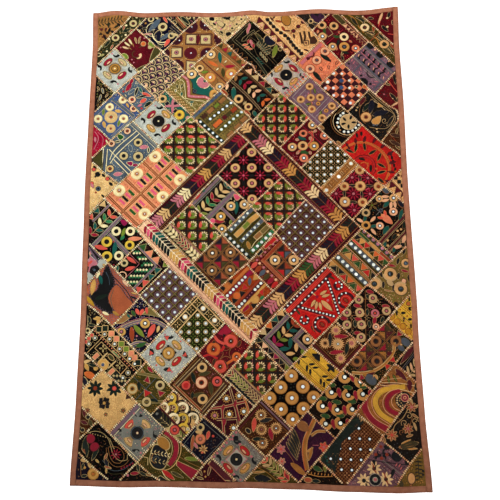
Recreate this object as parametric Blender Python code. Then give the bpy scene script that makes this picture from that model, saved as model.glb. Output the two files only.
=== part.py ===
"""Patchwork wall hanging: an embroidered panel of bias-set patches inside four border strips.

It hangs face on, in the XZ plane, with its front towards -Y. The origin is the middle of the top edge,
where a rod, a batten or pins would hold it. World units are metres.

Two plane frames are used, both in millimetres:
- cloth frame: `right` and `down` from the top left corner of the cloth, as one looks at its front.
- bias frame: the patches are set at 45 degrees, so their seams are written as (u, v), with
  u = (right + down) / sqrt(2) and v = (down - right) / sqrt(2).
"""

import bmesh
import bpy
import numpy as np
from mathutils import Vector
from mathutils.geometry import delaunay_2d_cdt

# Driving dimensions, in millimetres
WIDTH = 1016.0
HEIGHT = 1524.0
BORDER = 18.0  # how wide the border strips show
GAP = 0.3  # between two pieces that are sewn edge to edge
PANEL_THICK = 2.4  # embroidered patches with their backing
BRAID_HALF = 2.6  # half the width of the braid that covers each seam
BRAID_RISE = 1.3  # how far the braid stands above its patches
PUFF = 0.5  # how far a patch swells between its seams
PUFF_REACH = 26.0  # how far from a seam a patch has its full height
STEP = 42.0  # between points along a seam or an edge
FILL = 56.0  # between points inside a patch
SNAP = 0.4  # places nearer than this become one

# How far each edge departs from the straight, as (place along the edge, departure), both in millimetres.
# The top edge sags between the places where it was pinned, and the sides draw in below them.
TOP_SAG = ((0, 0), (80, -9), (190, -1), (290, 0), (465, 5), (535, 1), (590, 6), (760, 0), (905, 5), (1016, -2))
BOTTOM_SAG = ((0, 0), (150, 3), (255, 1), (430, 3), (500, 1), (640, 3), (790, 8), (920, 10), (1016, 6))
LEFT_BOW = ((0, -2), (130, 2), (400, 0), (620, -1), (800, 1.5), (1060, 5.5), (1270, 4), (1524, -2))
RIGHT_BOW = ((0, 0), (150, -4), (330, -2.5), (610, -6), (1000, -4), (1110, -6), (1310, -4), (1524, 2))

# The soft flutes in which the cloth hangs: (depth, width of a flute, shift, reach down from the top)
FLUTES = ((2.6, 235.0, 0.4, 420.0), (1.6, 610.0, 2.1, 5000.0))
CORNER_CURL = 4.0  # how far the lower right corner comes forward
CURL_REACH = 260.0

# A border strip's section, as (share of its width from the panel, front, back) in millimetres of depth.
# Its outer edge is the fold of the binding.
BORDER_SECTION = (
    (0.0, 1.25, -1.25),
    (0.12, 1.6, -1.3),
    (0.5, 1.75, -1.3),
    (0.88, 1.55, -1.3),
    (1.0, 0.6, -0.6),
)

# Seams in the bias frame. Those that run with u are rows, and the others run with v.
SEAMS = {
    "top_corner": ((636, -617), (700, -613), (750, -608), (816, -603)),
    "top_strip": ((580, -572), (650, -568), (700, -562), (750, -559), (864, -551)),
    "row_g_top": ((470, -458), (490, -463), (520, -466), (550, -462), (650, -450), (725, -442), (850, -434),
                  (930, -431), (960, -438), (975, -430), (990, -413)),
    "row_f_top": ((366, -347), (550, -347), (575, -340), (600, -336), (700, -332), (750, -328), (900, -326),
                  (1000, -322), (1060, -330), (1085, -324), (1104, -308)),
    "row_e_top": ((256, -240), (300, -235), (390, -230), (480, -224), (505, -228), (525, -232), (545, -222),
                  (650, -224), (730, -229), (800, -222), (1000, -216), (1105, -218), (1160, -221), (1182, -219),
                  (1198, -209)),
    "row_e_foot": ((508, -95), (640, -95), (660, -92), (750, -86), (800, -87), (900, -82), (1000, -76),
                   (1100, -70), (1150, -70), (1200, -73), (1280, -70)),
    "medallion_top": ((648, -30), (700, -32), (750, -27), (850, -20), (950, -17), (1086, -14)),
    "inner_row_2": ((709, 118), (858, 117), (900, 121), (970, 125), (1000, 130), (1050, 134), (1090, 135)),
    "inner_row_3_left": ((714, 243), (800, 242), (856, 244), (900, 248), (978, 246)),
    "inner_row_3_right": ((977, 258), (1000, 262), (1092, 263)),
    "medallion_foot": ((656, 371), (750, 372), (850, 374), (950, 378), (1152, 378)),
    "row_p_top": ((510, 422), (550, 424), (656, 420), (697, 424), (750, 426), (815, 431), (1000, 430),
                  (1100, 433), (1160, 426)),
    "row_q_top": ((576, 556), (700, 555), (850, 558), (950, 555), (1000, 557), (1060, 554), (1168, 551),
                  (1200, 548), (1290, 546)),
    "row_r_top": ((706, 693), (750, 684), (790, 681), (1095, 680), (1160, 676), (1250, 667), (1301, 663)),
    "row_s_top": ((808, 794), (900, 790), (950, 785), (1050, 781), (1210, 771), (1304, 764)),
    "row_t_top": ((922, 905), (960, 906), (1000, 901), (1050, 898), (1165, 897), (1200, 894), (1225, 890),
                  (1252, 882)),
    "foot_corner": ((1020, 998), (1060, 998), (1100, 995), (1142, 988)),
    "left_corner": ((98, -80), (103, -40), (105, 20), (112, 72), (119, 98)),
    "col_a_left": ((139, -120), (143, -60), (147, 0), (149, 50), (152, 132)),
    "col_b_left": ((266, -240), (270, -230), (268, -160), (273, -100), (273, -60), (270, 0), (267, 100),
                   (269, 180), (271, 250)),
    "col_c_left": ((391, -230), (383, -190), (381, -60), (379, 0), (383, 150), (381, 200), (383, 364)),
    "col_d_left": ((503, -226), (505, -170), (508, -100), (505, 0), (505, 170), (508, 350), (512, 450),
                   (517, 496)),
    "seam_f12": ((398, -347), (398, -229)),
    "seam_f23": ((577, -340), (580, -300), (583, -223)),
    "seam_f34": ((684, -333), (683, -280), (682, -226)),
    "seam_f45": ((822, -327), (822, -222)),
    "seam_f56": ((918, -325), (918, -219)),
    "seam_f67": ((1104, -308), (1107, -250), (1105, -218)),
    "seam_g12": ((619, -453), (620, -400), (618, -335)),
    "seam_g23": ((725, -442), (727, -380), (728, -330)),
    "seam_g34": ((850, -434), (854, -327)),
    "seam_g45": ((990, -413), (993, -380), (1000, -322)),
    "seam_h12": ((571, -550), (572, -500), (574, -460)),
    "seam_h23": ((733, -560), (732, -500), (729, -442)),
    "seam_h34": ((868, -546), (872, -490), (875, -433)),
    "seam_e23": ((655, -224), (657, -150), (661, -92)),
    "seam_e34": ((781, -224), (783, -150), (785, -87)),
    "seam_e45": ((879, -221), (881, -83)),
    "seam_e56": ((966, -217), (970, -78)),
    "seam_e67": ((1000, -216), (1003, -140), (1005, -76)),
    "seam_e78": ((1106, -218), (1106, -140), (1109, -70)),
    "medallion_left": ((648, -95), (645, 50), (647, 180), (653, 320), (656, 420)),
    "inner_left": ((702, -32), (705, 50), (709, 120), (711, 200), (716, 250), (718, 371)),
    "inner_col_2": ((859, -20), (857, 118), (856, 243), (857, 374)),
    "inner_col_3": ((963, -17), (965, 60), (970, 125), (978, 250), (974, 300), (970, 378)),
    "inner_right": ((1085, -72), (1086, 0), (1090, 130), (1092, 260), (1090, 320), (1094, 378)),
    "medallion_right": ((1147, -70), (1150, 50), (1147, 200), (1146, 300), (1150, 375), (1160, 428),
                        (1165, 480), (1168, 551)),
    "col_j_left": ((1282, -138), (1279, -60), (1278, 60), (1283, 150), (1286, 200), (1285, 280), (1288, 500),
                   (1294, 600), (1302, 700), (1303, 760), (1310, 826)),
    "col_k_left": ((1387, -32), (1389, 50), (1391, 100), (1394, 200), (1398, 300), (1404, 400), (1410, 520),
                   (1413, 680), (1415, 720)),
    "col_l_left": ((1486, 68), (1489, 120), (1494, 200), (1502, 300), (1511, 400), (1519, 500), (1521, 550),
                   (1526, 610)),
    "col_m_left": ((1583, 165), (1590, 220), (1599, 300), (1611, 400), (1621, 514)),
    "right_corner": ((1702, 284), (1707, 340), (1714, 390), (1720, 416)),
    "seam_pab": ((697, 424), (699, 555)),
    "seam_pbc": ((815, 431), (816, 557)),
    "seam_pcd": ((937, 430), (940, 490), (943, 555)),
    "seam_pde": ((1057, 433), (1061, 500), (1065, 554)),
    "seam_qab": ((671, 556), (673, 600), (680, 662)),
    "seam_qbc": ((820, 558), (823, 600), (826, 681)),
    "seam_qcd": ((943, 555), (948, 680)),
    "seam_qde": ((1064, 554), (1067, 620), (1070, 680)),
    "seam_qef": ((1200, 548), (1203, 600), (1208, 671)),
    "seam_rab": ((790, 681), (793, 730), (799, 780)),
    "seam_rbc": ((975, 680), (978, 730), (981, 784)),
    "seam_rcd": ((1093, 680), (1098, 778)),
    "seam_rde": ((1208, 671), (1211, 771)),
    "seam_sab": ((900, 790), (900, 880)),
    "seam_sbc": ((1043, 781), (1048, 898)),
    "seam_scd": ((1155, 776), (1160, 830), (1165, 897)),
    "seam_tab": ((1000, 901), (1001, 978)),
    "seam_tbc": ((1165, 897), (1166, 966)),
    "cross_a12": ((180, -162), (268, -159)),
    "cross_a23": ((143, -62), (200, -63), (240, -61), (273, -64)),
    "cross_a34": ((149, 40), (200, 42), (268, 45)),
    "cross_a45": ((174, 152), (230, 153), (268, 151)),
    "cross_b12": ((273, -62), (345, -66), (381, -60)),
    "cross_b23": ((268, 66), (380, 69)),
    "cross_b34": ((267, 143), (330, 140), (383, 142)),
    "cross_b45": ((298, 278), (340, 274), (382, 275)),
    "cross_c12": ((382, -96), (420, -90), (507, -86)),
    "cross_c23": ((379, 30), (505, 31)),
    "cross_c34": ((380, 72), (505, 74)),
    "cross_c45": ((382, 178), (505, 178)),
    "cross_c56": ((383, 366), (450, 364), (508, 357)),
    "cross_d12": ((505, 36), (600, 38), (645, 35)),
    "cross_d23": ((506, 182), (600, 182), (647, 180)),
    "cross_i12": ((1150, 92), (1279, 95)),
    "cross_i23": ((1146, 282), (1285, 283)),
    "cross_i34": ((1157, 412), (1287, 412)),
    "cross_j12": ((1278, 50), (1300, 46), (1350, 42), (1389, 42)),
    "cross_j23": ((1286, 198), (1394, 197)),
    "cross_j34": ((1285, 303), (1398, 298)),
    "cross_j45": ((1287, 383), (1330, 383), (1403, 378)),
    "cross_j56": ((1289, 515), (1409, 514)),
    "cross_j67": ((1298, 627), (1412, 625)),
    "cross_j78": ((1303, 735), (1350, 733), (1404, 730)),
    "cross_k12": ((1390, 84), (1450, 85), (1487, 82)),
    "cross_k23": ((1397, 287), (1430, 280), (1460, 276), (1499, 272)),
    "cross_k34": ((1407, 447), (1450, 448), (1515, 446)),
    "cross_k45": ((1412, 613), (1450, 611), (1526, 608)),
    "cross_l12": ((1494, 168), (1530, 165), (1583, 166)),
    "cross_l23": ((1507, 350), (1550, 348), (1604, 345)),
    "cross_l34": ((1520, 523), (1560, 522), (1612, 522)),
    "cross_m12": ((1605, 358), (1650, 352), (1708, 348)),
}

# Base colours, as red, green and blue in linear light, and the roughness of each cloth
COLOURS = {
    "patchwork_panel": ((0.16, 0.08, 0.045), 0.85),
    "border_left": ((0.33, 0.13, 0.07), 0.8),
    "border_right": ((0.33, 0.13, 0.07), 0.8),
    "border_top": ((0.35, 0.15, 0.08), 0.8),
    "border_bottom": ((0.27, 0.1, 0.05), 0.8),
}


def clear_scene():
    """Removes what a new file holds."""
    for thing in list(bpy.data.objects):
        bpy.data.objects.remove(thing, do_unlink=True)


def through(table, at):
    """Runs smoothly through a table's points, and is level at each."""
    knots = np.array(table, dtype=float)
    span = np.clip(np.searchsorted(knots[:, 0], at) - 1, 0, len(knots) - 2)
    share = np.clip((at - knots[span, 0]) / (knots[span + 1, 0] - knots[span, 0]), 0.0, 1.0)
    share = share * share * (3.0 - 2.0 * share)
    return knots[span, 1] + (knots[span + 1, 1] - knots[span, 1]) * share


def hang(right, down):
    """How far the cloth's middle layer stands in front of the hanging line, in millimetres."""
    depth = np.zeros(np.shape(right))
    for height, width, shift, reach in FLUTES:
        depth = depth + height * np.sin(2 * np.pi * right / width + shift) * np.exp(-down / reach)
    near = np.hypot(right - WIDTH, down - HEIGHT) / CURL_REACH
    return depth + CORNER_CURL * np.exp(-near * near)


def cloth_point(share_right, share_down, inset):
    """A place on the cloth from shares of its width and height, at least `inset` from its uneven edges."""
    right = share_right * WIDTH
    down = share_down * HEIGHT
    for _ in range(3):
        left_edge = through(LEFT_BOW, down) + inset
        right_edge = WIDTH + through(RIGHT_BOW, down) - inset
        top_edge = through(TOP_SAG, right) + inset
        bottom_edge = HEIGHT + through(BOTTOM_SAG, right) - inset
        right = left_edge + (right_edge - left_edge) * share_right
        down = top_edge + (bottom_edge - top_edge) * share_down
    return right, down


def world(right, down, front):
    """World points, in metres, of places in the cloth frame that stand `front` before its middle layer."""
    middle = WIDTH / 2
    top = through(TOP_SAG, middle)
    depth = hang(right, down) - hang(middle, top) + front
    return np.stack([right - middle, -depth, top - down], axis=-1) / 1000.0


def along(points, step):
    """The points of a line, with more between them so that no stretch is longer than `step`."""
    points = np.array(points, dtype=float)
    parts = [points[:1]]
    for start, end in zip(points[:-1], points[1:]):
        count = max(1, int(np.ceil(np.linalg.norm(end - start) / step)))
        parts.append(start + (end - start) * np.arange(1, count + 1)[:, None] / count)
    return np.concatenate(parts)


def bias_to_cloth(points):
    """Bias frame to cloth frame."""
    u, v = np.array(points, dtype=float).T
    return np.stack([u - v, u + v], axis=-1) / np.sqrt(2.0)


def seam_lines():
    """Each seam's middle line in the cloth frame."""
    return [bias_to_cloth(along(points, STEP)) for points in SEAMS.values()]


def beside(line, offset):
    """A line that runs beside another, at a distance to its left."""
    course = np.gradient(line, axis=0)
    course /= np.linalg.norm(course, axis=1)[:, None]
    return line + offset * np.stack([-course[:, 1], course[:, 0]], axis=-1)


def distance_to_seams(places, lines):
    """How far each place is from the nearest seam."""
    nearest = np.full(len(places), np.inf)
    for line in lines:
        for start, end in zip(line[:-1], line[1:]):
            run = end - start
            share = np.clip((places - start) @ run / (run @ run), 0.0, 1.0)
            foot = start + share[:, None] * run
            nearest = np.minimum(nearest, np.linalg.norm(places - foot, axis=1))
    return nearest


def relief(places, lines):
    """The height of the front above the plain sheet: a ridge of braid on each seam, and puffed patches."""
    away = distance_to_seams(places, lines)
    braid = BRAID_RISE * np.clip(1.0 - away / BRAID_HALF, 0.0, 1.0)
    share = np.clip((away - BRAID_HALF) / PUFF_REACH, 0.0, 1.0)
    return braid + PUFF * share * share * (3.0 - 2.0 * share)


def panel_outline():
    """The panel's edge as a ring of places, clockwise from its top left corner."""
    inset = BORDER + GAP
    across = np.linspace(0.0, 1.0, int(WIDTH / STEP) + 1)[:-1]
    downward = np.linspace(0.0, 1.0, int(HEIGHT / STEP) + 1)[:-1]
    shares = [
        (across, np.zeros_like(across)),
        (np.ones_like(downward), downward),
        (1.0 - across, np.ones_like(across)),
        (np.zeros_like(downward), 1.0 - downward),
    ]
    sides = [np.stack(cloth_point(right, down, inset), axis=-1) for right, down in shares]
    return np.concatenate(sides)


def inside_points(lines, clearance):
    """An even scatter of places inside the panel, none nearer than `clearance` to a seam."""
    inset = BORDER + GAP
    across = np.linspace(0.0, 1.0, int(WIDTH / FILL) + 1)[1:-1]
    downward = np.linspace(0.0, 1.0, int(HEIGHT / FILL) + 1)[1:-1]
    share_right, share_down = (grid.ravel() for grid in np.meshgrid(across, downward))
    places = np.stack(cloth_point(share_right, share_down, inset), axis=-1)
    return places[distance_to_seams(places, lines) > clearance]


def triangulate(ring, lines, loose):
    """Triangles that fill the ring and hold every line as edges. Returns places and triangles."""
    places = [ring]
    edges = [(k, (k + 1) % len(ring)) for k in range(len(ring))]
    count = len(ring)
    for line in lines:
        places.append(line)
        edges += [(count + k, count + k + 1) for k in range(len(line) - 1)]
        count += len(line)
    places.append(loose)
    flat = [Vector(place) for place in np.concatenate(places)]
    found, _, triangles, *_ = delaunay_2d_cdt(flat, edges, [list(range(len(ring)))], 1, SNAP)
    found = np.array([tuple(place) for place in found])
    triangles = np.array([face for face in triangles])
    middle = found[triangles].mean(axis=1)
    triangles = triangles[inside_ring(middle, ring)]
    used, flat_triangles = np.unique(triangles, return_inverse=True)
    return found[used], flat_triangles.reshape(triangles.shape)


def inside_ring(places, ring):
    """Whether each place lies inside the ring, by counting how often a ray to the right meets it."""
    inside = np.zeros(len(places), dtype=bool)
    for start, end in zip(ring, np.roll(ring, -1, axis=0)):
        level = (start[1] > places[:, 1]) != (end[1] > places[:, 1])
        rise = end[1] - start[1]
        meets = start[0] + (places[:, 1] - start[1]) * (end[0] - start[0]) / (rise if rise else 1.0)
        inside ^= level & (places[:, 0] < meets)
    return inside


def rim_of(triangles):
    """The ring of points around a triangulated sheet, in order."""
    sides = np.concatenate([triangles[:, [0, 1]], triangles[:, [1, 2]], triangles[:, [2, 0]]])
    paired = {(a, b) for a, b in sides.tolist()}
    follow = {a: b for a, b in paired if (b, a) not in paired}
    start = min(follow)
    ring = [start]
    while follow[ring[-1]] != start:
        ring.append(follow[ring[-1]])
    return np.array(ring)


def add_object(name, collection, mesh):
    """An object with its own cloth material."""
    colour, roughness = COLOURS[name]
    material = bpy.data.materials.new(name + "_cloth")
    material.use_nodes = True
    shader = material.node_tree.nodes["Principled BSDF"]
    shader.inputs["Base Color"].default_value = (*colour, 1.0)
    shader.inputs["Roughness"].default_value = roughness
    shader.inputs["Metallic"].default_value = 0.0
    mesh.materials.append(material)
    thing = bpy.data.objects.new(name, mesh)
    collection.objects.link(thing)
    return thing


def panel(collection):
    """The patchwork: one uneven sheet, with each seam's braid as a ridge on its front."""
    lines = seam_lines()
    ribs = [beside(line, offset) for line in lines for offset in (-BRAID_HALF, 0.0, BRAID_HALF)]
    loose = inside_points(lines, clearance=3 * BRAID_HALF)
    places, front = triangulate(panel_outline(), ribs, loose)
    rim = rim_of(front)
    back_places, back = triangulate(places[rim], [], inside_points([], clearance=0.0))

    shape = bmesh.new()
    rise = PANEL_THICK / 2 + relief(places, lines)
    front_points = [shape.verts.new(point) for point in world(places[:, 0], places[:, 1], rise)]
    back_rise = np.full(len(back_places), -PANEL_THICK / 2)
    back_points = [shape.verts.new(point) for point in world(back_places[:, 0], back_places[:, 1], back_rise)]
    for triangle in front:
        shape.faces.new([front_points[k] for k in triangle])
    for triangle in back:
        shape.faces.new([back_points[k] for k in triangle[::-1]])
    gaps = np.linalg.norm(back_places[None, :, :] - places[rim][:, None, :], axis=2)
    behind = gaps.argmin(axis=1)
    for here, there in zip(range(len(rim)), np.roll(np.arange(len(rim)), -1)):
        near, far = front_points[rim[here]], front_points[rim[there]]
        shape.faces.new([far, near, back_points[behind[here]], back_points[behind[there]]])
    bmesh.ops.recalc_face_normals(shape, faces=shape.faces)
    mesh = bpy.data.meshes.new("patchwork_panel")
    shape.to_mesh(mesh)
    shape.free()
    return add_object("patchwork_panel", collection, mesh)


def strip_places(side, steps):
    """A border strip's places in the cloth frame, as rows along it and columns from the panel outwards."""
    share = np.linspace(0.0, 1.0, steps + 1)[:, None]
    out = np.array([section[0] for section in BORDER_SECTION])[None, :]
    inset = BORDER * (1.0 - out) + 0.0 * share
    if side in ("left", "right"):
        right = np.zeros_like(inset) if side == "left" else np.full_like(inset, WIDTH)
        for _ in range(3):
            top = through(TOP_SAG, right)
            down = top + (HEIGHT + through(BOTTOM_SAG, right) - top) * share
            if side == "left":
                right = through(LEFT_BOW, down) + inset
            else:
                right = WIDTH + through(RIGHT_BOW, down) - inset
        return right, down
    down = np.zeros_like(inset) if side == "top" else np.full_like(inset, HEIGHT)
    for _ in range(3):
        left = through(LEFT_BOW, down) + BORDER + GAP
        right = left + (WIDTH + through(RIGHT_BOW, down) - BORDER - GAP - left) * share
        if side == "top":
            down = through(TOP_SAG, right) + inset
        else:
            down = HEIGHT + through(BOTTOM_SAG, right) - inset
    return right, down


def border(side, collection):
    """One border strip: its section carried along the edge of the cloth, with a folded outer edge."""
    length = HEIGHT if side in ("left", "right") else WIDTH
    right, down = strip_places(side, int(length / STEP))
    front = np.array([section[1] for section in BORDER_SECTION]) + 0.0 * right
    back = np.array([section[2] for section in BORDER_SECTION]) + 0.0 * right
    points = np.concatenate([world(right, down, front), world(right, down, back)[:, ::-1]], axis=1)
    rows, around = points.shape[:2]
    shape = bmesh.new()
    grid = [[shape.verts.new(point) for point in row] for row in points]
    for row in range(rows - 1):
        for k in range(around):
            other = (k + 1) % around
            shape.faces.new([grid[row][k], grid[row][other], grid[row + 1][other], grid[row + 1][k]])
    shape.faces.new(grid[0])
    shape.faces.new(grid[-1])
    bmesh.ops.triangulate(shape, faces=shape.faces)
    bmesh.ops.recalc_face_normals(shape, faces=shape.faces)
    mesh = bpy.data.meshes.new("border_" + side)
    shape.to_mesh(mesh)
    shape.free()
    return add_object("border_" + side, collection, mesh)


def main():
    clear_scene()
    collection = bpy.data.collections.new("patchwork_hanging")
    bpy.context.scene.collection.children.link(collection)
    panel(collection)
    for side in ("left", "right", "top", "bottom"):
        border(side, collection)


main()
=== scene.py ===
"""Dresses the patchwork wall hanging: embroidered patches, braid on the seams, mirrors and the border.

Places are in millimetres. The cloth frame is `right` and `down` from the cloth's top left corner, and
the bias frame is u = (right + down) / sqrt(2), v = (down - right) / sqrt(2), because the patches are set
at 45 degrees. World units are metres, the front faces -Y, and the origin is the middle of the top edge.
"""

import logging
from contextlib import contextmanager
from dataclasses import dataclass, field
from enum import Enum
from typing import Any, Iterator, Sequence

import bpy
import numpy as np
from mathutils import Euler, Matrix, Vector
from mathutils.geometry import delaunay_2d_cdt


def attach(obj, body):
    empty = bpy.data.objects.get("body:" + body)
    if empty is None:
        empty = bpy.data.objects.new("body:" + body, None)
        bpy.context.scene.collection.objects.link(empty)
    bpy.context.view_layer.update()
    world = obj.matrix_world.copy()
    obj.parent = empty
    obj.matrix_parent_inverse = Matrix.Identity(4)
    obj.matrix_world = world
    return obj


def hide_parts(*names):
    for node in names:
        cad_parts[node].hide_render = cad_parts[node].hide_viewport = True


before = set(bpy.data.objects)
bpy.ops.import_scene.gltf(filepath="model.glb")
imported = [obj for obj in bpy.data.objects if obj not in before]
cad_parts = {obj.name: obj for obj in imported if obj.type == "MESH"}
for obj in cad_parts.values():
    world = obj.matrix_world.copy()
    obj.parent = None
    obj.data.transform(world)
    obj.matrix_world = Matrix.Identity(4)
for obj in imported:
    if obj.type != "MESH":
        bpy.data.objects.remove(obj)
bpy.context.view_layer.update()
SEED = 20
ROOT_HALF = np.sqrt(0.5)
FAR = 9e3  # further than any place on the cloth, in millimetres
TINY = 1e-9  # keeps a length of nothing out of a division
log = logging.getLogger("hanging")

# Seams in the bias frame. Those that run with u are rows, and the others run with v.
SEAMS = {
    "top_corner": ((636, -617), (700, -613), (750, -608), (816, -603)),
    "top_strip": ((580, -572), (650, -568), (700, -562), (750, -559), (864, -551)),
    "row_g_top": ((470, -458), (490, -463), (520, -466), (550, -462), (650, -450), (725, -442), (850, -434),
                  (930, -431), (960, -438), (975, -430), (990, -413)),
    "row_f_top": ((366, -347), (550, -347), (575, -340), (600, -336), (700, -332), (750, -328), (900, -326),
                  (1000, -322), (1060, -330), (1085, -324), (1104, -308)),
    "row_e_top": ((256, -240), (300, -235), (390, -230), (480, -224), (505, -228), (525, -232), (545, -222),
                  (650, -224), (730, -229), (800, -222), (1000, -216), (1105, -218), (1160, -221),
                  (1182, -219), (1198, -209)),
    "row_e_foot": ((508, -95), (640, -95), (660, -92), (750, -86), (800, -87), (900, -82), (1000, -76),
                   (1100, -70), (1150, -70), (1200, -73), (1280, -70)),
    "medallion_top": ((648, -30), (700, -32), (750, -27), (850, -20), (950, -17), (1086, -14)),
    "inner_row_2": ((709, 118), (858, 117), (900, 121), (970, 125), (1000, 130), (1050, 134), (1090, 135)),
    "inner_row_3_left": ((714, 243), (800, 242), (856, 244), (900, 248), (978, 246)),
    "inner_row_3_right": ((977, 258), (1000, 262), (1092, 263)),
    "medallion_foot": ((656, 371), (750, 372), (850, 374), (950, 378), (1152, 378)),
    "row_p_top": ((510, 422), (550, 424), (656, 420), (697, 424), (750, 426), (815, 431), (1000, 430),
                  (1100, 433), (1160, 426)),
    "row_q_top": ((576, 556), (700, 555), (850, 558), (950, 555), (1000, 557), (1060, 554), (1168, 551),
                  (1200, 548), (1290, 546)),
    "row_r_top": ((706, 693), (750, 684), (790, 681), (1095, 680), (1160, 676), (1250, 667), (1301, 663)),
    "row_s_top": ((808, 794), (900, 790), (950, 785), (1050, 781), (1210, 771), (1304, 764)),
    "row_t_top": ((922, 905), (960, 906), (1000, 901), (1050, 898), (1165, 897), (1200, 894), (1225, 890),
                  (1252, 882)),
    "foot_corner": ((1020, 998), (1060, 998), (1100, 995), (1142, 988)),
    "left_corner": ((98, -80), (103, -40), (105, 20), (112, 72), (119, 98)),
    "col_a_left": ((139, -120), (143, -60), (147, 0), (149, 50), (152, 132)),
    "col_b_left": ((266, -240), (270, -230), (268, -160), (273, -100), (273, -60), (270, 0), (267, 100),
                   (269, 180), (271, 250)),
    "col_c_left": ((391, -230), (383, -190), (381, -60), (379, 0), (383, 150), (381, 200), (383, 364)),
    "col_d_left": ((503, -226), (505, -170), (508, -100), (505, 0), (505, 170), (508, 350), (512, 450),
                   (517, 496)),
    "seam_f12": ((398, -347), (398, -229)),
    "seam_f23": ((577, -340), (580, -300), (583, -223)),
    "seam_f34": ((684, -333), (683, -280), (682, -226)),
    "seam_f45": ((822, -327), (822, -222)),
    "seam_f56": ((918, -325), (918, -219)),
    "seam_f67": ((1104, -308), (1107, -250), (1105, -218)),
    "seam_g12": ((619, -453), (620, -400), (618, -335)),
    "seam_g23": ((725, -442), (727, -380), (728, -330)),
    "seam_g34": ((850, -434), (854, -327)),
    "seam_g45": ((990, -413), (993, -380), (1000, -322)),
    "seam_h12": ((571, -550), (572, -500), (574, -460)),
    "seam_h23": ((733, -560), (732, -500), (729, -442)),
    "seam_h34": ((868, -546), (872, -490), (875, -433)),
    "seam_e23": ((655, -224), (657, -150), (661, -92)),
    "seam_e34": ((781, -224), (783, -150), (785, -87)),
    "seam_e45": ((879, -221), (881, -83)),
    "seam_e56": ((966, -217), (970, -78)),
    "seam_e67": ((1000, -216), (1003, -140), (1005, -76)),
    "seam_e78": ((1106, -218), (1106, -140), (1109, -70)),
    "medallion_left": ((648, -95), (645, 50), (647, 180), (653, 320), (656, 420)),
    "inner_left": ((702, -32), (705, 50), (709, 120), (711, 200), (716, 250), (718, 371)),
    "inner_col_2": ((859, -20), (857, 118), (856, 243), (857, 374)),
    "inner_col_3": ((963, -17), (965, 60), (970, 125), (978, 250), (974, 300), (970, 378)),
    "inner_right": ((1085, -72), (1086, 0), (1090, 130), (1092, 260), (1090, 320), (1094, 378)),
    "medallion_right": ((1147, -70), (1150, 50), (1147, 200), (1146, 300), (1150, 375), (1160, 428),
                        (1165, 480), (1168, 551)),
    "col_j_left": ((1282, -138), (1279, -60), (1278, 60), (1283, 150), (1286, 200), (1285, 280),
                   (1288, 500), (1294, 600), (1302, 700), (1303, 760), (1310, 826)),
    "col_k_left": ((1387, -32), (1389, 50), (1391, 100), (1394, 200), (1398, 300), (1404, 400), (1410, 520),
                   (1413, 680), (1415, 720)),
    "col_l_left": ((1486, 68), (1489, 120), (1494, 200), (1502, 300), (1511, 400), (1519, 500), (1521, 550),
                   (1526, 610)),
    "col_m_left": ((1583, 165), (1590, 220), (1599, 300), (1611, 400), (1621, 514)),
    "right_corner": ((1702, 284), (1707, 340), (1714, 390), (1720, 416)),
    "seam_pab": ((697, 424), (699, 555)),
    "seam_pbc": ((815, 431), (816, 557)),
    "seam_pcd": ((937, 430), (940, 490), (943, 555)),
    "seam_pde": ((1057, 433), (1061, 500), (1065, 554)),
    "seam_qab": ((671, 556), (673, 600), (680, 662)),
    "seam_qbc": ((820, 558), (823, 600), (826, 681)),
    "seam_qcd": ((943, 555), (948, 680)),
    "seam_qde": ((1064, 554), (1067, 620), (1070, 680)),
    "seam_qef": ((1200, 548), (1203, 600), (1208, 671)),
    "seam_rab": ((790, 681), (793, 730), (799, 780)),
    "seam_rbc": ((975, 680), (978, 730), (981, 784)),
    "seam_rcd": ((1093, 680), (1098, 778)),
    "seam_rde": ((1208, 671), (1211, 771)),
    "seam_sab": ((900, 790), (900, 880)),
    "seam_sbc": ((1043, 781), (1048, 898)),
    "seam_scd": ((1155, 776), (1160, 830), (1165, 897)),
    "seam_tab": ((1000, 901), (1001, 978)),
    "seam_tbc": ((1165, 897), (1166, 966)),
    "cross_a12": ((180, -162), (268, -159)),
    "cross_a23": ((143, -62), (200, -63), (240, -61), (273, -64)),
    "cross_a34": ((149, 40), (200, 42), (268, 45)),
    "cross_a45": ((174, 152), (230, 153), (268, 151)),
    "cross_b12": ((273, -62), (345, -66), (381, -60)),
    "cross_b23": ((268, 66), (380, 69)),
    "cross_b34": ((267, 143), (330, 140), (383, 142)),
    "cross_b45": ((298, 278), (340, 274), (382, 275)),
    "cross_c12": ((382, -96), (420, -90), (507, -86)),
    "cross_c23": ((379, 30), (505, 31)),
    "cross_c34": ((380, 72), (505, 74)),
    "cross_c45": ((382, 178), (505, 178)),
    "cross_c56": ((383, 366), (450, 364), (508, 357)),
    "cross_d12": ((505, 36), (600, 38), (645, 35)),
    "cross_d23": ((506, 182), (600, 182), (647, 180)),
    "cross_i12": ((1150, 92), (1279, 95)),
    "cross_i23": ((1146, 282), (1285, 283)),
    "cross_i34": ((1157, 412), (1287, 412)),
    "cross_j12": ((1278, 50), (1300, 46), (1350, 42), (1389, 42)),
    "cross_j23": ((1286, 198), (1394, 197)),
    "cross_j34": ((1285, 303), (1398, 298)),
    "cross_j45": ((1287, 383), (1330, 383), (1403, 378)),
    "cross_j56": ((1289, 515), (1409, 514)),
    "cross_j67": ((1298, 627), (1412, 625)),
    "cross_j78": ((1303, 735), (1350, 733), (1404, 730)),
    "cross_k12": ((1390, 84), (1450, 85), (1487, 82)),
    "cross_k23": ((1397, 287), (1430, 280), (1460, 276), (1499, 272)),
    "cross_k34": ((1407, 447), (1450, 448), (1515, 446)),
    "cross_k45": ((1412, 613), (1450, 611), (1526, 608)),
    "cross_l12": ((1494, 168), (1530, 165), (1583, 166)),
    "cross_l23": ((1507, 350), (1550, 348), (1604, 345)),
    "cross_l34": ((1520, 523), (1560, 522), (1612, 522)),
    "cross_m12": ((1605, 358), (1650, 352), (1708, 348)),
}


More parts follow.
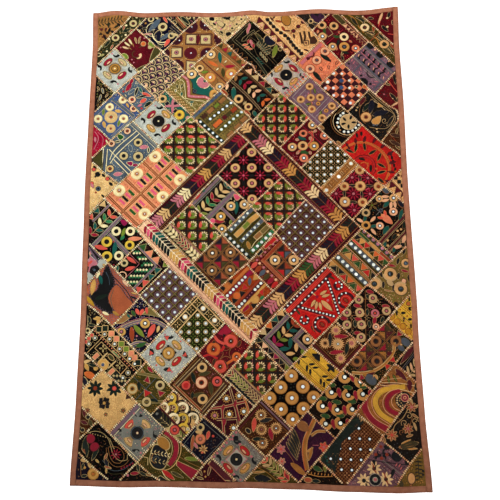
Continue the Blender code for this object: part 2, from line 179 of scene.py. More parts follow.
# How far the dyes have sunk with age, as a power of their light, and how much is left of each colour
SUNK = 1.4
AGED = np.array((0.88, 0.94, 0.92))


class Hue(Enum):
    """The dyes of the threads and cloths, as they show in daylight."""

    WHITE = "f2efe6"
    IVORY = "f4e6c8"
    CREAM = "ecdcb4"
    SAND = "ccb88e"
    PEACH = "e8c0a0"
    HONEY = "dab988"
    GOLD = "d0a868"
    AMBER = "c28048"
    OCHRE = "b48a48"
    MUSTARD = "c8a038"
    YELLOW = "dcbe58"
    ORANGE = "d07c44"
    CORAL = "d66a5c"
    SALMON = "df9878"
    RUST = "a4522c"
    RED = "c23836"
    CRIMSON = "a42044"
    MAROON = "6e1a2c"
    WINE = "521a2c"
    PINK = "dd6c88"
    ROSE = "c8868e"
    MAGENTA = "a01e5c"
    PURPLE = "522c50"
    MAUVE = "8a7280"
    LILAC = "a8a2b0"
    NAVY = "1e1c36"
    BLUE = "55688f"
    SLATE = "66717c"
    GREY = "8f908c"
    PALE = "b9b8b0"
    TEAL = "1f6c62"
    JADE = "3f8c60"
    GREEN = "3f6b36"
    LEAF = "84923f"
    OLIVE = "5c552a"
    MOSS = "3b3c22"
    FOREST = "16311f"
    BLACK = "120e0d"
    SOOT = "261b17"
    CHARCOAL = "302f2d"
    BROWN = "5c3c26"
    TAN = "a67d50"
    KHAKI = "8b7b4b"
    TERRACOTTA = "b26c4a"
    GLASS = "f2f4f6"

    def linear(self) -> np.ndarray:
        """Decodes the dye by the sRGB curve, and sinks and yellows it with age.

        Returns:
            Red, green and blue in linear light.
        """
        coded = np.array([int(self.value[k : k + 2], 16) for k in (0, 2, 4)]) / 255.0
        unchanged = np.where(coded <= 0.04045, coded / 12.92, ((coded + 0.055) / 1.055) ** 2.4)
        return unchanged**SUNK * AGED


def dyes(names: Sequence[str]) -> np.ndarray:
    """Looks dyes up.

    Args:
        names: Names of hues, in small letters.

    Returns:
        One row of red, green and blue for each.
    """
    return np.array([Hue[name.upper()].linear() for name in names])


def line_at(points: Sequence[Sequence[float]], at: np.ndarray) -> np.ndarray:
    """Runs straight from point to point of a short table, and stays level past its ends."""
    table = np.asarray(points, dtype=float)
    return np.interp(at, table[:, 0], table[:, 1])


def curve_at(points: Sequence[Sequence[float]], at: np.ndarray) -> np.ndarray:
    """Runs smoothly from point to point of a short table, level at each, as the solids' edges do.

    Args:
        points: Rows of a place and a value.
        at: Where to read the table.

    Returns:
        The value at each place.
    """
    knots = np.array(points, dtype=float)
    span = np.clip(np.searchsorted(knots[:, 0], at) - 1, 0, len(knots) - 2)
    share = np.clip((at - knots[span, 0]) / (knots[span + 1, 0] - knots[span, 0]), 0.0, 1.0)
    share = share * share * (3.0 - 2.0 * share)
    return knots[span, 1] + (knots[span + 1, 1] - knots[span, 1]) * share


def resampled(points: np.ndarray, step: float) -> np.ndarray:
    """Adds points to a line so that no stretch is longer than step.

    Args:
        points: The line's points, one row each.
        step: The longest stretch, in millimetres.

    Returns:
        The line with its old points and the new ones.
    """
    points = np.asarray(points, dtype=float)
    parts = [points[:1]]
    for start, end in zip(points[:-1], points[1:]):
        count = max(1, int(np.ceil(np.hypot(*(end - start)) / step)))
        parts.append(start + (end - start) * np.arange(1, count + 1)[:, None] / count)
    return np.concatenate(parts)


def flowing(points: np.ndarray, step: float) -> np.ndarray:
    """Adds points to a line, and rounds it wherever it turns by less than sixty degrees.

    Each stretch is a cubic. Where two stretches meet gently, both take the mean of their courses
    there; at a sharp corner each keeps its own.

    Args:
        points: The line's points, one row each.
        step: The longest stretch, in millimetres.

    Returns:
        The line with its old points and the new ones.
    """
    points = np.asarray(points, dtype=float)
    runs = np.diff(points, axis=0)
    long = np.maximum(np.hypot(*runs.T), TINY)[:, None]
    course = runs / long
    mean = course[:-1] + course[1:]
    mean /= np.maximum(np.hypot(*mean.T), TINY)[:, None]
    gentle = (course[:-1] * course[1:]).sum(axis=1)[:, None] > 0.5
    leave, arrive = course.copy(), course.copy()
    leave[1:] = np.where(gentle, mean, leave[1:])
    arrive[:-1] = np.where(gentle, mean, arrive[:-1])
    parts = [points[:1]]
    for k in range(len(runs)):
        count = max(1, int(np.ceil(long[k, 0] / step)))
        t = np.arange(1, count + 1)[:, None] / count
        bend = (t**3 - 2 * t**2 + t) * leave[k] + (t**3 - t**2) * arrive[k]
        parts.append(points[k] + (3 * t**2 - 2 * t**3) * runs[k] + bend * long[k])
    return np.concatenate(parts)


def turned(points: np.ndarray, degrees: float) -> np.ndarray:
    """Turns places about the origin, from u towards v.

    Args:
        points: Rows of u and v.
        degrees: How far to turn them.

    Returns:
        The turned places.
    """
    angle = np.radians(degrees)
    across = np.array([[np.cos(angle), np.sin(angle)], [-np.sin(angle), np.cos(angle)]])
    return np.asarray(points, dtype=float) @ across


def around(count: int) -> np.ndarray:
    """Even places on a circle of radius one."""
    turn = np.arange(count) * 2 * np.pi / count
    return np.stack([np.cos(turn), np.sin(turn)], axis=-1)


@dataclass(frozen=True)
class Cloth:
    """The shape in which the whole cloth hangs, as the solids have it.

    Edges depart from the straight by the tables, as (place along the edge, departure). A flute is (depth,
    width, shift, reach down from the top).
    """

    width: float = 1016.0
    height: float = 1524.0
    border: float = 18.0
    thick: float = 2.4
    top: tuple = ((0, 0), (80, -9), (190, -1), (290, 0), (465, 5), (535, 1), (590, 6), (760, 0), (905, 5),
                  (1016, -2))
    bottom: tuple = ((0, 0), (150, 3), (255, 1), (430, 3), (500, 1), (640, 3), (790, 8), (920, 10),
                     (1016, 6))
    left: tuple = ((0, -2), (130, 2), (400, 0), (620, -1), (800, 1.5), (1060, 5.5), (1270, 4), (1524, -2))
    right: tuple = ((0, 0), (150, -4), (330, -2.5), (610, -6), (1000, -4), (1110, -6), (1310, -4),
                    (1524, 2))
    flutes: tuple = ((2.6, 235.0, 0.4, 420.0), (1.6, 610.0, 2.1, 5000.0))
    curl: float = 4.0
    curl_reach: float = 260.0

    def hang(self, right: np.ndarray, down: np.ndarray) -> np.ndarray:
        """How far the middle layer stands forward: damped sine flutes and the foot corner's soft curl.

        Args:
            right: Distances from the cloth's left side.
            down: Distances from its top.

        Returns:
            Millimetres towards the front.
        """
        depth = np.zeros(np.shape(right))
        for height, width, shift, reach in self.flutes:
            depth = depth + height * np.sin(2 * np.pi * right / width + shift) * np.exp(-down / reach)
        near = np.hypot(right - self.width, down - self.height) / self.curl_reach
        return depth + self.curl * np.exp(-near * near)

    def world(self, right: np.ndarray, down: np.ndarray, front: np.ndarray) -> np.ndarray:
        """World points, in metres, of places that stand `front` before the middle layer.

        Args:
            right: Distances from the cloth's left side.
            down: Distances from its top.
            front: Heights before the middle layer.

        Returns:
            Rows of x, y and z.
        """
        middle = self.width / 2
        top = curve_at(self.top, middle)
        depth = self.hang(right, down) - self.hang(middle, top) + front
        return np.stack([right - middle, -depth, top - down], axis=-1) / 1000.0

    def inside(self, places: np.ndarray) -> np.ndarray:
        """Distances from the four uneven edges, inwards, in the order left, right, top, bottom.

        Args:
            places: Places in the cloth frame.

        Returns:
            Four distances for each place.
        """
        right, down = places[..., 0], places[..., 1]
        return np.stack(
            [
                right - curve_at(self.left, down),
                self.width + curve_at(self.right, down) - right,
                down - curve_at(self.top, right),
                self.height + curve_at(self.bottom, right) - down,
            ],
            axis=-1,
        )

    def held_in(self, places: np.ndarray, inset: float) -> np.ndarray:
        """Moves places in so that each is at least `inset` from every edge.

        Args:
            places: Places in the cloth frame.
            inset: A distance inwards, in millimetres.

        Returns:
            The moved places.
        """
        lack = np.clip(inset - self.inside(places), 0.0, None)
        moved = places.copy()
        moved[..., 0] += lack[..., 0] - lack[..., 1]
        moved[..., 1] += lack[..., 2] - lack[..., 3]
        return moved

    def ring(self, inset: float, step: float) -> np.ndarray:
        """The edge's course, at a distance inside it, clockwise from the top left corner.

        Args:
            inset: A distance inwards, in millimetres.
            step: About how far one place is from the next.

        Returns:
            Places in the cloth frame.
        """
        across = np.linspace(0.0, 1.0, int(self.width / step) + 1)[:-1]
        downward = np.linspace(0.0, 1.0, int(self.height / step) + 1)[:-1]
        shares = [
            np.stack([across, 0 * across], axis=-1),
            np.stack([1 + 0 * downward, downward], axis=-1),
            np.stack([1 - across, 1 + 0 * across], axis=-1),
            np.stack([0 * downward, 1 - downward], axis=-1),
        ]
        return self.at_shares(np.concatenate(shares), inset)

    def at_shares(self, shares: np.ndarray, inset: float) -> np.ndarray:
        """Places from shares of the width and height that is left inside `inset`.

        Args:
            shares: Rows of two numbers from 0 to 1.
            inset: A distance inwards, in millimetres.

        Returns:
            Places in the cloth frame.
        """
        right, down = shares[..., 0] * self.width, shares[..., 1] * self.height
        for _ in range(3):
            left = curve_at(self.left, down) + inset
            top = curve_at(self.top, right) + inset
            wide = self.width + curve_at(self.right, down) - inset - left
            high = self.height + curve_at(self.bottom, right) - inset - top
            right, down = left + wide * shares[..., 0], top + high * shares[..., 1]
        return np.stack([right, down], axis=-1)


CLOTH = Cloth()


def to_cloth(places: np.ndarray) -> np.ndarray:
    """Bias frame to cloth frame."""
    u, v = places[..., 0], places[..., 1]
    return np.stack([u - v, u + v], axis=-1) * ROOT_HALF


def to_bias(places: np.ndarray) -> np.ndarray:
    """Cloth frame to bias frame."""
    right, down = places[..., 0], places[..., 1]
    return np.stack([right + down, down - right], axis=-1) * ROOT_HALF


@dataclass
class Relief:
    """The height of the front over the plain sheet, kept on an even grid over the cloth.

    It is the sum of each patch's swell, which grows smoothly from half a braid's width off the nearest
    seam, and of soft puckers, which are random heights smoothed by two widths of blur. The grid goes past
    the cloth by a margin, in steps.
    """

    pitch: float = 3.0
    margin: int = 3
    braid: float = 2.6
    swell: float = 0.5
    reach: float = 26.0
    pucker: float = 0.55
    fine_share: float = 0.55
    fine_blur: float = 3.0
    broad_blur: float = 9.0
    longest: float = 400.0
    grid: np.ndarray = field(init=False)
    away: np.ndarray = field(init=False)

    def __post_init__(self) -> None:
        """Works the grid out."""
        spare = 2 * self.margin + 2
        columns, rows = int(CLOTH.width / self.pitch) + spare, int(CLOTH.height / self.pitch) + spare
        right, down = np.meshgrid(np.arange(columns) - self.margin, np.arange(rows) - self.margin)
        places = np.stack([right.ravel(), down.ravel()], axis=-1) * self.pitch
        away = np.full(len(places), np.inf)
        for points in SEAMS.values():
            line = to_cloth(resampled(np.array(points), self.longest))
            for start, end in zip(line[:-1], line[1:]):
                run = end - start
                share = np.clip((places - start) @ run / (run @ run), 0.0, 1.0)
                away = np.minimum(away, np.hypot(*(places - start - share[:, None] * run).T))
        share = np.clip((away - self.braid) / self.reach, 0.0, 1.0)
        plump = self.swell * share * share * (3.0 - 2.0 * share)
        self.away = away.reshape(rows, columns)
        fine = self.puckers(rows, columns, self.fine_blur)
        broad = self.puckers(rows, columns, self.broad_blur)
        self.grid = plump.reshape(rows, columns) + self.pucker * (self.fine_share * fine + broad) / 2

    @staticmethod
    def puckers(rows: int, columns: int, blur: float) -> np.ndarray:
        """Random heights with a spread of 1, each frequency f scaled by exp(-20 (f blur)^2).

        Args:
            rows: The grid's rows.
            columns: The grid's columns.
            blur: The blur's standard deviation, in steps of the grid.

        Returns:
            A grid of heights.
        """
        noise = np.random.default_rng(SEED + int(blur)).normal(size=(rows, columns))
        across = np.fft.rfftfreq(columns)[None, :] * blur
        along = np.fft.fftfreq(rows)[:, None] * blur
        smooth = np.fft.irfft2(np.fft.rfft2(noise) * np.exp(-20.0 * (across**2 + along**2)), s=noise.shape)
        return smooth / smooth.std()

    def read(self, grid: np.ndarray, places: np.ndarray) -> np.ndarray:
        """Reads a grid between its points.

        Args:
            grid: The heights, or the distances from the seams.
            places: Places in the cloth frame.

        Returns:
            The value at each place.
        """
        rows, columns = grid.shape
        x = np.clip(places[..., 0] / self.pitch + self.margin, 0, columns - 1.001)
        y = np.clip(places[..., 1] / self.pitch + self.margin, 0, rows - 1.001)
        column, row = x.astype(int), y.astype(int)
        dx, dy = x - column, y - row
        near = grid[row, column] * (1 - dx) + grid[row, column + 1] * dx
        far = grid[row + 1, column] * (1 - dx) + grid[row + 1, column + 1] * dx
        return near * (1 - dy) + far * dy

    def height(self, places: np.ndarray) -> np.ndarray:
        """How far the front stands before the cloth's middle layer."""
        return CLOTH.thick / 2 + self.read(self.grid, places)


RELIEF = Relief()


@dataclass
class Stuff:
    """Parts of a mesh that are gathered before one object is made of them."""

    points: list[np.ndarray] = field(default_factory=list)
    faces: list[np.ndarray] = field(default_factory=list)
    colours: list[np.ndarray] = field(default_factory=list)
    lays: list[np.ndarray] = field(default_factory=list)
    count: int = 0

    def add(self, points: np.ndarray, faces: np.ndarray, colours: np.ndarray, lays: np.ndarray) -> None:
        """Adds one part.

        Args:
            points: Bias-frame u and v with a height over the front, one row a point.
            faces: Triangles, as rows of three of the part's points.
            colours: One dye for all points, or one for each.
            lays: For each point, where it is along the run of the threads, in millimetres.
        """
        self.points.append(points)
        self.faces.append(faces + self.count)
        self.colours.append(np.broadcast_to(colours, (len(points), 3)))
        self.lays.append(np.broadcast_to(lays, (len(points),)))
        self.count += len(points)

    def joined(self) -> tuple[np.ndarray, np.ndarray, np.ndarray, np.ndarray]:
        """All points, triangles, colours and lays as four arrays.

        Returns:
            The four arrays, a row for each point, or for each triangle.
        """
        if not self.points:
            return np.zeros((0, 3)), np.zeros((0, 3), int), np.zeros((0, 3)), np.zeros(0)
        return (
            np.concatenate(self.points),
            np.concatenate(self.faces),
            np.concatenate(self.colours),
            np.concatenate(self.lays),
        )


def grid_faces(rows: int, columns: int, closed: bool = False) -> np.ndarray:
    """Triangles of a grid of points that is stored row by row.

    Args:
        rows: How many rows the grid has.
        columns: How many points a row has.
        closed: Whether the last row meets the first.

    Returns:
        Rows of three points, turned so that u, v and the height make a right-handed set.
    """
    row = np.arange(rows if closed else rows - 1)[:, None]
    column = np.arange(columns - 1)[None, :]
    a = row * columns + column
    b = (row + 1) % rows * columns + column
    quads = np.stack([a, b, b + 1, a + 1], axis=-1).reshape(-1, 4)
    return np.concatenate([quads[:, [0, 1, 2]], quads[:, [0, 2, 3]]])


def twice_area(places: np.ndarray, faces: np.ndarray) -> np.ndarray:
    """Twice the area of each triangle, positive where it turns from the first axis to the second.

    Args:
        places: Rows whose first two numbers are a place.
        faces: Rows of three places.

    Returns:
        One number for each triangle.
    """
    a, b, c = (places[faces[:, k], :2] for k in range(3))
    ab, ac = b - a, c - a
    return ab[:, 0] * ac[:, 1] - ab[:, 1] * ac[:, 0]


def facing_front(places: np.ndarray, faces: np.ndarray) -> np.ndarray:
    """Turns triangles so that each faces the front.

    In both plane frames the second axis runs down the cloth, so a triangle that turns from the first
    axis to the second faces the back.

    Args:
        places: Places in the cloth frame or the bias frame, with or without a height.
        faces: Rows of three places.

    Returns:
        The triangles, some with their order reversed.
    """
    turn = twice_area(places, faces)
    faces = faces.copy()
    faces[turn > 0] = faces[turn > 0][:, ::-1]
    return faces


@dataclass
class Cell:
    """A patch's outline: four seams by name, or a number where the border cuts the patch off."""

    left: str | float
    right: str | float
    top: str | float
    bottom: str | float

    @staticmethod
    def edge(side: str | float, at: np.ndarray, upright: bool) -> np.ndarray:
        """A side's u at heights v if it is upright, or else its v at places u.

        Args:
            side: A seam's name, or a number.
            at: Where along the side.
            upright: Whether the side runs with v.

        Returns:
            One number for each place.
        """
        if not isinstance(side, str):
            return np.full(np.shape(at), float(side))
        table = np.array(SEAMS[side], dtype=float)
        return line_at(table[:, ::-1] if upright else table, at)

    def depths(self, places: np.ndarray) -> np.ndarray:
        """Distances inwards from the left, right, top and bottom sides.

        Args:
            places: Rows of u and v.

        Returns:
            Four distances for each place.
        """
        u, v = places[..., 0], places[..., 1]
        return np.stack(
            [
                u - self.edge(self.left, v, True),
                self.edge(self.right, v, True) - u,
                v - self.edge(self.top, u, False),
                self.edge(self.bottom, u, False) - v,
            ],
            axis=-1,
        )

    def within(self, places: np.ndarray, inset: float = 0.0) -> np.ndarray:
        """Whether each place is inside all four sides and the border."""
        deep = self.depths(places).min(axis=-1) > inset
        return deep & (CLOTH.inside(to_cloth(places)).min(axis=-1) > CLOTH.border + inset)

    def held_in(self, places: np.ndarray, inset: float) -> np.ndarray:
        """Moves places in so that each is at least `inset` from every side.

        Args:
            places: Rows of u and v.
            inset: A distance inwards, in millimetres.

        Returns:
            The moved places.
        """
        lack = np.clip(inset - self.depths(places), 0.0, None)
        moved = places.copy()
        moved[..., 0] += lack[..., 0] - lack[..., 1]
        moved[..., 1] += lack[..., 2] - lack[..., 3]
        return moved

    @staticmethod
    def course(side: str | float, upright: bool, low: float, high: float) -> np.ndarray:
        """A side's u, or its v if it is not upright, at its points and ends between two places.

        Args:
            side: A seam's name, or a number.
            upright: Whether the side runs with v.
            low: The first place along the side.
            high: The last place along the side.

        Returns:
            One number for each point that was found.
        """
        if not isinstance(side, str):
            return np.array([side])
        table = np.array(SEAMS[side], dtype=float)[:, ::-1 if upright else 1]
        kept = table[(table[:, 0] >= low) & (table[:, 0] <= high), 1]
        return np.concatenate([kept, line_at(table, np.array([low, high]))])

    def box(self) -> tuple[float, float, float, float]:
        """The least and greatest u, and the least and greatest v, that the patch reaches.

        Returns:
            The four numbers.
        """
        u0 = self.course(self.left, True, -FAR, FAR).min()
        u1 = self.course(self.right, True, -FAR, FAR).max()
        v0 = self.course(self.top, False, u0, u1).min()
        v1 = self.course(self.bottom, False, u0, u1).max()
        u0 = self.course(self.left, True, v0, v1).min()
        u1 = self.course(self.right, True, v0, v1).max()
        return u0, u1, v0, v1


class Litter(Enum):
    """The small motifs that fill what the others leave free."""

    KNOTS = "knots"
    TICKS = "ticks"
    SPRIGS = "sprigs"


class Crosses(Enum):
    """Where the crosses of a grid of mirrors are: between the mirrors, or by turns with them."""

    BETWEEN = "between"
    TURNS = "turns"


class Needle:
    """Draws one patch's motifs as low relief, each about its own place and turned to its own angle.

    A chart is a list of statements with ";" between them. A statement holds a motif's name, its numbers
    and hues, and after "@" the places where it is sewn, each u,v or u,v,angle. Hues with "/" between them
    take turns. "~n" sews n copies at even steps along the places. `up` lifts what follows, and `rim` lays
    a dark edge of the named hue under it.
    """

    PATHS = ("line", "band", "wave", "zigzag", "plate", "shape", "comb")
    FILLS = ("netting", "tulips", "starnet", "quarters", "mirror_grid", "checker", "scales", "litter")

    # A chart's larger motifs are outlined: what is wider than this, and by how much, in millimetres
    BOLD_STROKE = 2.9
    STROKE_EDGE = 1.3
    BOLD_FILL = 5.5
    FILL_EDGE = 1.2

    # An arch's section, from side to side: shares of its half width, and of its height
    COARSE_SECTION = ((-1.0, 0.0, 1.0), (-0.25, 1.0, -0.25))
    FINE_SECTION = ((-1.0, -0.62, 0.0, 0.62, 1.0), (-0.25, 0.8, 1.0, 0.8, -0.25))

    # Half the width from which an arch has its full height, and the share of it that a thread keeps
    FULL_HEIGHT = 1.2
    LEAST_HEIGHT = 0.25

    # A filled shape: its shoulder's share of its outline, the heights of its rim, shoulder and top as
    # shares of its rise, and the heights of its edge's rim and top, in millimetres
    SHOULDER = 0.8
    FILL_LEVELS = (-0.1, 0.85, 1.0)
    EDGE_LEVELS = (0.12, 0.3)

    # A mirror: how many sides it has, how far it tips and how high it lies
    FACETS = 12
    TIP = 0.05
    GLASS_LEVEL = 0.75

    CHAIN_LEAN = 0.9  # how far a chain stitch's arms run along the path, for each millimetre across
    FILL_COURSE = np.array([0.8, 0.6])  # the way that the threads of a filled shape follow each other
    TRIM = 0.9  # how far inside its seams a patch's work is cut off
    BORDER_LAP = 0.5  # how far the work goes under the border
    SLIVER = 0.008  # twice the area of the least triangle that is kept, in square millimetres

    # The medallion: places and angles of its mounds and commas about its hub
    MOUNDS = ((34, 0, 90), (0, 34, 0))
    COMMAS = ((38, -39, 30), (38, 39, 150))

    def __init__(self, cell: Cell, seed: int, outline: str = "") -> None:
        """Starts an empty patch.

        Args:
            cell: The patch's outline.
            seed: Sets the patch's own random choices.
            outline: The dye that larger motifs are outlined in, where a chart sets no other.
        """
        self.cell = cell
        self.random = np.random.default_rng(SEED + seed)
        self.threads, self.mirrors = Stuff(), Stuff()
        self.at, self.angle, self.level, self.edging = np.zeros(2), 0.0, 0.0, ""
        self.outline = outline

    def work(self, chart: str) -> None:
        """Sews every statement of a chart.

        Args:
            chart: Statements, as the class's own words give them.
        """
        for text in chart.split(";"):
            head, _, tail = text.partition("@")
            name, *words = head.split()
            places = np.array([[*(float(x) for x in place.split(",")), 0.0][:3] for place in tail.split()])
            copies = [int(word[1:]) for word in words if word[0] == "~"]
            if copies:
                share = np.linspace(0, len(places) - 1, copies[0])
                places = np.stack([np.interp(share, np.arange(len(places)), x) for x in places.T], axis=-1)
            values = [self.value(word) for word in words if word[0] != "~"]
            if name == "up":
                self.level = values[0]
            elif name == "rim":
                self.edging = "" if values[0] == "none" else values[0]
            elif name in self.PATHS:
                getattr(self, name)(places[:, :2], *values)
            elif name in self.FILLS:
                kept, self.outline = self.outline, ""
                getattr(self, name)(places.reshape(-1, 3)[:, :2], *values)
                self.outline = kept
            else:
                for k, (u, v, angle) in enumerate(places):
                    now = [x.split("/")[k % (x.count("/") + 1)] if isinstance(x, str) else x for x in values]
                    with self.posed(u, v, angle):
                        getattr(self, name)(*now)

    @staticmethod
    def value(word: str) -> float | str:
        """A word of a chart as a number, or as it is."""
        return word if word[0].isalpha() else float(word)

    @contextmanager
    def posed(self, x: float = 0.0, y: float = 0.0, angle: float = 0.0, lift: float = 0.0) -> Iterator[None]:
        """Moves, turns and lifts what is drawn inside the with statement.

        Args:
            x: How far to move along the present angle.
            y: How far to move across it.
            angle: How far to turn, in degrees from u towards v.
            lift: How much higher.

        Returns:
            A context in which the pose holds.
        """
        kept = self.at, self.angle, self.level
        self.at = self.at + turned((x, y), self.angle)
        self.angle, self.level = self.angle + angle, self.level + lift
        yield
        self.at, self.angle, self.level = kept

    # The two shapes that all motifs are made of

    def stroke(self, path: np.ndarray, half: Any, hue: str, rise: float = 0.8, closed: bool = False,
               chain: bool = False, fine: bool = False, slant: float = 0.5, rimmed: bool = False) -> None:
        """A raised band along a path: its section is an arch of three or five points.

        Args:
            path: Places about the motif's own, one row each.
            half: Half the width, one number or one for each place.
            hue: A dye's name.
            rise: The arch's height.
            closed: Whether the path ends where it starts.
            chain: Whether the threads lie as a chain's arrowheads, and not straight across.
            fine: Whether the arch has five points.
            slant: How far the threads lean along the path, for each millimetre across.
            rimmed: Whether the edge's hue shows round it, where one is set.
        """
        if rimmed and (self.edging or self.outline and np.max(half) > self.BOLD_STROKE):
            wider = np.asarray(half) + self.STROKE_EDGE
            self.stroke(path, wider, self.edging or self.outline, 0.4, closed, chain=True)
        path = turned(path, self.angle) + self.at
        count = len(path)
        if closed:
            course = np.roll(path, -1, axis=0) - np.roll(path, 1, axis=0)
        else:
            course = np.gradient(path, axis=0)
        course /= np.maximum(np.hypot(*course.T), TINY)[:, None]
        across = np.stack([-course[:, 1], course[:, 0]], axis=-1)
        steps = np.hypot(*(np.diff(path, axis=0, append=path[:1]) if closed else np.diff(path, axis=0)).T)
        travel = np.concatenate([[0.0], np.cumsum(steps)])[:count]
        side, arch = np.array(self.FINE_SECTION if fine else self.COARSE_SECTION)
        half = np.broadcast_to(np.asarray(half, dtype=float), (count,))
        offset = half[:, None] * side[None, :]
        places = path[:, None, :] + offset[:, :, None] * across[:, None, :]
        share = np.clip(half[:, None] / self.FULL_HEIGHT, self.LEAST_HEIGHT, 1.0)
        height = self.level + rise * arch[None, :] * share
        points = np.concatenate([places, height[:, :, None]], axis=-1).reshape(-1, 3)
        lean = np.abs(offset) * self.CHAIN_LEAN if chain else offset * slant
        lays = (travel[:, None] + lean).ravel()
        self.threads.add(points, grid_faces(count, len(side), closed), dyes([hue])[0], lays)

    def filled(self, outline: np.ndarray, hue: str, centre: Sequence[float] = (0.0, 0.0),
               rise: float = 0.8) -> None:
        """A filled shape, star-shaped about its centre: a rim, a shoulder at four fifths and a top.

        Args:
            outline: The rim's places in order, about the motif's own place.
            hue: A dye's name.
            centre: The place from which every part of the rim is seen.
            rise: The height at the centre.
        """
        outline = turned(outline, self.angle) + self.at
        centre = turned(centre, self.angle) + self.at
        count = len(outline)
        ring = np.arange(count)
        after = (ring + 1) % count
        reach = np.hypot(*(outline - centre).T)
        if self.edging or self.outline and reach.max() > self.BOLD_FILL:
            wider = outline + self.FILL_EDGE * (outline - centre) / np.maximum(reach, TINY)[:, None]
            places = np.concatenate([wider, [centre]])
            height = self.level + np.repeat(self.EDGE_LEVELS, [count, 1])
            faces = np.stack([ring, after, 0 * ring + count], axis=-1)
            colour = dyes([self.edging or self.outline])[0]
            self.threads.add(np.column_stack([places, height]), faces, colour, places @ self.FILL_COURSE)
        shoulder = centre + self.SHOULDER * (outline - centre)
        places = np.concatenate([outline, shoulder, [centre]])
        height = self.level + rise * np.repeat(self.FILL_LEVELS, [count, count, 1])
        faces = np.concatenate(
            [
                np.stack([ring, after, after + count], axis=-1),
                np.stack([ring, after + count, ring + count], axis=-1),
                np.stack([ring + count, after + count, 0 * ring + 2 * count], axis=-1),
            ]
        )
        lays = places @ self.FILL_COURSE
        self.threads.add(np.column_stack([places, height]), faces, dyes([hue])[0], lays)

    # Motifs that are sewn at a place

    def dot(self, r: float, hue: str) -> None:
        """A knot, round and domed."""
        self.filled(r * around(7 if r < 5 else 12 if r < 12 else 20), hue, rise=0.6 + 0.04 * r)

    def glass(self, r: float, rim: str, tint: str = "glass") -> None:
        """A small mirror held by a ring of stitches; it tips a little, as the sewing pulls it.

        Args:
            r: The mirror's radius.
            rim: The stitches' dye, or bare for none.
            tint: The mirror's own dye.
        """
        tip = self.random.normal(0.0, self.TIP, 2)
        places = np.concatenate([[[0.0, 0.0]], around(self.FACETS) * r * 0.98])
        height = self.level + self.GLASS_LEVEL + places @ tip
        ring = np.arange(self.FACETS)
        faces = np.stack([0 * ring, 1 + ring, 1 + (ring + 1) % self.FACETS], axis=-1)
        colour = dyes([tint])[0] * self.random.uniform(0.75, 1.05)
        self.mirrors.add(np.column_stack([places + self.at, height]), faces, colour, 0.0)
        if rim != "bare":
            wide = max(1.0, 0.3 * r)
            ring = around(self.FACETS) * (r + 0.35 * wide)
            self.stroke(ring, wide, rim, 1.3, closed=True, slant=0.0, rimmed=True)

    def core(self, r: float, hue: str) -> None:
        """A motif's middle: a knot, or a mirror if the hue is called glass.

        Args:
            r: Its radius.
            hue: A dye's name, or glass.
        """
        if hue == "glass":
            self.glass(r, "bare")
        else:
            kept, self.edging, self.outline = (self.edging, self.outline), "", ""
            self.dot(r, hue)
            self.edging, self.outline = kept

    def eye(self, r: float, hue: str, core: str, line: str = "soot") -> None:
        """A broad ring between two thin lines, with a middle of about a quarter of its size.

        Args:
            r: The whole motif's radius.
            hue: The ring's dye.
            core: The middle's dye, or glass.
            line: The two lines' dye.
        """
        rim = around(14 if r < 12 else 20)
        self.stroke(rim * (r - 0.3), 1.3, line, 0.5, closed=True, chain=True)
        self.stroke(rim * 0.69 * r, 0.27 * r, hue, 1.1, closed=True, fine=r > 9, slant=0.0)
        self.stroke(rim * 0.36 * r, 0.07 * r + 0.6, line, 0.9, closed=True, chain=True)
        self.core(0.27 * r, core)

    def rings(self, r: float, *hues: str) -> None:
        """Bands one inside another, from the outermost hue to the centre's, which may be glass.

        Args:
            r: The whole motif's radius.
            hues: The dyes, the centre's last.
        """
        bands = hues[:-1]
        heart = 0.3 * r if len(bands) < 3 else 0.22 * r
        wide = (r - heart) / max(len(bands), 1)
        for place, hue in enumerate(bands):
            middle = r - wide * (place + 0.5)
            self.stroke(around(12 if r < 9 else 18) * middle, wide * 0.52, hue, 1.0, closed=True, slant=0.0)
        self.core(heart, hues[-1])

    def leaf(self, long: float, wide: float, hue: str) -> None:
        """A leaf: its half width is a half sine along its length, fuller near the stem.

        Args:
            long: Its length.
            wide: Its greatest width.
            hue: A dye's name.
        """
        share = np.linspace(0.0, 1.0, 6 if long < 12 else 8 if long < 22 else 11)
        swell = np.sin(np.pi * share**0.85) ** 0.8
        spine = np.stack([(share - 0.5) * long, 0 * share], axis=-1)
        half = np.maximum(wide / 2 * swell, 0.15)
        self.stroke(spine, half, hue, 0.9, fine=wide > 8, slant=0.9, rimmed=True)

    def pair(self, long: float, wide: float, tilt: float, hue: str) -> None:
        """Two leaves that spread from a stem and lean forward.

        Args:
            long: Each leaf's length.
            wide: Each leaf's width.
            tilt: How far each leans out, in degrees.
            hue: A dye's name.
        """
        for side in (-1, 1):
            with self.posed(angle=side * tilt), self.posed(0.5 * long + 1.0):
                self.leaf(long, wide, hue)

    def flower(self, r: float, petals: float, hue: str, core: str) -> None:
        """Petals round a knot.

        Args:
            r: Its radius.
            petals: How many petals it has.
            hue: The petals' dye.
            core: The knot's dye, or glass.
        """
        turn = self.random.uniform(0, 360)
        wide = min(2 * np.pi * 0.6 * r / petals * 0.92, 0.8 * r)
        for angle in turn + np.arange(int(petals)) * 360 / petals:
            with self.posed(angle=angle), self.posed(0.6 * r):
                self.leaf(0.84 * r, wide, hue)
        with self.posed(lift=0.5):
            self.core(0.28 * r, core)

    def star(self, r: float, rays: float, hue: str, core: str = "") -> None:
        """Thin rays round a centre.

        Args:
            r: Its radius.
            rays: How many rays it has.
            hue: The rays' dye.
            core: The centre's dye, or glass, or nothing for none.
        """
        kept, self.outline = self.outline, ""
        for angle in np.arange(int(rays)) * 360 / rays:
            with self.posed(angle=angle), self.posed(0.6 * r):
                self.leaf(0.72 * r, 0.26 * r, hue)
        self.outline = kept
        if core:
            self.core(0.2 * r, core)

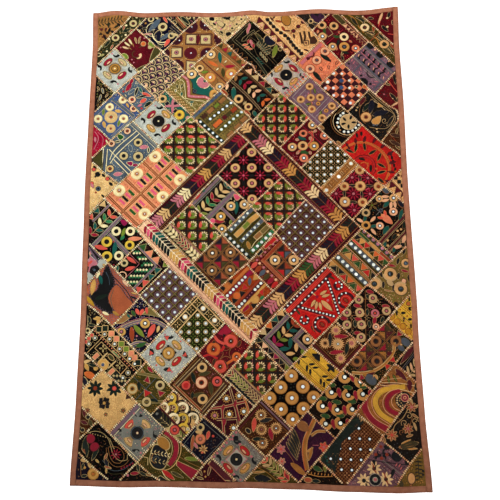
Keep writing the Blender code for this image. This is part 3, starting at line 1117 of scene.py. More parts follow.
    def heart(self, r: float, hue: str) -> None:
        """A plump petal with a blunt head and a point, which looks along its angle.

        Args:
            r: Its radius.
            hue: A dye's name.
        """
        x, y = around(14).T
        shape = np.stack([r * x * (1 + 0.25 * x), 0.72 * r * y * (1 - 0.35 * x)], axis=-1)
        self.filled(shape, hue, rise=1.1)

    def blob(self, long: float, wide: float, hue: str) -> None:
        """A filled oval."""
        self.filled(around(16) * (long / 2, wide / 2), hue, rise=0.9)

    def comma(self, size: float, hue: str) -> None:
        """A curled drop: a tapering band along two thirds of a circle.

        Args:
            size: The circle's width.
            hue: A dye's name.
        """
        share = np.linspace(0.0, 1.0, 8)
        path = np.stack([np.cos(share * 2.6), np.sin(share * 2.6)], axis=-1)
        half = size * 0.22 * (1 - share) ** 0.7 + 0.3
        self.stroke(path * size * (0.5 - 0.12 * share[:, None]), half, hue, 0.9, rimmed=True)

    def box(self, long: float, wide: float, hue: str) -> None:
        """A filled oblong."""
        corners = [[-1, -1], [0, -1], [1, -1], [1, 0], [1, 1], [0, 1], [-1, 1], [-1, 0]]
        self.filled(np.array(corners) * (long / 2, wide / 2), hue)

    def tri(self, long: float, wide: float, hue: str) -> None:
        """A filled triangle that points along its angle."""
        tip, foot, side = 0.6 * long, -0.4 * long, wide / 2
        self.filled([[tip, 0], [foot, side], [foot, 0], [foot, -side]], hue)

    def arc(self, wide: float, r: float, spread: float, hue: str) -> None:
        """A band on part of a circle about its place: its middle looks along its angle.

        Args:
            wide: The band's width.
            r: The circle's radius.
            spread: How many degrees it covers.
            hue: A dye's name.
        """
        turn = np.radians(spread / 2) * np.linspace(-1, 1, max(5, int(np.radians(spread) * r / 4.0)))
        path = r * np.stack([np.cos(turn), np.sin(turn)], axis=-1)
        self.stroke(path, wide / 2, hue, 0.9, chain=wide < 3, fine=wide > 5, slant=0.0, rimmed=True)

    def curl(self, wide: float, r: float, turns: float, hue: str) -> None:
        """A spiral line, from its outer end inwards.

        Args:
            wide: The line's width.
            r: The radius at its outer end.
            turns: How many turns it makes.
            hue: A dye's name.
        """
        share = np.linspace(0.0, 1.0, max(8, int(abs(turns) * 14)))
        turn = share * turns * 2 * np.pi
        path = r * (1 - 0.85 * share[:, None]) * np.stack([np.cos(turn), np.sin(turn)], axis=-1)
        self.stroke(path, wide / 2, hue, 0.9, chain=True, rimmed=True)

    def scallop(self, r: float, *hues: str) -> None:
        """A half round: bands from the outer hue inwards, then a petal or a mirror.

        Args:
            r: Its radius.
            hues: The bands' dyes, then the petal's, or glass.
        """
        wide = 0.72 * r / max(len(hues) - 1, 1)
        for k, hue in enumerate(hues[:-1]):
            self.arc(wide, r - wide * (k + 0.5), 190, hue)
        with self.posed(0.12 * r):
            if hues[-1] == "glass":
                self.glass(0.22 * r, "bare")
            else:
                self.heart(0.24 * r, hues[-1])

    def shell(self, r: float, hue: str, one: str, other: str) -> None:
        """A crescent round a mirror that looks along its angle, with a leaf on either side behind it.

        Args:
            r: The whole motif's radius.
            hue: The crescent's dye.
            one: The dye of the leaf on one side.
            other: The dye of the leaf on the other side.
        """
        for side, dye in ((-1, one), (1, other)):
            with self.posed(-0.75 * r, side * 0.8 * r, side * 55):
                self.leaf(1.45 * r, 0.75 * r, dye)
        self.arc(0.5 * r, 0.68 * r, 250, hue)
        self.arc(1.6, 0.72 * r, 240, "honey")
        self.glass(0.27 * r, "soot", "white")

    def wheel(self, hub: str, high: str, flat: str) -> None:
        """A disc between pairs of mounds, with dark commas and knots in the corners.

        Args:
            hub: The disc's dye.
            high: The dye of the two mounds across its angle.
            flat: The dye of the two mounds along its angle.
        """
        self.dot(19, hub)
        with self.posed(lift=0.9):
            self.rings(17, hub, "black", hub, "cream")
        self.stroke(around(20) * 22.5, 0.9, "ochre", 0.6, closed=True, chain=True)
        for side in (0, 180):
            with self.posed(angle=side):
                for (x, y, angle), hue in zip(self.MOUNDS, (flat, high)):
                    with self.posed(x, y, angle):
                        self.blob(36, 18, hue)
                        self.stroke(around(14) * (19.5, 10.5), 0.9, "sand", 0.5, closed=True, chain=True)
                    with self.posed(x * 0.9, y * 0.9, angle, 0.9):
                        self.blob(17, 5.5, "peach")
                for x, y, angle in self.COMMAS:
                    with self.posed(x, y, angle):
                        self.comma(21, "black")
                with self.posed(47, 31):
                    self.dot(3.4, "rose")

    # Motifs that follow their places as a path

    def line(self, path: np.ndarray, wide: float, hue: str) -> None:
        """A chain-stitched line."""
        self.stroke(flowing(path, 5.0), wide / 2, hue, 0.8, chain=True, rimmed=True)

    def band(self, path: np.ndarray, wide: float, hue: str) -> None:
        """A satin band."""
        self.stroke(flowing(path, 5.0), wide / 2, hue, 0.8, fine=True, slant=0.1, rimmed=True)

    def wave(self, path: np.ndarray, wide: float, high: float, count: float, hue: str) -> None:
        """A line that swings from side to side along its course.

        Args:
            path: Its two ends.
            wide: The line's width.
            high: How far it swings.
            count: How often it swings to both sides.
            hue: A dye's name.
        """
        share = np.linspace(0.0, 1.0, int(count * 8) + 1)[:, None]
        run = path[-1] - path[0]
        aside = np.array([-run[1], run[0]]) / np.hypot(*run)
        self.stroke(path[0] + share * run + high * np.sin(share * count * 2 * np.pi) * aside, wide / 2, hue,
                    0.8, chain=True, rimmed=True)

    def zigzag(self, path: np.ndarray, wide: float, high: float, count: float, hue: str) -> None:
        """A line that turns sharply from side to side along its course.

        Args:
            path: Its two ends.
            wide: The line's width.
            high: How far it swings.
            count: How many teeth it has.
            hue: A dye's name.
        """
        share = np.linspace(0.0, 1.0, int(count) * 2 + 1)[:, None]
        run = path[-1] - path[0]
        aside = np.array([-run[1], run[0]]) / np.hypot(*run)
        swing = high * np.where(np.arange(len(share)) % 2, 1.0, -1.0)[:, None]
        self.stroke(resampled(path[0] + share * run + swing * aside, 6.0), wide / 2, hue, 0.8, chain=True)

    def plate(self, path: np.ndarray, hue: str) -> None:
        """A filled shape with straight sides."""
        self.filled(resampled(np.vstack([path, path[:1]]), 8.0)[:-1], hue, path.mean(axis=0))

    def shape(self, path: np.ndarray, hue: str) -> None:
        """A filled shape with a smooth outline through its places.

        Args:
            path: The places in order.
            hue: A dye's name.
        """
        share = np.arange(4)[None, :, None] / 4
        before, after, next_one = (np.roll(path, k, axis=0)[:, None, :] for k in (1, -1, -2))
        here = path[:, None, :]
        second = 2 * before - 5 * here + 4 * after - next_one
        third = 3 * here - 3 * after + next_one - before
        curve = here + 0.5 * share * (after - before + share * (second + share * third))
        self.filled(curve.reshape(-1, 2), hue, path.mean(axis=0))

    def comb(self, path: np.ndarray, reach: float, each: float, *hues: str) -> None:
        """A stem with short bars in pairs that lean back from it, a few together of each hue.

        Args:
            path: The stem's two ends.
            reach: How far the bars reach aside.
            each: How many pairs there are of each hue.
            hues: The bars' dyes in order.
        """
        run = path[-1] - path[0]
        count = int(len(hues) * each)
        wide = np.hypot(*run) / count
        with self.posed(*path[0], np.degrees(np.arctan2(run[1], run[0]))):
            for k in range(count):
                with self.posed((k + 0.5) * wide):
                    for side in (-1, 1):
                        spine = np.array([[0.55 * wide, side * 0.8], [0.05 * wide, side * 0.25 * reach],
                                          [-0.4 * wide, side * 0.6 * reach], [-0.6 * wide, side * reach]])
                        half = np.array([0.3, 0.4, 0.4, 0.34]) * wide
                        self.stroke(spine, half, hues[int(k // each)], 1.0, slant=0.0)
        with self.posed(lift=0.4):
            self.line(path, 1.6, "tan")

    # Patterns that fill the patch, or the part of it between two places

    def fill_box(self, part: np.ndarray) -> tuple[float, float, float, float]:
        """The least and greatest u and v that a pattern covers."""
        return (*np.sort(part[:, 0]), *np.sort(part[:, 1])) if len(part) else self.cell.box()

    def runs(self, path: np.ndarray, wide: float, hue: str) -> None:
        """Draws those stretches of a path that lie inside the patch.

        Args:
            path: Places at short steps.
            wide: The line's width.
            hue: A dye's name.
        """
        kept = self.cell.within(path, 0.5)
        edges = np.flatnonzero(np.diff(np.concatenate([[False], kept, [False]]).astype(int)))
        for start, end in zip(edges[::2], edges[1::2]):
            if end - start > 2:
                self.stroke(path[start:end], wide / 2, hue, 0.7, chain=wide < 4, fine=wide > 4, rimmed=True)

    def netting(self, part: np.ndarray, pitch: float, wide: float, hue: str, angle: float = 45.0) -> None:
        """Two sets of even lines that cross, one at an angle and one at right angles to it.

        Args:
            part: A place where two lines cross, or no row for the patch's middle.
            pitch: The distance from line to line.
            wide: A line's width.
            hue: A dye's name.
            angle: The first set's angle, in degrees.
        """
        u0, u1, v0, v1 = self.cell.box()
        middle = part[0] if len(part) else np.array([(u0 + u1) / 2, (v0 + v1) / 2])
        reach = np.hypot(u1 - u0, v1 - v0)
        for turn in (angle, angle + 90.0):
            for shift in np.arange(-np.floor(reach / pitch), np.floor(reach / pitch) + 1) * pitch:
                ends = turned([[-reach, shift], [reach, shift]], turn) + middle
                self.runs(resampled(ends, 4.0), wide, hue)

    def tulips(self, part: np.ndarray, pitch: float, angle: float, *hues: str) -> None:
        """A diamond net with a small tulip in each mesh: two sepals, a dark eye and a beaded fringe.

        Args:
            part: One tulip's place, or no row for the patch's middle.
            pitch: The distance from tulip to tulip in a row.
            angle: Which way they look, in degrees.
            hues: The dyes of the sepals, fringe, eye and net, as far as they are not the usual ones.
        """
        sepal, other, fringe, eye, net = (*hues, *("coral", "leaf", "cream", "olive", "black")[len(hues):])
        u0, u1, v0, v1 = self.cell.box()
        middle = part[0] if len(part) else np.array([(u0 + u1) / 2, (v0 + v1) / 2])
        half = pitch / 2
        self.netting((middle + (half, 0.0))[None], pitch * ROOT_HALF, 4.6, net)
        count = int(max(u1 - u0, v1 - v0) / pitch) + 2
        for shift in ((0.0, 0.0), (half, half)):
            for j in range(-count, count + 1):
                for k in range(-count, count + 1):
                    place = middle + (k * pitch + shift[0], j * pitch + shift[1])
                    if not self.cell.within(place, -6.0):
                        continue
                    with self.posed(*place, angle), self.posed(0.08 * pitch):
                        for side, hue in ((-1, sepal), (1, other)):
                            with self.posed(-0.15 * pitch, side * 0.15 * pitch, side * 38):
                                self.leaf(0.46 * pitch, 0.22 * pitch, hue)
                        self.dot(0.115 * pitch, eye)
                        for step in np.linspace(-105, 105, 7):
                            with self.posed(angle=step), self.posed(0.2 * pitch):
                                self.leaf(0.16 * pitch, 0.1 * pitch, fringe)

    def starnet(self, part: np.ndarray, pitch: float, hue: str, core: str, rim: str, ray: str,
                heart: str) -> None:
        """Roundels and stars by turns on a square net, with dark leaves between them.

        Args:
            part: One roundel's place.
            pitch: The distance from each to the next.
            hue: A roundel's ring.
            core: A roundel's middle.
            rim: A roundel's lines.
            ray: A star's rays.
            heart: A star's middle.
        """
        reach = int(160 / pitch)
        for j in range(-reach, reach + 1):
            for k in range(-reach, reach + 1):
                place = part[0] + (k * pitch, j * pitch)
                if not self.cell.within(place, -0.5 * pitch):
                    continue
                with self.posed(*place):
                    if (j + k) % 2:
                        self.star(0.56 * pitch, 8, ray, heart)
                    else:
                        self.eye(0.43 * pitch, hue, core, rim)
                with self.posed(*(place + pitch / 2), 45 if (j + k) % 2 else -45):
                    self.leaf(0.62 * pitch, 0.24 * pitch, "black")

    def quarters(self, part: np.ndarray, pitch: float, hue: str, core: str, *sides: str) -> None:
        """Squares by turns: a dark one with a roundel, and one of four triangles whose tips meet.

        Args:
            part: Two corners of the part to fill, or no row for the whole patch.
            pitch: About how long a square's side is.
            hue: A roundel's ring.
            core: A roundel's middle.
            sides: The four triangles' dyes.
        """
        u0, u1, v0, v1 = self.fill_box(part)
        columns, rows = round((u1 - u0) / pitch), round((v1 - v0) / pitch)
        across, down = (u1 - u0) / columns, (v1 - v0) / rows
        for j in range(rows):
            for k in range(columns):
                with self.posed(u0 + (k + 0.5) * across, v0 + (j + 0.5) * down):
                    self.box(across - 1, down - 1, "tan")
                    with self.posed(lift=0.6):
                        if (j + k) % 2:
                            self.box(across - 5, down - 5, "black")
                            with self.posed(lift=0.5):
                                self.eye(0.43 * pitch, hue, core, "brown")
                            continue
                        self.box(across - 5, down - 5, "brown")
                        for angle, side in zip((-90, 90, 180, 0), sides):
                            with self.posed(angle=angle), self.posed(0.27 * pitch, 0, 180, 0.5):
                                self.tri(0.36 * pitch, 0.72 * pitch, side)
                        self.dot(2.4, "pale")

    def mirror_grid(self, part: np.ndarray, pitch: float, r: float, rim: str, net: str,
                    order: str = Crosses.BETWEEN.value) -> None:
        """Rows and columns of rimmed mirrors, with crosses between them or by turns with them.

        Args:
            part: Two corners of the part to fill, or no row for the whole patch.
            pitch: About how far a mirror is from the next.
            r: The radius to the middle of a mirror's stitches.
            rim: The stitches' dye.
            net: The crosses' dye.
            order: Where the crosses are.
        """
        u0, u1, v0, v1 = self.fill_box(part)
        columns, rows = round((u1 - u0) / pitch), round((v1 - v0) / pitch)
        across, down = (u1 - u0) / columns, (v1 - v0) / rows
        for j in range(rows + 1):
            for k in range(columns + 1):
                place = np.array([u0 + (k + 0.5) * across, v0 + (j + 0.5) * down])
                cross = Crosses(order) is Crosses.TURNS and (j + k) % 2
                if self.cell.within(place, 0.2 * pitch) and j < rows and k < columns:
                    with self.posed(*(place + self.random.normal(0, 0.4, 2)), 45.0):
                        if cross:
                            self.star(0.55 * pitch, 4, net)
                            continue
                        self.stroke(around(14) * 1.02 * r, 0.34 * r, rim, 0.7, closed=True, slant=0.0)
                        self.glass(0.74 * r, "soot")
                        if pitch > 20:
                            self.stroke(around(18) * 0.38 * pitch, 0.9, rim, 0.5, closed=True, chain=True)
                with self.posed(u0 + k * across, v0 + j * down):
                    if Crosses(order) is Crosses.BETWEEN and self.cell.within(self.at, 1.0):
                        self.star(0.3 * pitch, 4, net)

    def checker(self, part: np.ndarray, pitch: float, *hues: str) -> None:
        """Squares in a chequer, or in stripes of more hues.

        Args:
            part: Two corners of the part to fill, or no row for the whole patch.
            pitch: A square's side.
            hues: The squares' dyes by turns, where none leaves a square free.
        """
        u0, u1, v0, v1 = self.fill_box(part)
        for j, v in enumerate(np.arange(v0 + pitch / 2, v1, pitch)):
            for k, u in enumerate(np.arange(u0 + pitch / 2, u1, pitch)):
                hue = hues[(j + k) % len(hues)]
                if hue != "none" and self.cell.within(np.array([u, v]), 1.0):
                    with self.posed(u, v):
                        self.box(0.94 * pitch, 0.94 * pitch, hue)

    def scales(self, part: np.ndarray, r: float, facing: float, *hues: str) -> None:
        """Half rounds in staggered rows, as scales lie.

        Args:
            part: Two corners of the part to fill, or no row for the whole patch.
            r: A half round's radius.
            facing: Which way they look, in degrees.
            hues: The bands' dyes, then the petal's, or glass.
        """
        u0, u1, v0, v1 = self.fill_box(part)
        middle, count = np.array([(u0 + u1) / 2, (v0 + v1) / 2]), int(max(u1 - u0, v1 - v0) / r) + 1
        for j in range(-count, count + 1):
            for k in range(-count, count + 1):
                place = middle + turned((j * 1.15 * r, (k + 0.5 * (j % 2)) * 2.05 * r), facing)
                inside = u0 - r < place[0] < u1 + r and v0 - r < place[1] < v1 + r
                if inside and self.cell.within(place, -0.6 * r):
                    with self.posed(*place, facing):
                        self.scallop(r, *hues)

    def litter(self, part: np.ndarray, kind: str, pitch: float, size: float, *hues: str) -> None:
        """Knots, ticks or sprigs scattered in what the others leave free, on a jittered net of places.

        Args:
            part: Two corners of the part to fill, or no row for the whole patch.
            kind: Which small motif.
            pitch: About how far each is from the next.
            size: A motif's length.
            hues: The dyes to draw from.
        """
        u0, u1, v0, v1 = self.fill_box(part)
        u, v = np.meshgrid(np.arange(u0, u1, pitch), np.arange(v0, v1, pitch * 0.87))
        u = u + pitch / 2 * (np.arange(u.shape[0]) % 2)[:, None]
        places = np.stack([u.ravel(), v.ravel()], axis=-1)
        places = places + self.random.normal(0, 0.12 * pitch, places.shape)
        places = places[self.cell.within(places, 0.4 * size + 2.5)]
        taken = np.concatenate([stuff.joined()[0][:, :2] for stuff in (self.threads, self.mirrors)])
        clear = 0.5 * size + 1.3
        for place in places:
            if len(taken) and (np.abs(taken - place).max(axis=1) < clear).any():
                continue
            hue = hues[self.random.integers(len(hues))]
            with self.posed(*place, self.random.uniform(0, 360)):
                if Litter(kind) is Litter.KNOTS:
                    self.dot(size / 2, hue)
                elif Litter(kind) is Litter.TICKS:
                    self.leaf(size, 0.42 * size, hue)
                else:
                    self.pair(0.62 * size, 0.3 * size, 40, hue)
                    self.dot(0.15 * size, hues[0])

    def cut(self, stuff: Stuff) -> tuple[np.ndarray, np.ndarray, np.ndarray, np.ndarray]:
        """Cuts the work off at the patch's sides and at the border, as a cut-out piece is.

        Args:
            stuff: What was drawn.

        Returns:
            Points, triangles, colours and lays. A triangle whose middle is outside is dropped, and points
            outside are drawn in to the side.
        """
        points, faces, colours, lays = stuff.joined()
        if not len(faces):
            return points, faces, colours, lays
        middle = points[faces].mean(axis=1)[:, :2]
        faces = faces[self.cell.within(middle, self.TRIM)]
        flat = self.cell.held_in(points[:, :2], self.TRIM)
        flat = to_bias(CLOTH.held_in(to_cloth(flat), CLOTH.border - self.BORDER_LAP))
        points = np.column_stack([flat, points[:, 2]])
        faces = faces[np.abs(twice_area(points, faces)) > self.SLIVER]
        used, faces = np.unique(faces, return_inverse=True)
        return points[used], faces.reshape(-1, 3), colours[used], lays[used]


class Value:
    """A number, colour or vector in a shader, on which Python's operators add the right nodes."""

    def __init__(self, sheet: "Shader", socket: Any) -> None:
        """Wraps an output socket of a shader's node."""
        self.sheet = sheet
        self.socket = socket

    def math(self, operation: str, *others: Any) -> "Value":
        """Adds a Math node whose first value is this one."""
        values = {0: self, **{k + 1: other for k, other in enumerate(others)}}
        return self.sheet.node("ShaderNodeMath", {"operation": operation}, values)

    def __add__(self, other: Any) -> "Value":
        """Adds a number or value."""
        return self.math("ADD", other)

    def __mul__(self, other: Any) -> "Value":
        """Multiplies by a number or value."""
        return self.math("MULTIPLY", other)

    def __rsub__(self, other: Any) -> "Value":
        """Takes this value away from a number."""
        return self.sheet.node("ShaderNodeMath", {"operation": "SUBTRACT"}, {0: other, 1: self})

    __radd__ = __add__
    __rmul__ = __mul__

    def between(self, low: float, high: float) -> "Value":
        """Where this value stands between two others, smoothly, from 0 to 1.

        Args:
            low: Where the result is 0.
            high: Where the result is 1.

        Returns:
            The share.
        """
        return self.sheet.node(
            "ShaderNodeMapRange",
            {"interpolation_type": "SMOOTHSTEP"},
            {"Value": self, "From Min": low, "From Max": high},
        )

    def part(self, name: str) -> "Value":
        """Another output of the node that this value comes from."""
        return Value(self.sheet, self.socket.node.outputs[name])


class Shader:
    """One material's nodes."""

    def __init__(self, name: str) -> None:
        """Makes a material with a Principled shader.

        Args:
            name: The material's name.
        """
        self.material = bpy.data.materials.new(name)
        self.material.use_nodes = True
        self.tree = self.material.node_tree
        self.surface = self.tree.nodes["Principled BSDF"]

    def node(self, kind: str, settings: dict[str, Any] | None = None,
             values: dict[Any, Any] | None = None, out: Any = None) -> Value:
        """Adds a node.

        Args:
            kind: The node's type.
            settings: Its own properties, which are set first.
            values: What goes into its sockets, by name or number: a value of another node, or a constant.
            out: The output to return, by name or number, or None for the first that is enabled.

        Returns:
            The node's output.
        """
        made = self.tree.nodes.new(kind)
        for name, setting in (settings or {}).items():
            setattr(made, name, setting)
        for name, value in (values or {}).items():
            self.feed(made.inputs[name], value)
        if out is None:
            return Value(self, next(s for s in made.outputs if s.enabled))
        return Value(self, made.outputs[out])

    def feed(self, socket: Any, value: Any) -> None:
        """Links a value to a socket, or sets the socket's constant.

        Args:
            socket: The socket.
            value: A value of another node, or a constant.
        """
        if isinstance(value, Value):
            self.tree.links.new(value.socket, socket)
        else:
            socket.default_value = value

    def place(self) -> Value:
        """Where a point is on the piece, in metres."""
        return self.node("ShaderNodeTexCoord", out="Object")

    def attribute(self, name: str, out: str = "Fac") -> Value:
        """A piece's attribute."""
        return self.node("ShaderNodeAttribute", {"attribute_name": name}, out=out)

    def noise(self, scale: float, detail: float = 2.0, stretch: tuple | None = None,
              at: Value | None = None) -> Value:
        """Soft noise in metres: `scale` is its number of blots to a metre.

        Args:
            scale: Blots to a metre.
            detail: How many finer layers it has.
            stretch: Scales along x, y and z, or None.
            at: Where to read it, or None for the place on the piece.

        Returns:
            A number near a half.
        """
        at = at or self.place()
        if stretch:
            at = self.node("ShaderNodeMapping", values={"Vector": at, "Scale": stretch})
        return self.node("ShaderNodeTexNoise", values={"Vector": at, "Scale": scale, "Detail": detail})

    def mix(self, share: Any, first: Any, second: Any, way: str = "MIX") -> Value:
        """Mixes two colours."""
        settings = {"data_type": "RGBA", "blend_type": way}
        return self.node("ShaderNodeMix", settings, {0: share, 6: first, 7: second}, out=2)

    def shaded(self, colour: Value, amount: Value) -> Value:
        """Scales a colour by a number."""
        return self.node("ShaderNodeVectorMath", {"operation": "SCALE"}, {0: colour, "Scale": amount})

    def darkened_right_and_low(self, colour: Any) -> Value:
        """A colour, made darker and warmer towards the cloth's right side and at its foot.

        Args:
            colour: The colour where nothing darkens it.

        Returns:
            The darkened colour.
        """
        # Darker and warmer towards the cloth's right side and at its foot, by place on the piece alone
        unchanged, aside, low = (1.0, 1.0, 1.0, 1.0), (0.85, 0.67, 0.62, 1.0), (0.76, 0.68, 0.6, 1.0)
        across = self.node("ShaderNodeSeparateXYZ", values={0: self.place()}, out="X")
        side = self.mix(across.between(-0.36, 0.3), unchanged, aside)
        foot = self.mix(across.part("Z").between(-1.44, -1.02), low, unchanged)
        return self.mix(1.0, self.mix(1.0, colour, side, "MULTIPLY"), foot, "MULTIPLY")

    def bump(self, height: Value, strength: float, depth: float) -> Value:
        """A normal from a height that runs from 0 to 1, over a depth in metres."""
        return self.node("ShaderNodeBump", values={"Height": height, "Strength": strength, "Distance": depth})

    def finish(self, **sockets: Any) -> bpy.types.Material:
        """Sets the Principled shader's sockets, by names with _ for spaces, and returns the material.

        Args:
            sockets: What goes into each, a value or a constant.

        Returns:
            The material.
        """
        for name, value in sockets.items():
            self.feed(self.surface.inputs[name.replace("_", " ")], value)
        return self.material


@dataclass(frozen=True)
class SilkFinish:
    """Floss in satin and chain stitch: its dye is the mesh's, and its threads run by the mesh's lay."""

    name: str = "silk_floss"
    thread: float = 0.85
    roughness: float = 0.55
    gloss: float = 0.18

    def make(self) -> bpy.types.Material:
        """Builds the nodes.

        Returns:
            The material.
        """
        shader = Shader(self.name)
        lay = shader.attribute("lay")
        dye = shader.attribute("dye", out="Color")
        wander = shader.noise(260.0, 1.0) * 0.5
        strand = ((lay * (1.0 / self.thread) + wander) * (2 * np.pi)).math("SINE") * 0.5 + 0.5
        worn = shader.noise(42.0, 3.0).between(0.25, 0.8)
        speck = shader.noise(420.0, 2.0).between(0.3, 0.75)
        faded = shader.noise(5.0, 2.0).between(0.3, 0.75)
        # The strand term is painted shade between the threads, lighter on their crowns; worn, speck and faded
        # are random tone
        tone = (strand * 0.3 + 0.74) * (worn * 0.26 + 0.82) * (speck * 0.24 + 0.86) * (faded * 0.12 + 0.95)
        normal = shader.bump(strand * 0.8 + speck * 0.2, 0.55, 0.0004)
        return shader.finish(
            Base_Color=shader.darkened_right_and_low(shader.shaded(dye, tone)),
            Roughness=(1.0 - strand) * 0.14 + self.roughness,
            Specular_IOR_Level=self.gloss,
            Normal=normal,
        )


@dataclass(frozen=True)
class MirrorFinish:
    """Old mirror glass: bright, slightly clouded and a little uneven."""

    name: str = "mirror_glass"

    def make(self) -> bpy.types.Material:
        """Builds the nodes.

        Returns:
            The material.
        """
        shader = Shader(self.name)
        cloud = shader.noise(900.0, 3.0).between(0.35, 0.75)
        tint = shader.shaded(shader.attribute("dye", out="Color"), cloud * 0.25 + 0.8)
        normal = shader.bump(shader.noise(240.0, 1.0), 0.25, 0.0006)
        return shader.finish(Base_Color=tint, Metallic=0.4, Roughness=cloud * 0.12 + 0.1, Normal=normal)


@dataclass(frozen=True)
class GroundFinish:
    """Old cotton and silk grounds: a plain weave, rubbed and stained, with rows of running stitch."""

    name: str = "patch_grounds"
    weave: float = 0.9
    stitch_rows: float = 3.6

    def make(self) -> bpy.types.Material:
        """Builds the nodes.

        Returns:
            The material.
        """
        shader = Shader(self.name)
        dye = shader.attribute("dye", out="Color")
        lay, other = shader.attribute("lay"), shader.attribute("cross")
        turn = 2 * np.pi / self.weave
        warp = (lay * turn).math("SINE") * 0.5 + 0.5
        weft = (other * turn).math("SINE") * 0.5 + 0.5
        cloth = warp.math("MAXIMUM", weft)
        wander = shader.noise(90.0, 2.0) * 6.0
        rows = (other * (2 * np.pi / self.stitch_rows) + wander).math("SINE") * 0.5 + 0.5
        rubbed = shader.noise(30.0, 4.0).between(0.3, 0.75)
        speck = shader.noise(330.0, 3.0).between(0.35, 0.7)
        stain = shader.noise(7.0, 3.0).between(0.35, 0.72)
        tone = (cloth * 0.2 + 0.84) * (rows * 0.14 + 0.9) * (rubbed * 0.45 + 0.72) * (speck * 0.5 + 0.72)
        stained = shader.mix(stain * 0.03, dye, (0.24, 0.16, 0.09, 1.0))
        normal = shader.bump(cloth * 0.4 + rows * 0.4 + speck * 0.3, 0.6, 0.0004)
        return shader.finish(
            Base_Color=shader.darkened_right_and_low(shader.shaded(stained, tone)),
            Roughness=rubbed * 0.12 + 0.78,
            Specular_IOR_Level=0.05,
            Normal=normal,
        )


@dataclass(frozen=True)
class CottonFinish:
    """Plain woven cotton: threads over and under, slubs and soft wear, and darker at the cloth's foot."""

    name: str
    light: tuple[float, float, float]
    dark: tuple[float, float, float]
    weave: float = 1.1
    mottle: float = 60.0

    def make(self) -> bpy.types.Material:
        """Builds the nodes.

        Returns:
            The material.
        """
        shader = Shader(self.name)
        turn = 2000 * np.pi / self.weave
        spot = shader.node("ShaderNodeSeparateXYZ", values={0: shader.place()}, out="X")
        warp = (spot * turn).math("SINE") * 0.5 + 0.5
        weft = (spot.part("Z") * turn).math("SINE") * 0.5 + 0.5
        cloth = warp.math("MAXIMUM", weft)
        across = shader.noise(120.0, 2.0, (1.0, 1.0, 9.0)) * 0.5
        slub = across + shader.noise(120.0, 2.0, (9.0, 1.0, 1.0)) * 0.5
        worn = shader.noise(self.mottle, 4.0).between(0.3, 0.75)
        broad = shader.noise(6.0, 2.0).between(0.3, 0.7)
        share = worn * 0.5 + broad * 0.25 + shader.attribute("worn") * 0.4
        colour = shader.mix(share, (*self.dark, 1.0), (*self.light, 1.0))
        tone = (cloth * 0.14 + 0.9) * (slub.between(0.3, 0.7) * 0.16 + 0.9)
        foot = spot.part("Z").between(-1.5, -1.2) * 0.35 + 0.65
        normal = shader.bump(cloth * 0.5 + slub, 0.5, 0.0004)
        return shader.finish(
            Base_Color=shader.shaded(colour, tone * foot),
            Roughness=worn * 0.1 + 0.8,
            Specular_IOR_Level=0.15,
            Normal=normal,
        )


@dataclass(frozen=True)
class FloorFinish:
    """The studio's pale floor."""

    name: str = "studio_floor"

    def make(self) -> bpy.types.Material:
        """Builds the nodes: white, and lit from within behind the cloth, so that no line shows there.

        Returns:
            The material.
        """
        shader = Shader(self.name)
        place = shader.node("ShaderNodeSeparateXYZ", values={0: shader.place()}, out="Y")
        behind = place.between(-0.6, 0.6)
        glow = shader.mix(behind, (0.0, 0.0, 0.0, 1.0), (1.0, 1.0, 1.0, 1.0))
        return shader.finish(
            Base_Color=(0.9, 0.9, 0.9, 1.0),
            Roughness=0.9,
            Emission_Color=glow,
            Emission_Strength=0.8,
        )


UV_MARGIN = 0.001


def new_piece(name: str, points: np.ndarray, faces: np.ndarray, flat: np.ndarray,
              attributes: dict[str, np.ndarray], materials: Sequence[bpy.types.Material],
              slots: np.ndarray | None = None) -> bpy.types.Object:
    """Makes an object from arrays.

    Args:
        name: The piece's name.
        points: World points, in metres.
        faces: Rows of three points.
        flat: Where each point is on the flat cloth, for the UV map, or each corner where so many are given.
        attributes: Values by name: a row a point, or a row a corner where so many are given.
        materials: The finishes.
        slots: Each face's finish, or None for the first.

    Returns:
        The linked object.
    """
    mesh = bpy.data.meshes.new(name)
    mesh.vertices.add(len(points))
    mesh.vertices.foreach_set("co", points.astype(np.float32).ravel())
    mesh.loops.add(faces.size)
    mesh.loops.foreach_set("vertex_index", faces.astype(np.int32).ravel())
    mesh.polygons.add(len(faces))
    mesh.polygons.foreach_set("loop_start", np.arange(0, faces.size, 3, dtype=np.int32))
    mesh.polygons.foreach_set("loop_total", np.full(len(faces), 3, dtype=np.int32))
    for finish in materials:
        mesh.materials.append(finish)
    if slots is not None:
        mesh.polygons.foreach_set("material_index", slots.astype(np.int32))
    for word, values in attributes.items():
        domain = "CORNER" if len(values) == faces.size else "POINT"
        if values.ndim == 2:
            made = mesh.attributes.new(word, "FLOAT_COLOR", domain)
            opaque = np.column_stack([values, np.ones(len(values))])
            made.data.foreach_set("color", opaque.astype(np.float32).ravel())
        else:
            made = mesh.attributes.new(word, "FLOAT", domain)
            made.data.foreach_set("value", values.astype(np.float32))
    layer = mesh.uv_layers.new(name="OFBake")
    low, high = flat.min(axis=0), flat.max(axis=0)
    spread = (flat - low) / (high - low) * (1 - 2 * UV_MARGIN) + UV_MARGIN
    spread = spread if len(spread) == faces.size else spread[faces.ravel()]
    layer.uv.foreach_set("vector", spread.astype(np.float32).ravel())
    mesh.update(calc_edges=True)
    mesh.validate()
    mesh.shade_smooth()
    piece = bpy.data.objects.new(name, mesh)
    bpy.context.scene.collection.objects.link(piece)
    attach(piece, "root")
    return piece


def settle(points: np.ndarray) -> tuple[np.ndarray, np.ndarray]:
    """Lays bias-frame points with heights on the front of the cloth.

    Args:
        points: Rows of u, v and the height over the front.

    Returns:
        World points in metres, and places in the cloth frame.
    """
    flat = to_cloth(points[:, :2])
    return CLOTH.world(flat[:, 0], flat[:, 1], RELIEF.height(flat) + points[:, 2]), flat


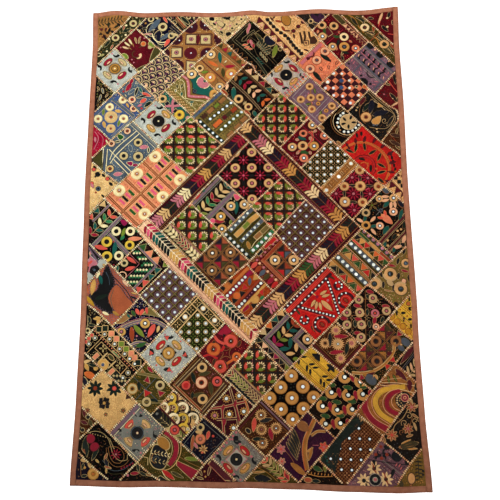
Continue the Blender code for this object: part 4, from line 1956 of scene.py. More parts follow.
@dataclass
class Patch:
    """One patch: its outline, the dye of its ground and the chart of what is sewn on it."""

    name: str
    cell: Cell
    ground: str
    chart: str

    LIGHT_GROUND = 0.1  # a ground's mean light from which it counts as light
    DARK_GROUND = 0.04  # and up to which it counts as dark

    def outline(self) -> str:
        """The dye that larger motifs are outlined in: dark on a light ground, and light on a dark one."""
        light = float(dyes([self.ground]).mean())
        return "soot" if light > self.LIGHT_GROUND else "sand" if light < self.DARK_GROUND else "wine"

    def sewn(self) -> tuple[tuple, tuple]:
        """Draws the chart and cuts it off at the patch's sides.

        Returns:
            The threads and the mirrors, each as points, triangles, colours and lays.
        """
        seed = sum(ord(letter) * (k + 1) for k, letter in enumerate(self.name))
        needle = Needle(self.cell, seed, self.outline())
        needle.work(self.chart)
        return needle.cut(needle.threads), needle.cut(needle.mirrors)


def ring_edges(count: int) -> list[tuple[int, int]]:
    """Each of a ring's places with the next."""
    return [(k, (k + 1) % count) for k in range(count)]


def netted(places: np.ndarray, edges: Sequence[tuple[int, int]], rim: int,
           near: float) -> tuple[np.ndarray, np.ndarray]:
    """Fills an outline with triangles.

    Args:
        places: Places in the cloth frame, of which the first are the outline in order.
        edges: Pairs of places that lie inside the outline and have to be joined.
        rim: How many places the outline has.
        near: Places nearer than this become one, in millimetres.

    Returns:
        The places that were kept or added, and rows of three of them that face the front.
    """
    flat = [Vector(place) for place in places]
    joined = ring_edges(rim) + list(edges)
    found, _, faces, *_ = delaunay_2d_cdt(flat, joined, [list(range(rim))], 1, near)
    found = np.array([tuple(place) for place in found])
    return found, facing_front(found, np.array([tuple(face) for face in faces]))


@dataclass
class PatchworkGround:
    """The patches' grounds, joined on their backing: one closed sheet with a front and a back.

    The sheet ends `inset` inside the cloth's edge, under the border. On the front, points lie `step` apart
    along the seams and between them, and the back is a net of `back_grid` steps across and down. The back
    takes up a share of the front's relief, `back_relief`, and lies `back_drop` deeper than a plain sheet's.
    Points nearer than `front_merge` or `back_merge` become one.
    """

    patches: Sequence[Patch]
    step: float = 7.0
    inset: float = 12.0
    rim_step: float = 8.0
    clear: float = 2.0
    scatter: float = 0.6
    seam_clear: float = 3.0
    back_grid: tuple[int, int] = (62, 92)
    spread_u: tuple[float, float] = (0, 1800)
    spread_v: tuple[float, float] = (-730, 1090)
    backing_dye: float = 0.3
    back_relief: float = 0.5
    back_drop: float = 0.2
    front_merge: float = 0.3
    back_merge: float = 0.01
    wear: float = 0.5

    BESIDE = 1.05  # how far the back lies beside the front on the flat, in widths of the cloth
    APART = 6.0  # how far a wall's corners are drawn apart there, in millimetres

    def front(self) -> tuple[np.ndarray, np.ndarray]:
        """Nets the front, with an edge along every seam.

        Returns:
            Places in the cloth frame, and triangles of them.
        """
        ring = CLOTH.ring(self.inset, self.rim_step)
        places, edges = [ring], []
        count = len(ring)
        for points in SEAMS.values():
            line = to_cloth(resampled(np.array(points), self.step))
            line = line[CLOTH.inside(line).min(axis=1) > self.inset + self.clear]
            places.append(line)
            edges += [(count + k, count + k + 1) for k in range(len(line) - 1)]
            count += len(line)
        random = np.random.default_rng(SEED)
        u, v = np.meshgrid(np.arange(*self.spread_u, self.step), np.arange(*self.spread_v, self.step))
        loose = np.stack([u.ravel(), v.ravel()], axis=-1)
        loose = to_cloth(loose + random.normal(0, self.scatter, loose.shape))
        loose = loose[CLOTH.inside(loose).min(axis=1) > self.inset + 2 * self.clear]
        places.append(loose[RELIEF.read(RELIEF.away, loose) > self.seam_clear])
        return netted(np.concatenate(places), edges, len(ring), self.front_merge)

    def back(self, edge: np.ndarray) -> tuple[np.ndarray, np.ndarray]:
        """The back, a coarser net inside the front's own edge.

        Args:
            edge: The edge's places, in order.

        Returns:
            Places in the cloth frame, and triangles that face away from the front.
        """
        across, downward = np.meshgrid(*(np.linspace(0, 1, count)[1:-1] for count in self.back_grid))
        loose = CLOTH.at_shares(np.stack([across.ravel(), downward.ravel()], axis=-1), self.inset)
        back, faces = netted(np.concatenate([edge, loose]), [], len(edge), self.back_merge)
        return back, faces[:, ::-1]

    @staticmethod
    def rim(faces: np.ndarray) -> np.ndarray:
        """The outer edge's points in order: it has the sides that only one triangle has.

        Args:
            faces: The front's triangles.

        Returns:
            The points' numbers.
        """
        sides = np.concatenate([faces[:, [0, 1]], faces[:, [1, 2]], faces[:, [2, 0]]])
        paired = {(a, b) for a, b in sides.tolist()}
        follow = {a: b for a, b in paired if (b, a) not in paired}
        rim = [min(follow)]
        while follow[rim[-1]] != rim[0]:
            rim.append(follow[rim[-1]])
        return np.array(rim)

    def owners(self, middles: np.ndarray) -> np.ndarray:
        """Which patch each place belongs to: the one whose sides it is deepest inside."""
        depths = np.stack([patch.cell.depths(middles).min(axis=1) for patch in self.patches])
        return depths.argmax(axis=0)

    def dyed(self, front: np.ndarray, faces: np.ndarray, plain: int) -> np.ndarray:
        """Each corner's dye: that of its patch on the front, and a plain one on the other triangles.

        Args:
            front: The front's places in the cloth frame.
            faces: The front's triangles.
            plain: How many other triangles there are.

        Returns:
            One dye for each corner.
        """
        hues = dyes([patch.ground for patch in self.patches])
        owner = self.owners(to_bias(front[faces].mean(axis=1)))
        return np.repeat(np.concatenate([hues[owner], np.full((plain, 3), self.backing_dye)]), 3, axis=0)

    def make(self, finish: bpy.types.Material, backing: bpy.types.Material) -> bpy.types.Object:
        """Builds the sheet.

        Args:
            finish: The grounds' material.
            backing: The back's material.

        Returns:
            The piece, which stands for the panel's solid.
        """
        front, faces = self.front()
        rim = self.rim(faces)
        back, back_faces = self.back(front[rim])
        nearest = np.array([np.hypot(*(back - front[k]).T).argmin() for k in rim]) + len(front)
        after, nearest_after = np.roll(rim, -1), np.roll(nearest, -1)
        wall = np.concatenate(
            [np.stack([after, rim, nearest], axis=-1), np.stack([after, nearest, nearest_after], axis=-1)]
        )
        rise = RELIEF.height(front)
        fall = -CLOTH.thick / 2 + self.back_relief * RELIEF.read(RELIEF.grid, back) - self.back_drop
        points = np.concatenate(
            [CLOTH.world(front[:, 0], front[:, 1], rise), CLOTH.world(back[:, 0], back[:, 1], fall)]
        )
        all_faces = np.concatenate([faces, back_faces + len(front), wall])
        slots = np.repeat([0, 1, 1], [len(faces), len(back_faces), len(wall)])
        dye = self.dyed(front, faces, len(all_faces) - len(faces))
        places = np.concatenate([front, back])
        bias = to_bias(places)
        piece = new_piece(
            "patchwork_ground",
            points,
            all_faces,
            self.laid_out(places, all_faces, slots, len(wall)),
            {"dye": dye, "lay": bias[:, 0], "cross": bias[:, 1], "worn": np.full(len(bias), self.wear)},
            [finish, backing],
            slots,
        )
        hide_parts("patchwork_panel")
        return piece

    def laid_out(self, places: np.ndarray, faces: np.ndarray, slots: np.ndarray, wall: int) -> np.ndarray:
        """Each corner's place on the flat, with the back beside the front.

        Args:
            places: Each point's place in the cloth frame.
            faces: Rows of three points, the wall's last.
            slots: Each face's finish: 0 on the front.
            wall: How many faces the wall has.

        Returns:
            One row a corner. The wall's corners are drawn apart, or its faces would have no area there.
        """
        shift = np.where(slots == 1, CLOTH.width * self.BESIDE, 0.0)[:, None, None]
        flat = places[faces] + np.concatenate([shift, 0 * shift], axis=2)
        flat[len(faces) - wall :, :, 0] += np.arange(3) * self.APART
        return flat.reshape(-1, 2)


@dataclass
class Embroidery:
    """The threads and mirrors of the patches, gathered by field."""

    patches: Sequence[Patch]
    fields: Sequence[tuple[str, str]]

    def make(self, silk: bpy.types.Material, glass: bpy.types.Material) -> list[bpy.types.Object]:
        """Sews every patch.

        Args:
            silk: The threads' material.
            glass: The mirrors' material.

        Returns:
            One piece of threads for each field, and one of mirrors.
        """
        threads = {name: Stuff() for name, _ in self.fields}
        mirrors = Stuff()
        for patch in self.patches:
            name = next(name for name, letters in self.fields if patch.name[0] in letters)
            sewn, glasses = patch.sewn()
            threads[name].add(*sewn)
            mirrors.add(*glasses)
        pieces = [self.piece(name, stuff, silk) for name, stuff in threads.items()]
        return [*pieces, self.piece("mirrors", mirrors, glass)]

    @staticmethod
    def piece(name: str, stuff: Stuff, finish: bpy.types.Material) -> bpy.types.Object:
        """Lays one gathering on the cloth and makes its object.

        Args:
            name: The piece's name.
            stuff: The gathering.
            finish: Its material.

        Returns:
            The piece.
        """
        points, faces, colours, lays = stuff.joined()
        faces = facing_front(points, faces)
        world, flat = settle(points)
        piece = new_piece(name, world, faces, flat, {"dye": colours, "lay": lays}, [finish])
        log.info("%s: %d triangles", name, len(faces))
        return piece


@dataclass
class Braid:
    """Cream and peach beads of thread on a narrow tape, along every seam.

    Beads lie `pitch` apart. They wander by `wander`, and their sizes and light differ a little. A bead's
    shoulder is its rim drawn in to a share, `shoulder`, and `levels` are the heights of its rim, shoulder
    and top, in shares of `high`. A bead looks the way that the seam runs from `sight` before it to `sight`
    beyond it. Sizes are in millimetres.
    """

    pitch: float = 5.7
    half_long: float = 2.7
    half_wide: float = 3.3
    high: float = 2.0
    lift: float = 0.35
    tape: float = 3.5
    wander: float = 0.25
    uneven: float = 0.07
    sides: int = 6
    shoulder: float = 0.72
    levels: tuple[float, float, float] = (-0.25, 0.7, 1.0)
    shades: tuple[float, float] = (0.85, 1.15)
    hues: tuple[str, ...] = ("peach", "ivory", "cream", "peach", "ivory", "honey")
    sight: float = 2.0
    edge_clear: float = 1.5
    thread_run: float = 2.2
    tape_step: float = 6.0
    tape_rise: float = 0.9

    def bead(self) -> tuple[np.ndarray, np.ndarray, np.ndarray]:
        """Makes one bead: a dome with a rim, a shoulder and a top.

        Returns:
            Its places, their heights and its triangles.
        """
        turn = (np.arange(self.sides) + 0.5) * 2 * np.pi / self.sides
        rim = np.stack([np.cos(turn), np.sin(turn)], axis=-1)
        shape = np.concatenate([rim, self.shoulder * rim, [[0.0, 0.0]]])
        height = np.repeat(self.levels, [self.sides, self.sides, 1])
        ring = np.arange(self.sides)
        after = (ring + 1) % self.sides
        faces = np.concatenate(
            [
                np.stack([ring, after, after + self.sides], axis=-1),
                np.stack([ring, after + self.sides, ring + self.sides], axis=-1),
                np.stack([ring + self.sides, after + self.sides, 0 * ring + 2 * self.sides], axis=-1),
            ]
        )
        return shape, height, faces

    @staticmethod
    def places_at(line: np.ndarray, travel: np.ndarray, at: np.ndarray) -> np.ndarray:
        """Places on a line at distances from its start, where its own points lie at `travel`."""
        return np.stack([np.interp(at, travel, line[:, k]) for k in (0, 1)], axis=-1)

    def beads(self, line: np.ndarray, random: np.random.Generator, stuff: Stuff) -> None:
        """Lays beads along a seam.

        Args:
            line: The seam's places in the bias frame, at short steps.
            random: Where the beads' differences come from.
            stuff: What the beads are added to.
        """
        shape, height, bead = self.bead()
        travel = np.concatenate([[0.0], np.cumsum(np.hypot(*np.diff(line, axis=0).T))])
        count = int(travel[-1] / self.pitch)
        at = (np.arange(count) + 0.5) * travel[-1] / count + random.normal(0, self.wander, count)
        offsets = (0.0, -self.sight, self.sight)
        middle, before, beyond = (self.places_at(line, travel, at + offset) for offset in offsets)
        ahead = beyond - before
        ahead /= np.hypot(*ahead.T)[:, None]
        aside = np.stack([-ahead[:, 1], ahead[:, 0]], axis=-1)
        middle += aside * random.normal(0, self.wander, count)[:, None]
        keep = CLOTH.inside(to_cloth(middle)).min(axis=1) > CLOTH.border + self.edge_clear
        middle, ahead, aside = middle[keep], ahead[keep], aside[keep]
        count = len(middle)
        if not count:
            return
        size = random.normal(1.0, self.uneven, (count, 1, 1))
        along = shape[None, :, :1] * self.half_long * ahead[:, None, :]
        across = shape[None, :, 1:] * self.half_wide * aside[:, None, :]
        flat = middle[:, None, :] + (along + across) * size
        rise = self.lift + self.high * height[None, :, None] * size
        points = np.concatenate([flat, rise], axis=2).reshape(-1, 3)
        faces = (bead[None] + np.arange(count)[:, None, None] * len(shape)).reshape(-1, 3)
        hue = dyes(random.choice(self.hues, count)) * random.uniform(*self.shades, (count, 1))
        lays = np.tile(shape[:, 0] * self.thread_run, count)
        stuff.add(points, faces, np.repeat(hue, len(shape), axis=0), lays)

    def make(self, finish: bpy.types.Material) -> bpy.types.Object:
        """Lays the tape and the beads.

        Args:
            finish: The threads' material.

        Returns:
            The piece.
        """
        random = np.random.default_rng(SEED + 1)
        stuff = Stuff()
        needle = Needle(Cell(-FAR, FAR, -FAR, FAR), 3)
        for points in SEAMS.values():
            line = resampled(np.array(points), self.tape_step)
            needle.stroke(line, self.tape, "brown", rise=self.tape_rise)
            self.beads(line, random, stuff)
        places, faces, colours, lays = needle.threads.joined()
        middle = to_cloth(places[faces].mean(axis=1)[:, :2])
        faces = faces[CLOTH.inside(middle).min(axis=1) > CLOTH.border]
        held = to_bias(CLOTH.held_in(to_cloth(places[:, :2]), CLOTH.border - Needle.BORDER_LAP))
        stuff.add(np.column_stack([held, places[:, 2]]), faces, colours, lays)
        return Embroidery.piece("seam_braid", stuff, finish)


class Side(Enum):
    """The cloth's four sides, as one looks at its front."""

    LEFT = "left"
    RIGHT = "right"
    TOP = "top"
    BOTTOM = "bottom"


@dataclass
class BorderStrip:
    """One strip of the border: cloth folded over the cloth's edge, front and back.

    The section runs from the strip's inner edge over the front, round the fold and over the back. It is
    two rows: distances inwards from the edge, and heights before the cloth's middle layer. The strip is
    rubbed pale, by `least_wear` and most at `rubbed_at`, and `cloth` is its own thickness, in metres.
    """

    side: Side
    step: float = 5.0
    between: float = 0.3
    ripple: float = 0.16
    waves: int = 4
    wave: float = 9.0
    shifts: tuple[float, float] = (0.0, 6.28)
    reaches: tuple[float, float] = (0.7, 1.4)
    slant: float = 0.25
    outer_fade: float = 6.0
    inner_fade: float = 4.0
    least_ripple: float = 0.25
    least_wear: float = 0.35
    more_wear: float = 0.5
    rubbed_at: float = 10.0
    rubbed_wide: float = 5.0
    cloth: float = 0.0004

    INSETS = (18, 17.5, 15.8, 14, 11, 8, 5, 2.6, 1.0, 0.25, 0.0, 0.25, 1.0, 4, 9, 14, 17.6, 18)
    RISES = (0.9, 1.9, 2.5, 2.55, 2.6, 2.6, 2.55, 2.35, 1.9, 1.1, 0.0, -1.1, -1.7, -1.9, -2.0, -2.0, -1.8,
             -1.2)
    INWARD = {Side.LEFT: (1, 0), Side.RIGHT: (-1, 0), Side.TOP: (0, 1), Side.BOTTOM: (0, -1)}

    @property
    def upright(self) -> bool:
        """Whether the strip runs down one of the cloth's sides."""
        return self.side in (Side.LEFT, Side.RIGHT)

    def outer(self) -> np.ndarray:
        """Follows the strip's outer edge at even steps.

        Returns:
            Places in the cloth frame.
        """
        length = CLOTH.height if self.upright else CLOTH.width
        share = np.linspace(0.0, 1.0, int(length / self.step) + 1)
        near = np.zeros_like(share) if self.side in (Side.LEFT, Side.TOP) else np.ones_like(share)
        shares = np.stack((near, share) if self.upright else (share, near), axis=-1)
        outer = CLOTH.at_shares(shares, 0.0)
        if self.upright:
            return outer
        outer = CLOTH.held_in(outer, 0.0)
        ends = CLOTH.border + self.between
        left = curve_at(CLOTH.left, outer[:, 1]) + ends
        right = CLOTH.width + curve_at(CLOTH.right, outer[:, 1]) - ends
        outer[:, 0] = left + (right - left) * share
        if self.side is Side.TOP:
            outer[:, 1] = curve_at(CLOTH.top, outer[:, 0])
        else:
            outer[:, 1] = CLOTH.height + curve_at(CLOTH.bottom, outer[:, 0])
        return outer

    def wrinkles(self, inset: np.ndarray, along: np.ndarray) -> np.ndarray:
        """Sines with random shifts and lengths that run aslant, and fade towards both edges.

        Args:
            inset: Distances inwards from the cloth's edge.
            along: Distances along the strip, as a column.

        Returns:
            Heights, a row for each place along the strip.
        """
        random = np.random.default_rng(SEED + ord(self.side.value[0]))
        shift, reach = (random.uniform(*ends, self.waves) for ends in (self.shifts, self.reaches))
        wrinkle = sum(
            np.sin(along / (self.wave * k * r) + s + inset[None, :] * self.slant * (1 if k % 2 else -1))
            for k, (s, r) in enumerate(zip(shift, reach), start=1)
        )
        inner = np.clip((CLOTH.border - inset) / self.inner_fade, self.least_ripple, 1)
        waist = np.clip(inset / self.outer_fade, 0, 1) * inner
        return self.ripple * wrinkle * waist[None, :]

    def make(self, finish: bpy.types.Material) -> bpy.types.Object:
        """Args:
            finish: The cloth's material.

        Returns:
            The piece, which stands for the strip's solid.
        """
        inset, rise = np.array(self.INSETS), np.array(self.RISES)
        outer = self.outer()
        at = outer[:, None, :] + inset[None, :, None] * np.array(self.INWARD[self.side])
        along = np.arange(len(at))[:, None] * self.step
        depth = rise[None, :] + self.wrinkles(inset, along) * np.sign(rise)[None, :]
        points = CLOTH.world(at[..., 0], at[..., 1], depth)
        rows, columns = points.shape[:2]
        faces = grid_faces(rows, columns)
        if self.side in (Side.LEFT, Side.BOTTOM):
            faces = faces[:, ::-1]
        section = np.concatenate([[0.0], np.cumsum(np.hypot(np.diff(inset), np.diff(rise)))])
        course = np.broadcast_to(along, (rows, columns))
        flat = np.stack([np.broadcast_to(section, (rows, columns)), course], axis=-1).reshape(-1, 2)
        near = np.exp(-(((inset - self.rubbed_at) / self.rubbed_wide) ** 2))
        rubbed = (self.least_wear + self.more_wear * near) * (rise > 0)
        worn = np.broadcast_to(rubbed, (rows, columns))
        piece = new_piece("border_cloth_" + self.side.value, points.reshape(-1, 3), faces, flat,
                          {"worn": worn.ravel()}, [finish])
        thick = piece.modifiers.new("thickness", "SOLIDIFY")
        thick.thickness = self.cloth
        thick.offset = -1.0
        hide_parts("border_" + self.side.value)
        length = CLOTH.height if self.upright else CLOTH.width - 2 * CLOTH.border
        length / 1000
        return piece


@dataclass
class Studio:
    """A round pale floor that curves up far behind, soft lamps and the camera.

    Lamps are (name, place, power, size). The lens and its shift are in pixels of a picture 500 wide.
    """

    floor: float = -2.3
    spokes: int = 96
    rings: int = 30
    level_reach: float = 5.0
    level_share: float = 0.35
    reach: float = 14.0
    rise: float = 13.0
    lamps: tuple = (
        ("key", (-0.5, -2.7, 1.5), 165.0, 1.5),
        ("fill", (2.6, -3.4, -0.2), 25.0, 2.4),
        ("back", (0.5, 3.6, 0.8), 60.0, 2.4),
    )
    lit: tuple[float, float, float] = (0.0, 0.0, -0.76)
    sky: float = 0.3
    picture: float = 500.0
    sensor: float = 36.0
    focal: float = 700.0
    place: tuple[float, float, float] = (-0.052, -2.07, -1.385)
    turn: tuple[float, float, float] = (104.14, -0.47, 2.62)
    shift: tuple[float, float] = (-52.9, 11.2)

    def make_floor(self) -> bpy.types.Object:
        """A surface of revolution: level in the middle, then a quarter of a circle up to its rim.

        Returns:
            The floor.
        """
        turn = np.linspace(0, 2 * np.pi, self.spokes + 1)[:-1][:, None]
        share = np.linspace(0.0, 1.0, self.rings)[None, :]
        bend = np.clip((share - self.level_share) / (1 - self.level_share), 0, 1) * np.pi / 2
        away = np.where(share < self.level_share, share / self.level_share * self.level_reach,
                        self.level_reach + (self.reach - self.level_reach) * np.sin(bend))
        high = self.floor + self.rise * (1 - np.cos(bend))
        points = np.stack([away * np.cos(turn), away * np.sin(turn), high + 0 * turn], axis=-1)
        rows, columns = points.shape[:2]
        mesh = bpy.data.meshes.new("studio_floor")
        faces = grid_faces(rows, columns, closed=True)
        mesh.from_pydata(points.reshape(-1, 3).tolist(), [], faces[:, ::-1].tolist())
        mesh.shade_smooth()
        mesh.materials.append(FloorFinish().make())
        floor = bpy.data.objects.new("studio_floor", mesh)
        bpy.context.scene.collection.objects.link(floor)
        return floor

    def lamp(self, name: str, place: tuple, power: float, size: float) -> None:
        """A soft square lamp that looks at the middle of the cloth.

        Args:
            name: The lamp's name.
            place: Where it is, in metres.
            power: Its power, in watts.
            size: Its side, in metres.
        """
        data = bpy.data.lights.new(name, "AREA")
        data.energy, data.size = power, size
        lamp = bpy.data.objects.new(name, data)
        lamp.location = place
        lamp.visible_glossy = name != "key"
        look = Vector(self.lit) - Vector(place)
        lamp.rotation_euler = look.to_track_quat("-Z", "Y").to_euler()
        bpy.context.scene.collection.objects.link(lamp)

    def light(self) -> None:
        """Sets soft lamps and a pale sky."""
        for name, place, power, size in self.lamps:
            self.lamp(name, place, power, size)
        world = bpy.data.worlds.new("studio")
        world.use_nodes = True
        sky = world.node_tree.nodes["Background"]
        sky.inputs["Color"].default_value = (1.0, 1.0, 1.0, 1.0)
        sky.inputs["Strength"].default_value = self.sky
        bpy.context.scene.world = world
        bpy.context.scene.view_settings.view_transform = "Standard"

    def camera(self) -> None:
        """Sets the camera where the photograph was taken from."""
        data = bpy.data.cameras.new("camera")
        data.sensor_width = self.sensor
        data.lens = self.focal / self.picture * self.sensor
        data.shift_x, data.shift_y = -self.shift[0] / self.picture, self.shift[1] / self.picture
        camera = bpy.data.objects.new("camera", data)
        camera.location = self.place
        camera.rotation_euler = Euler(np.radians(self.turn), "XYZ")
        bpy.context.scene.collection.objects.link(camera)
        bpy.context.scene.camera = camera


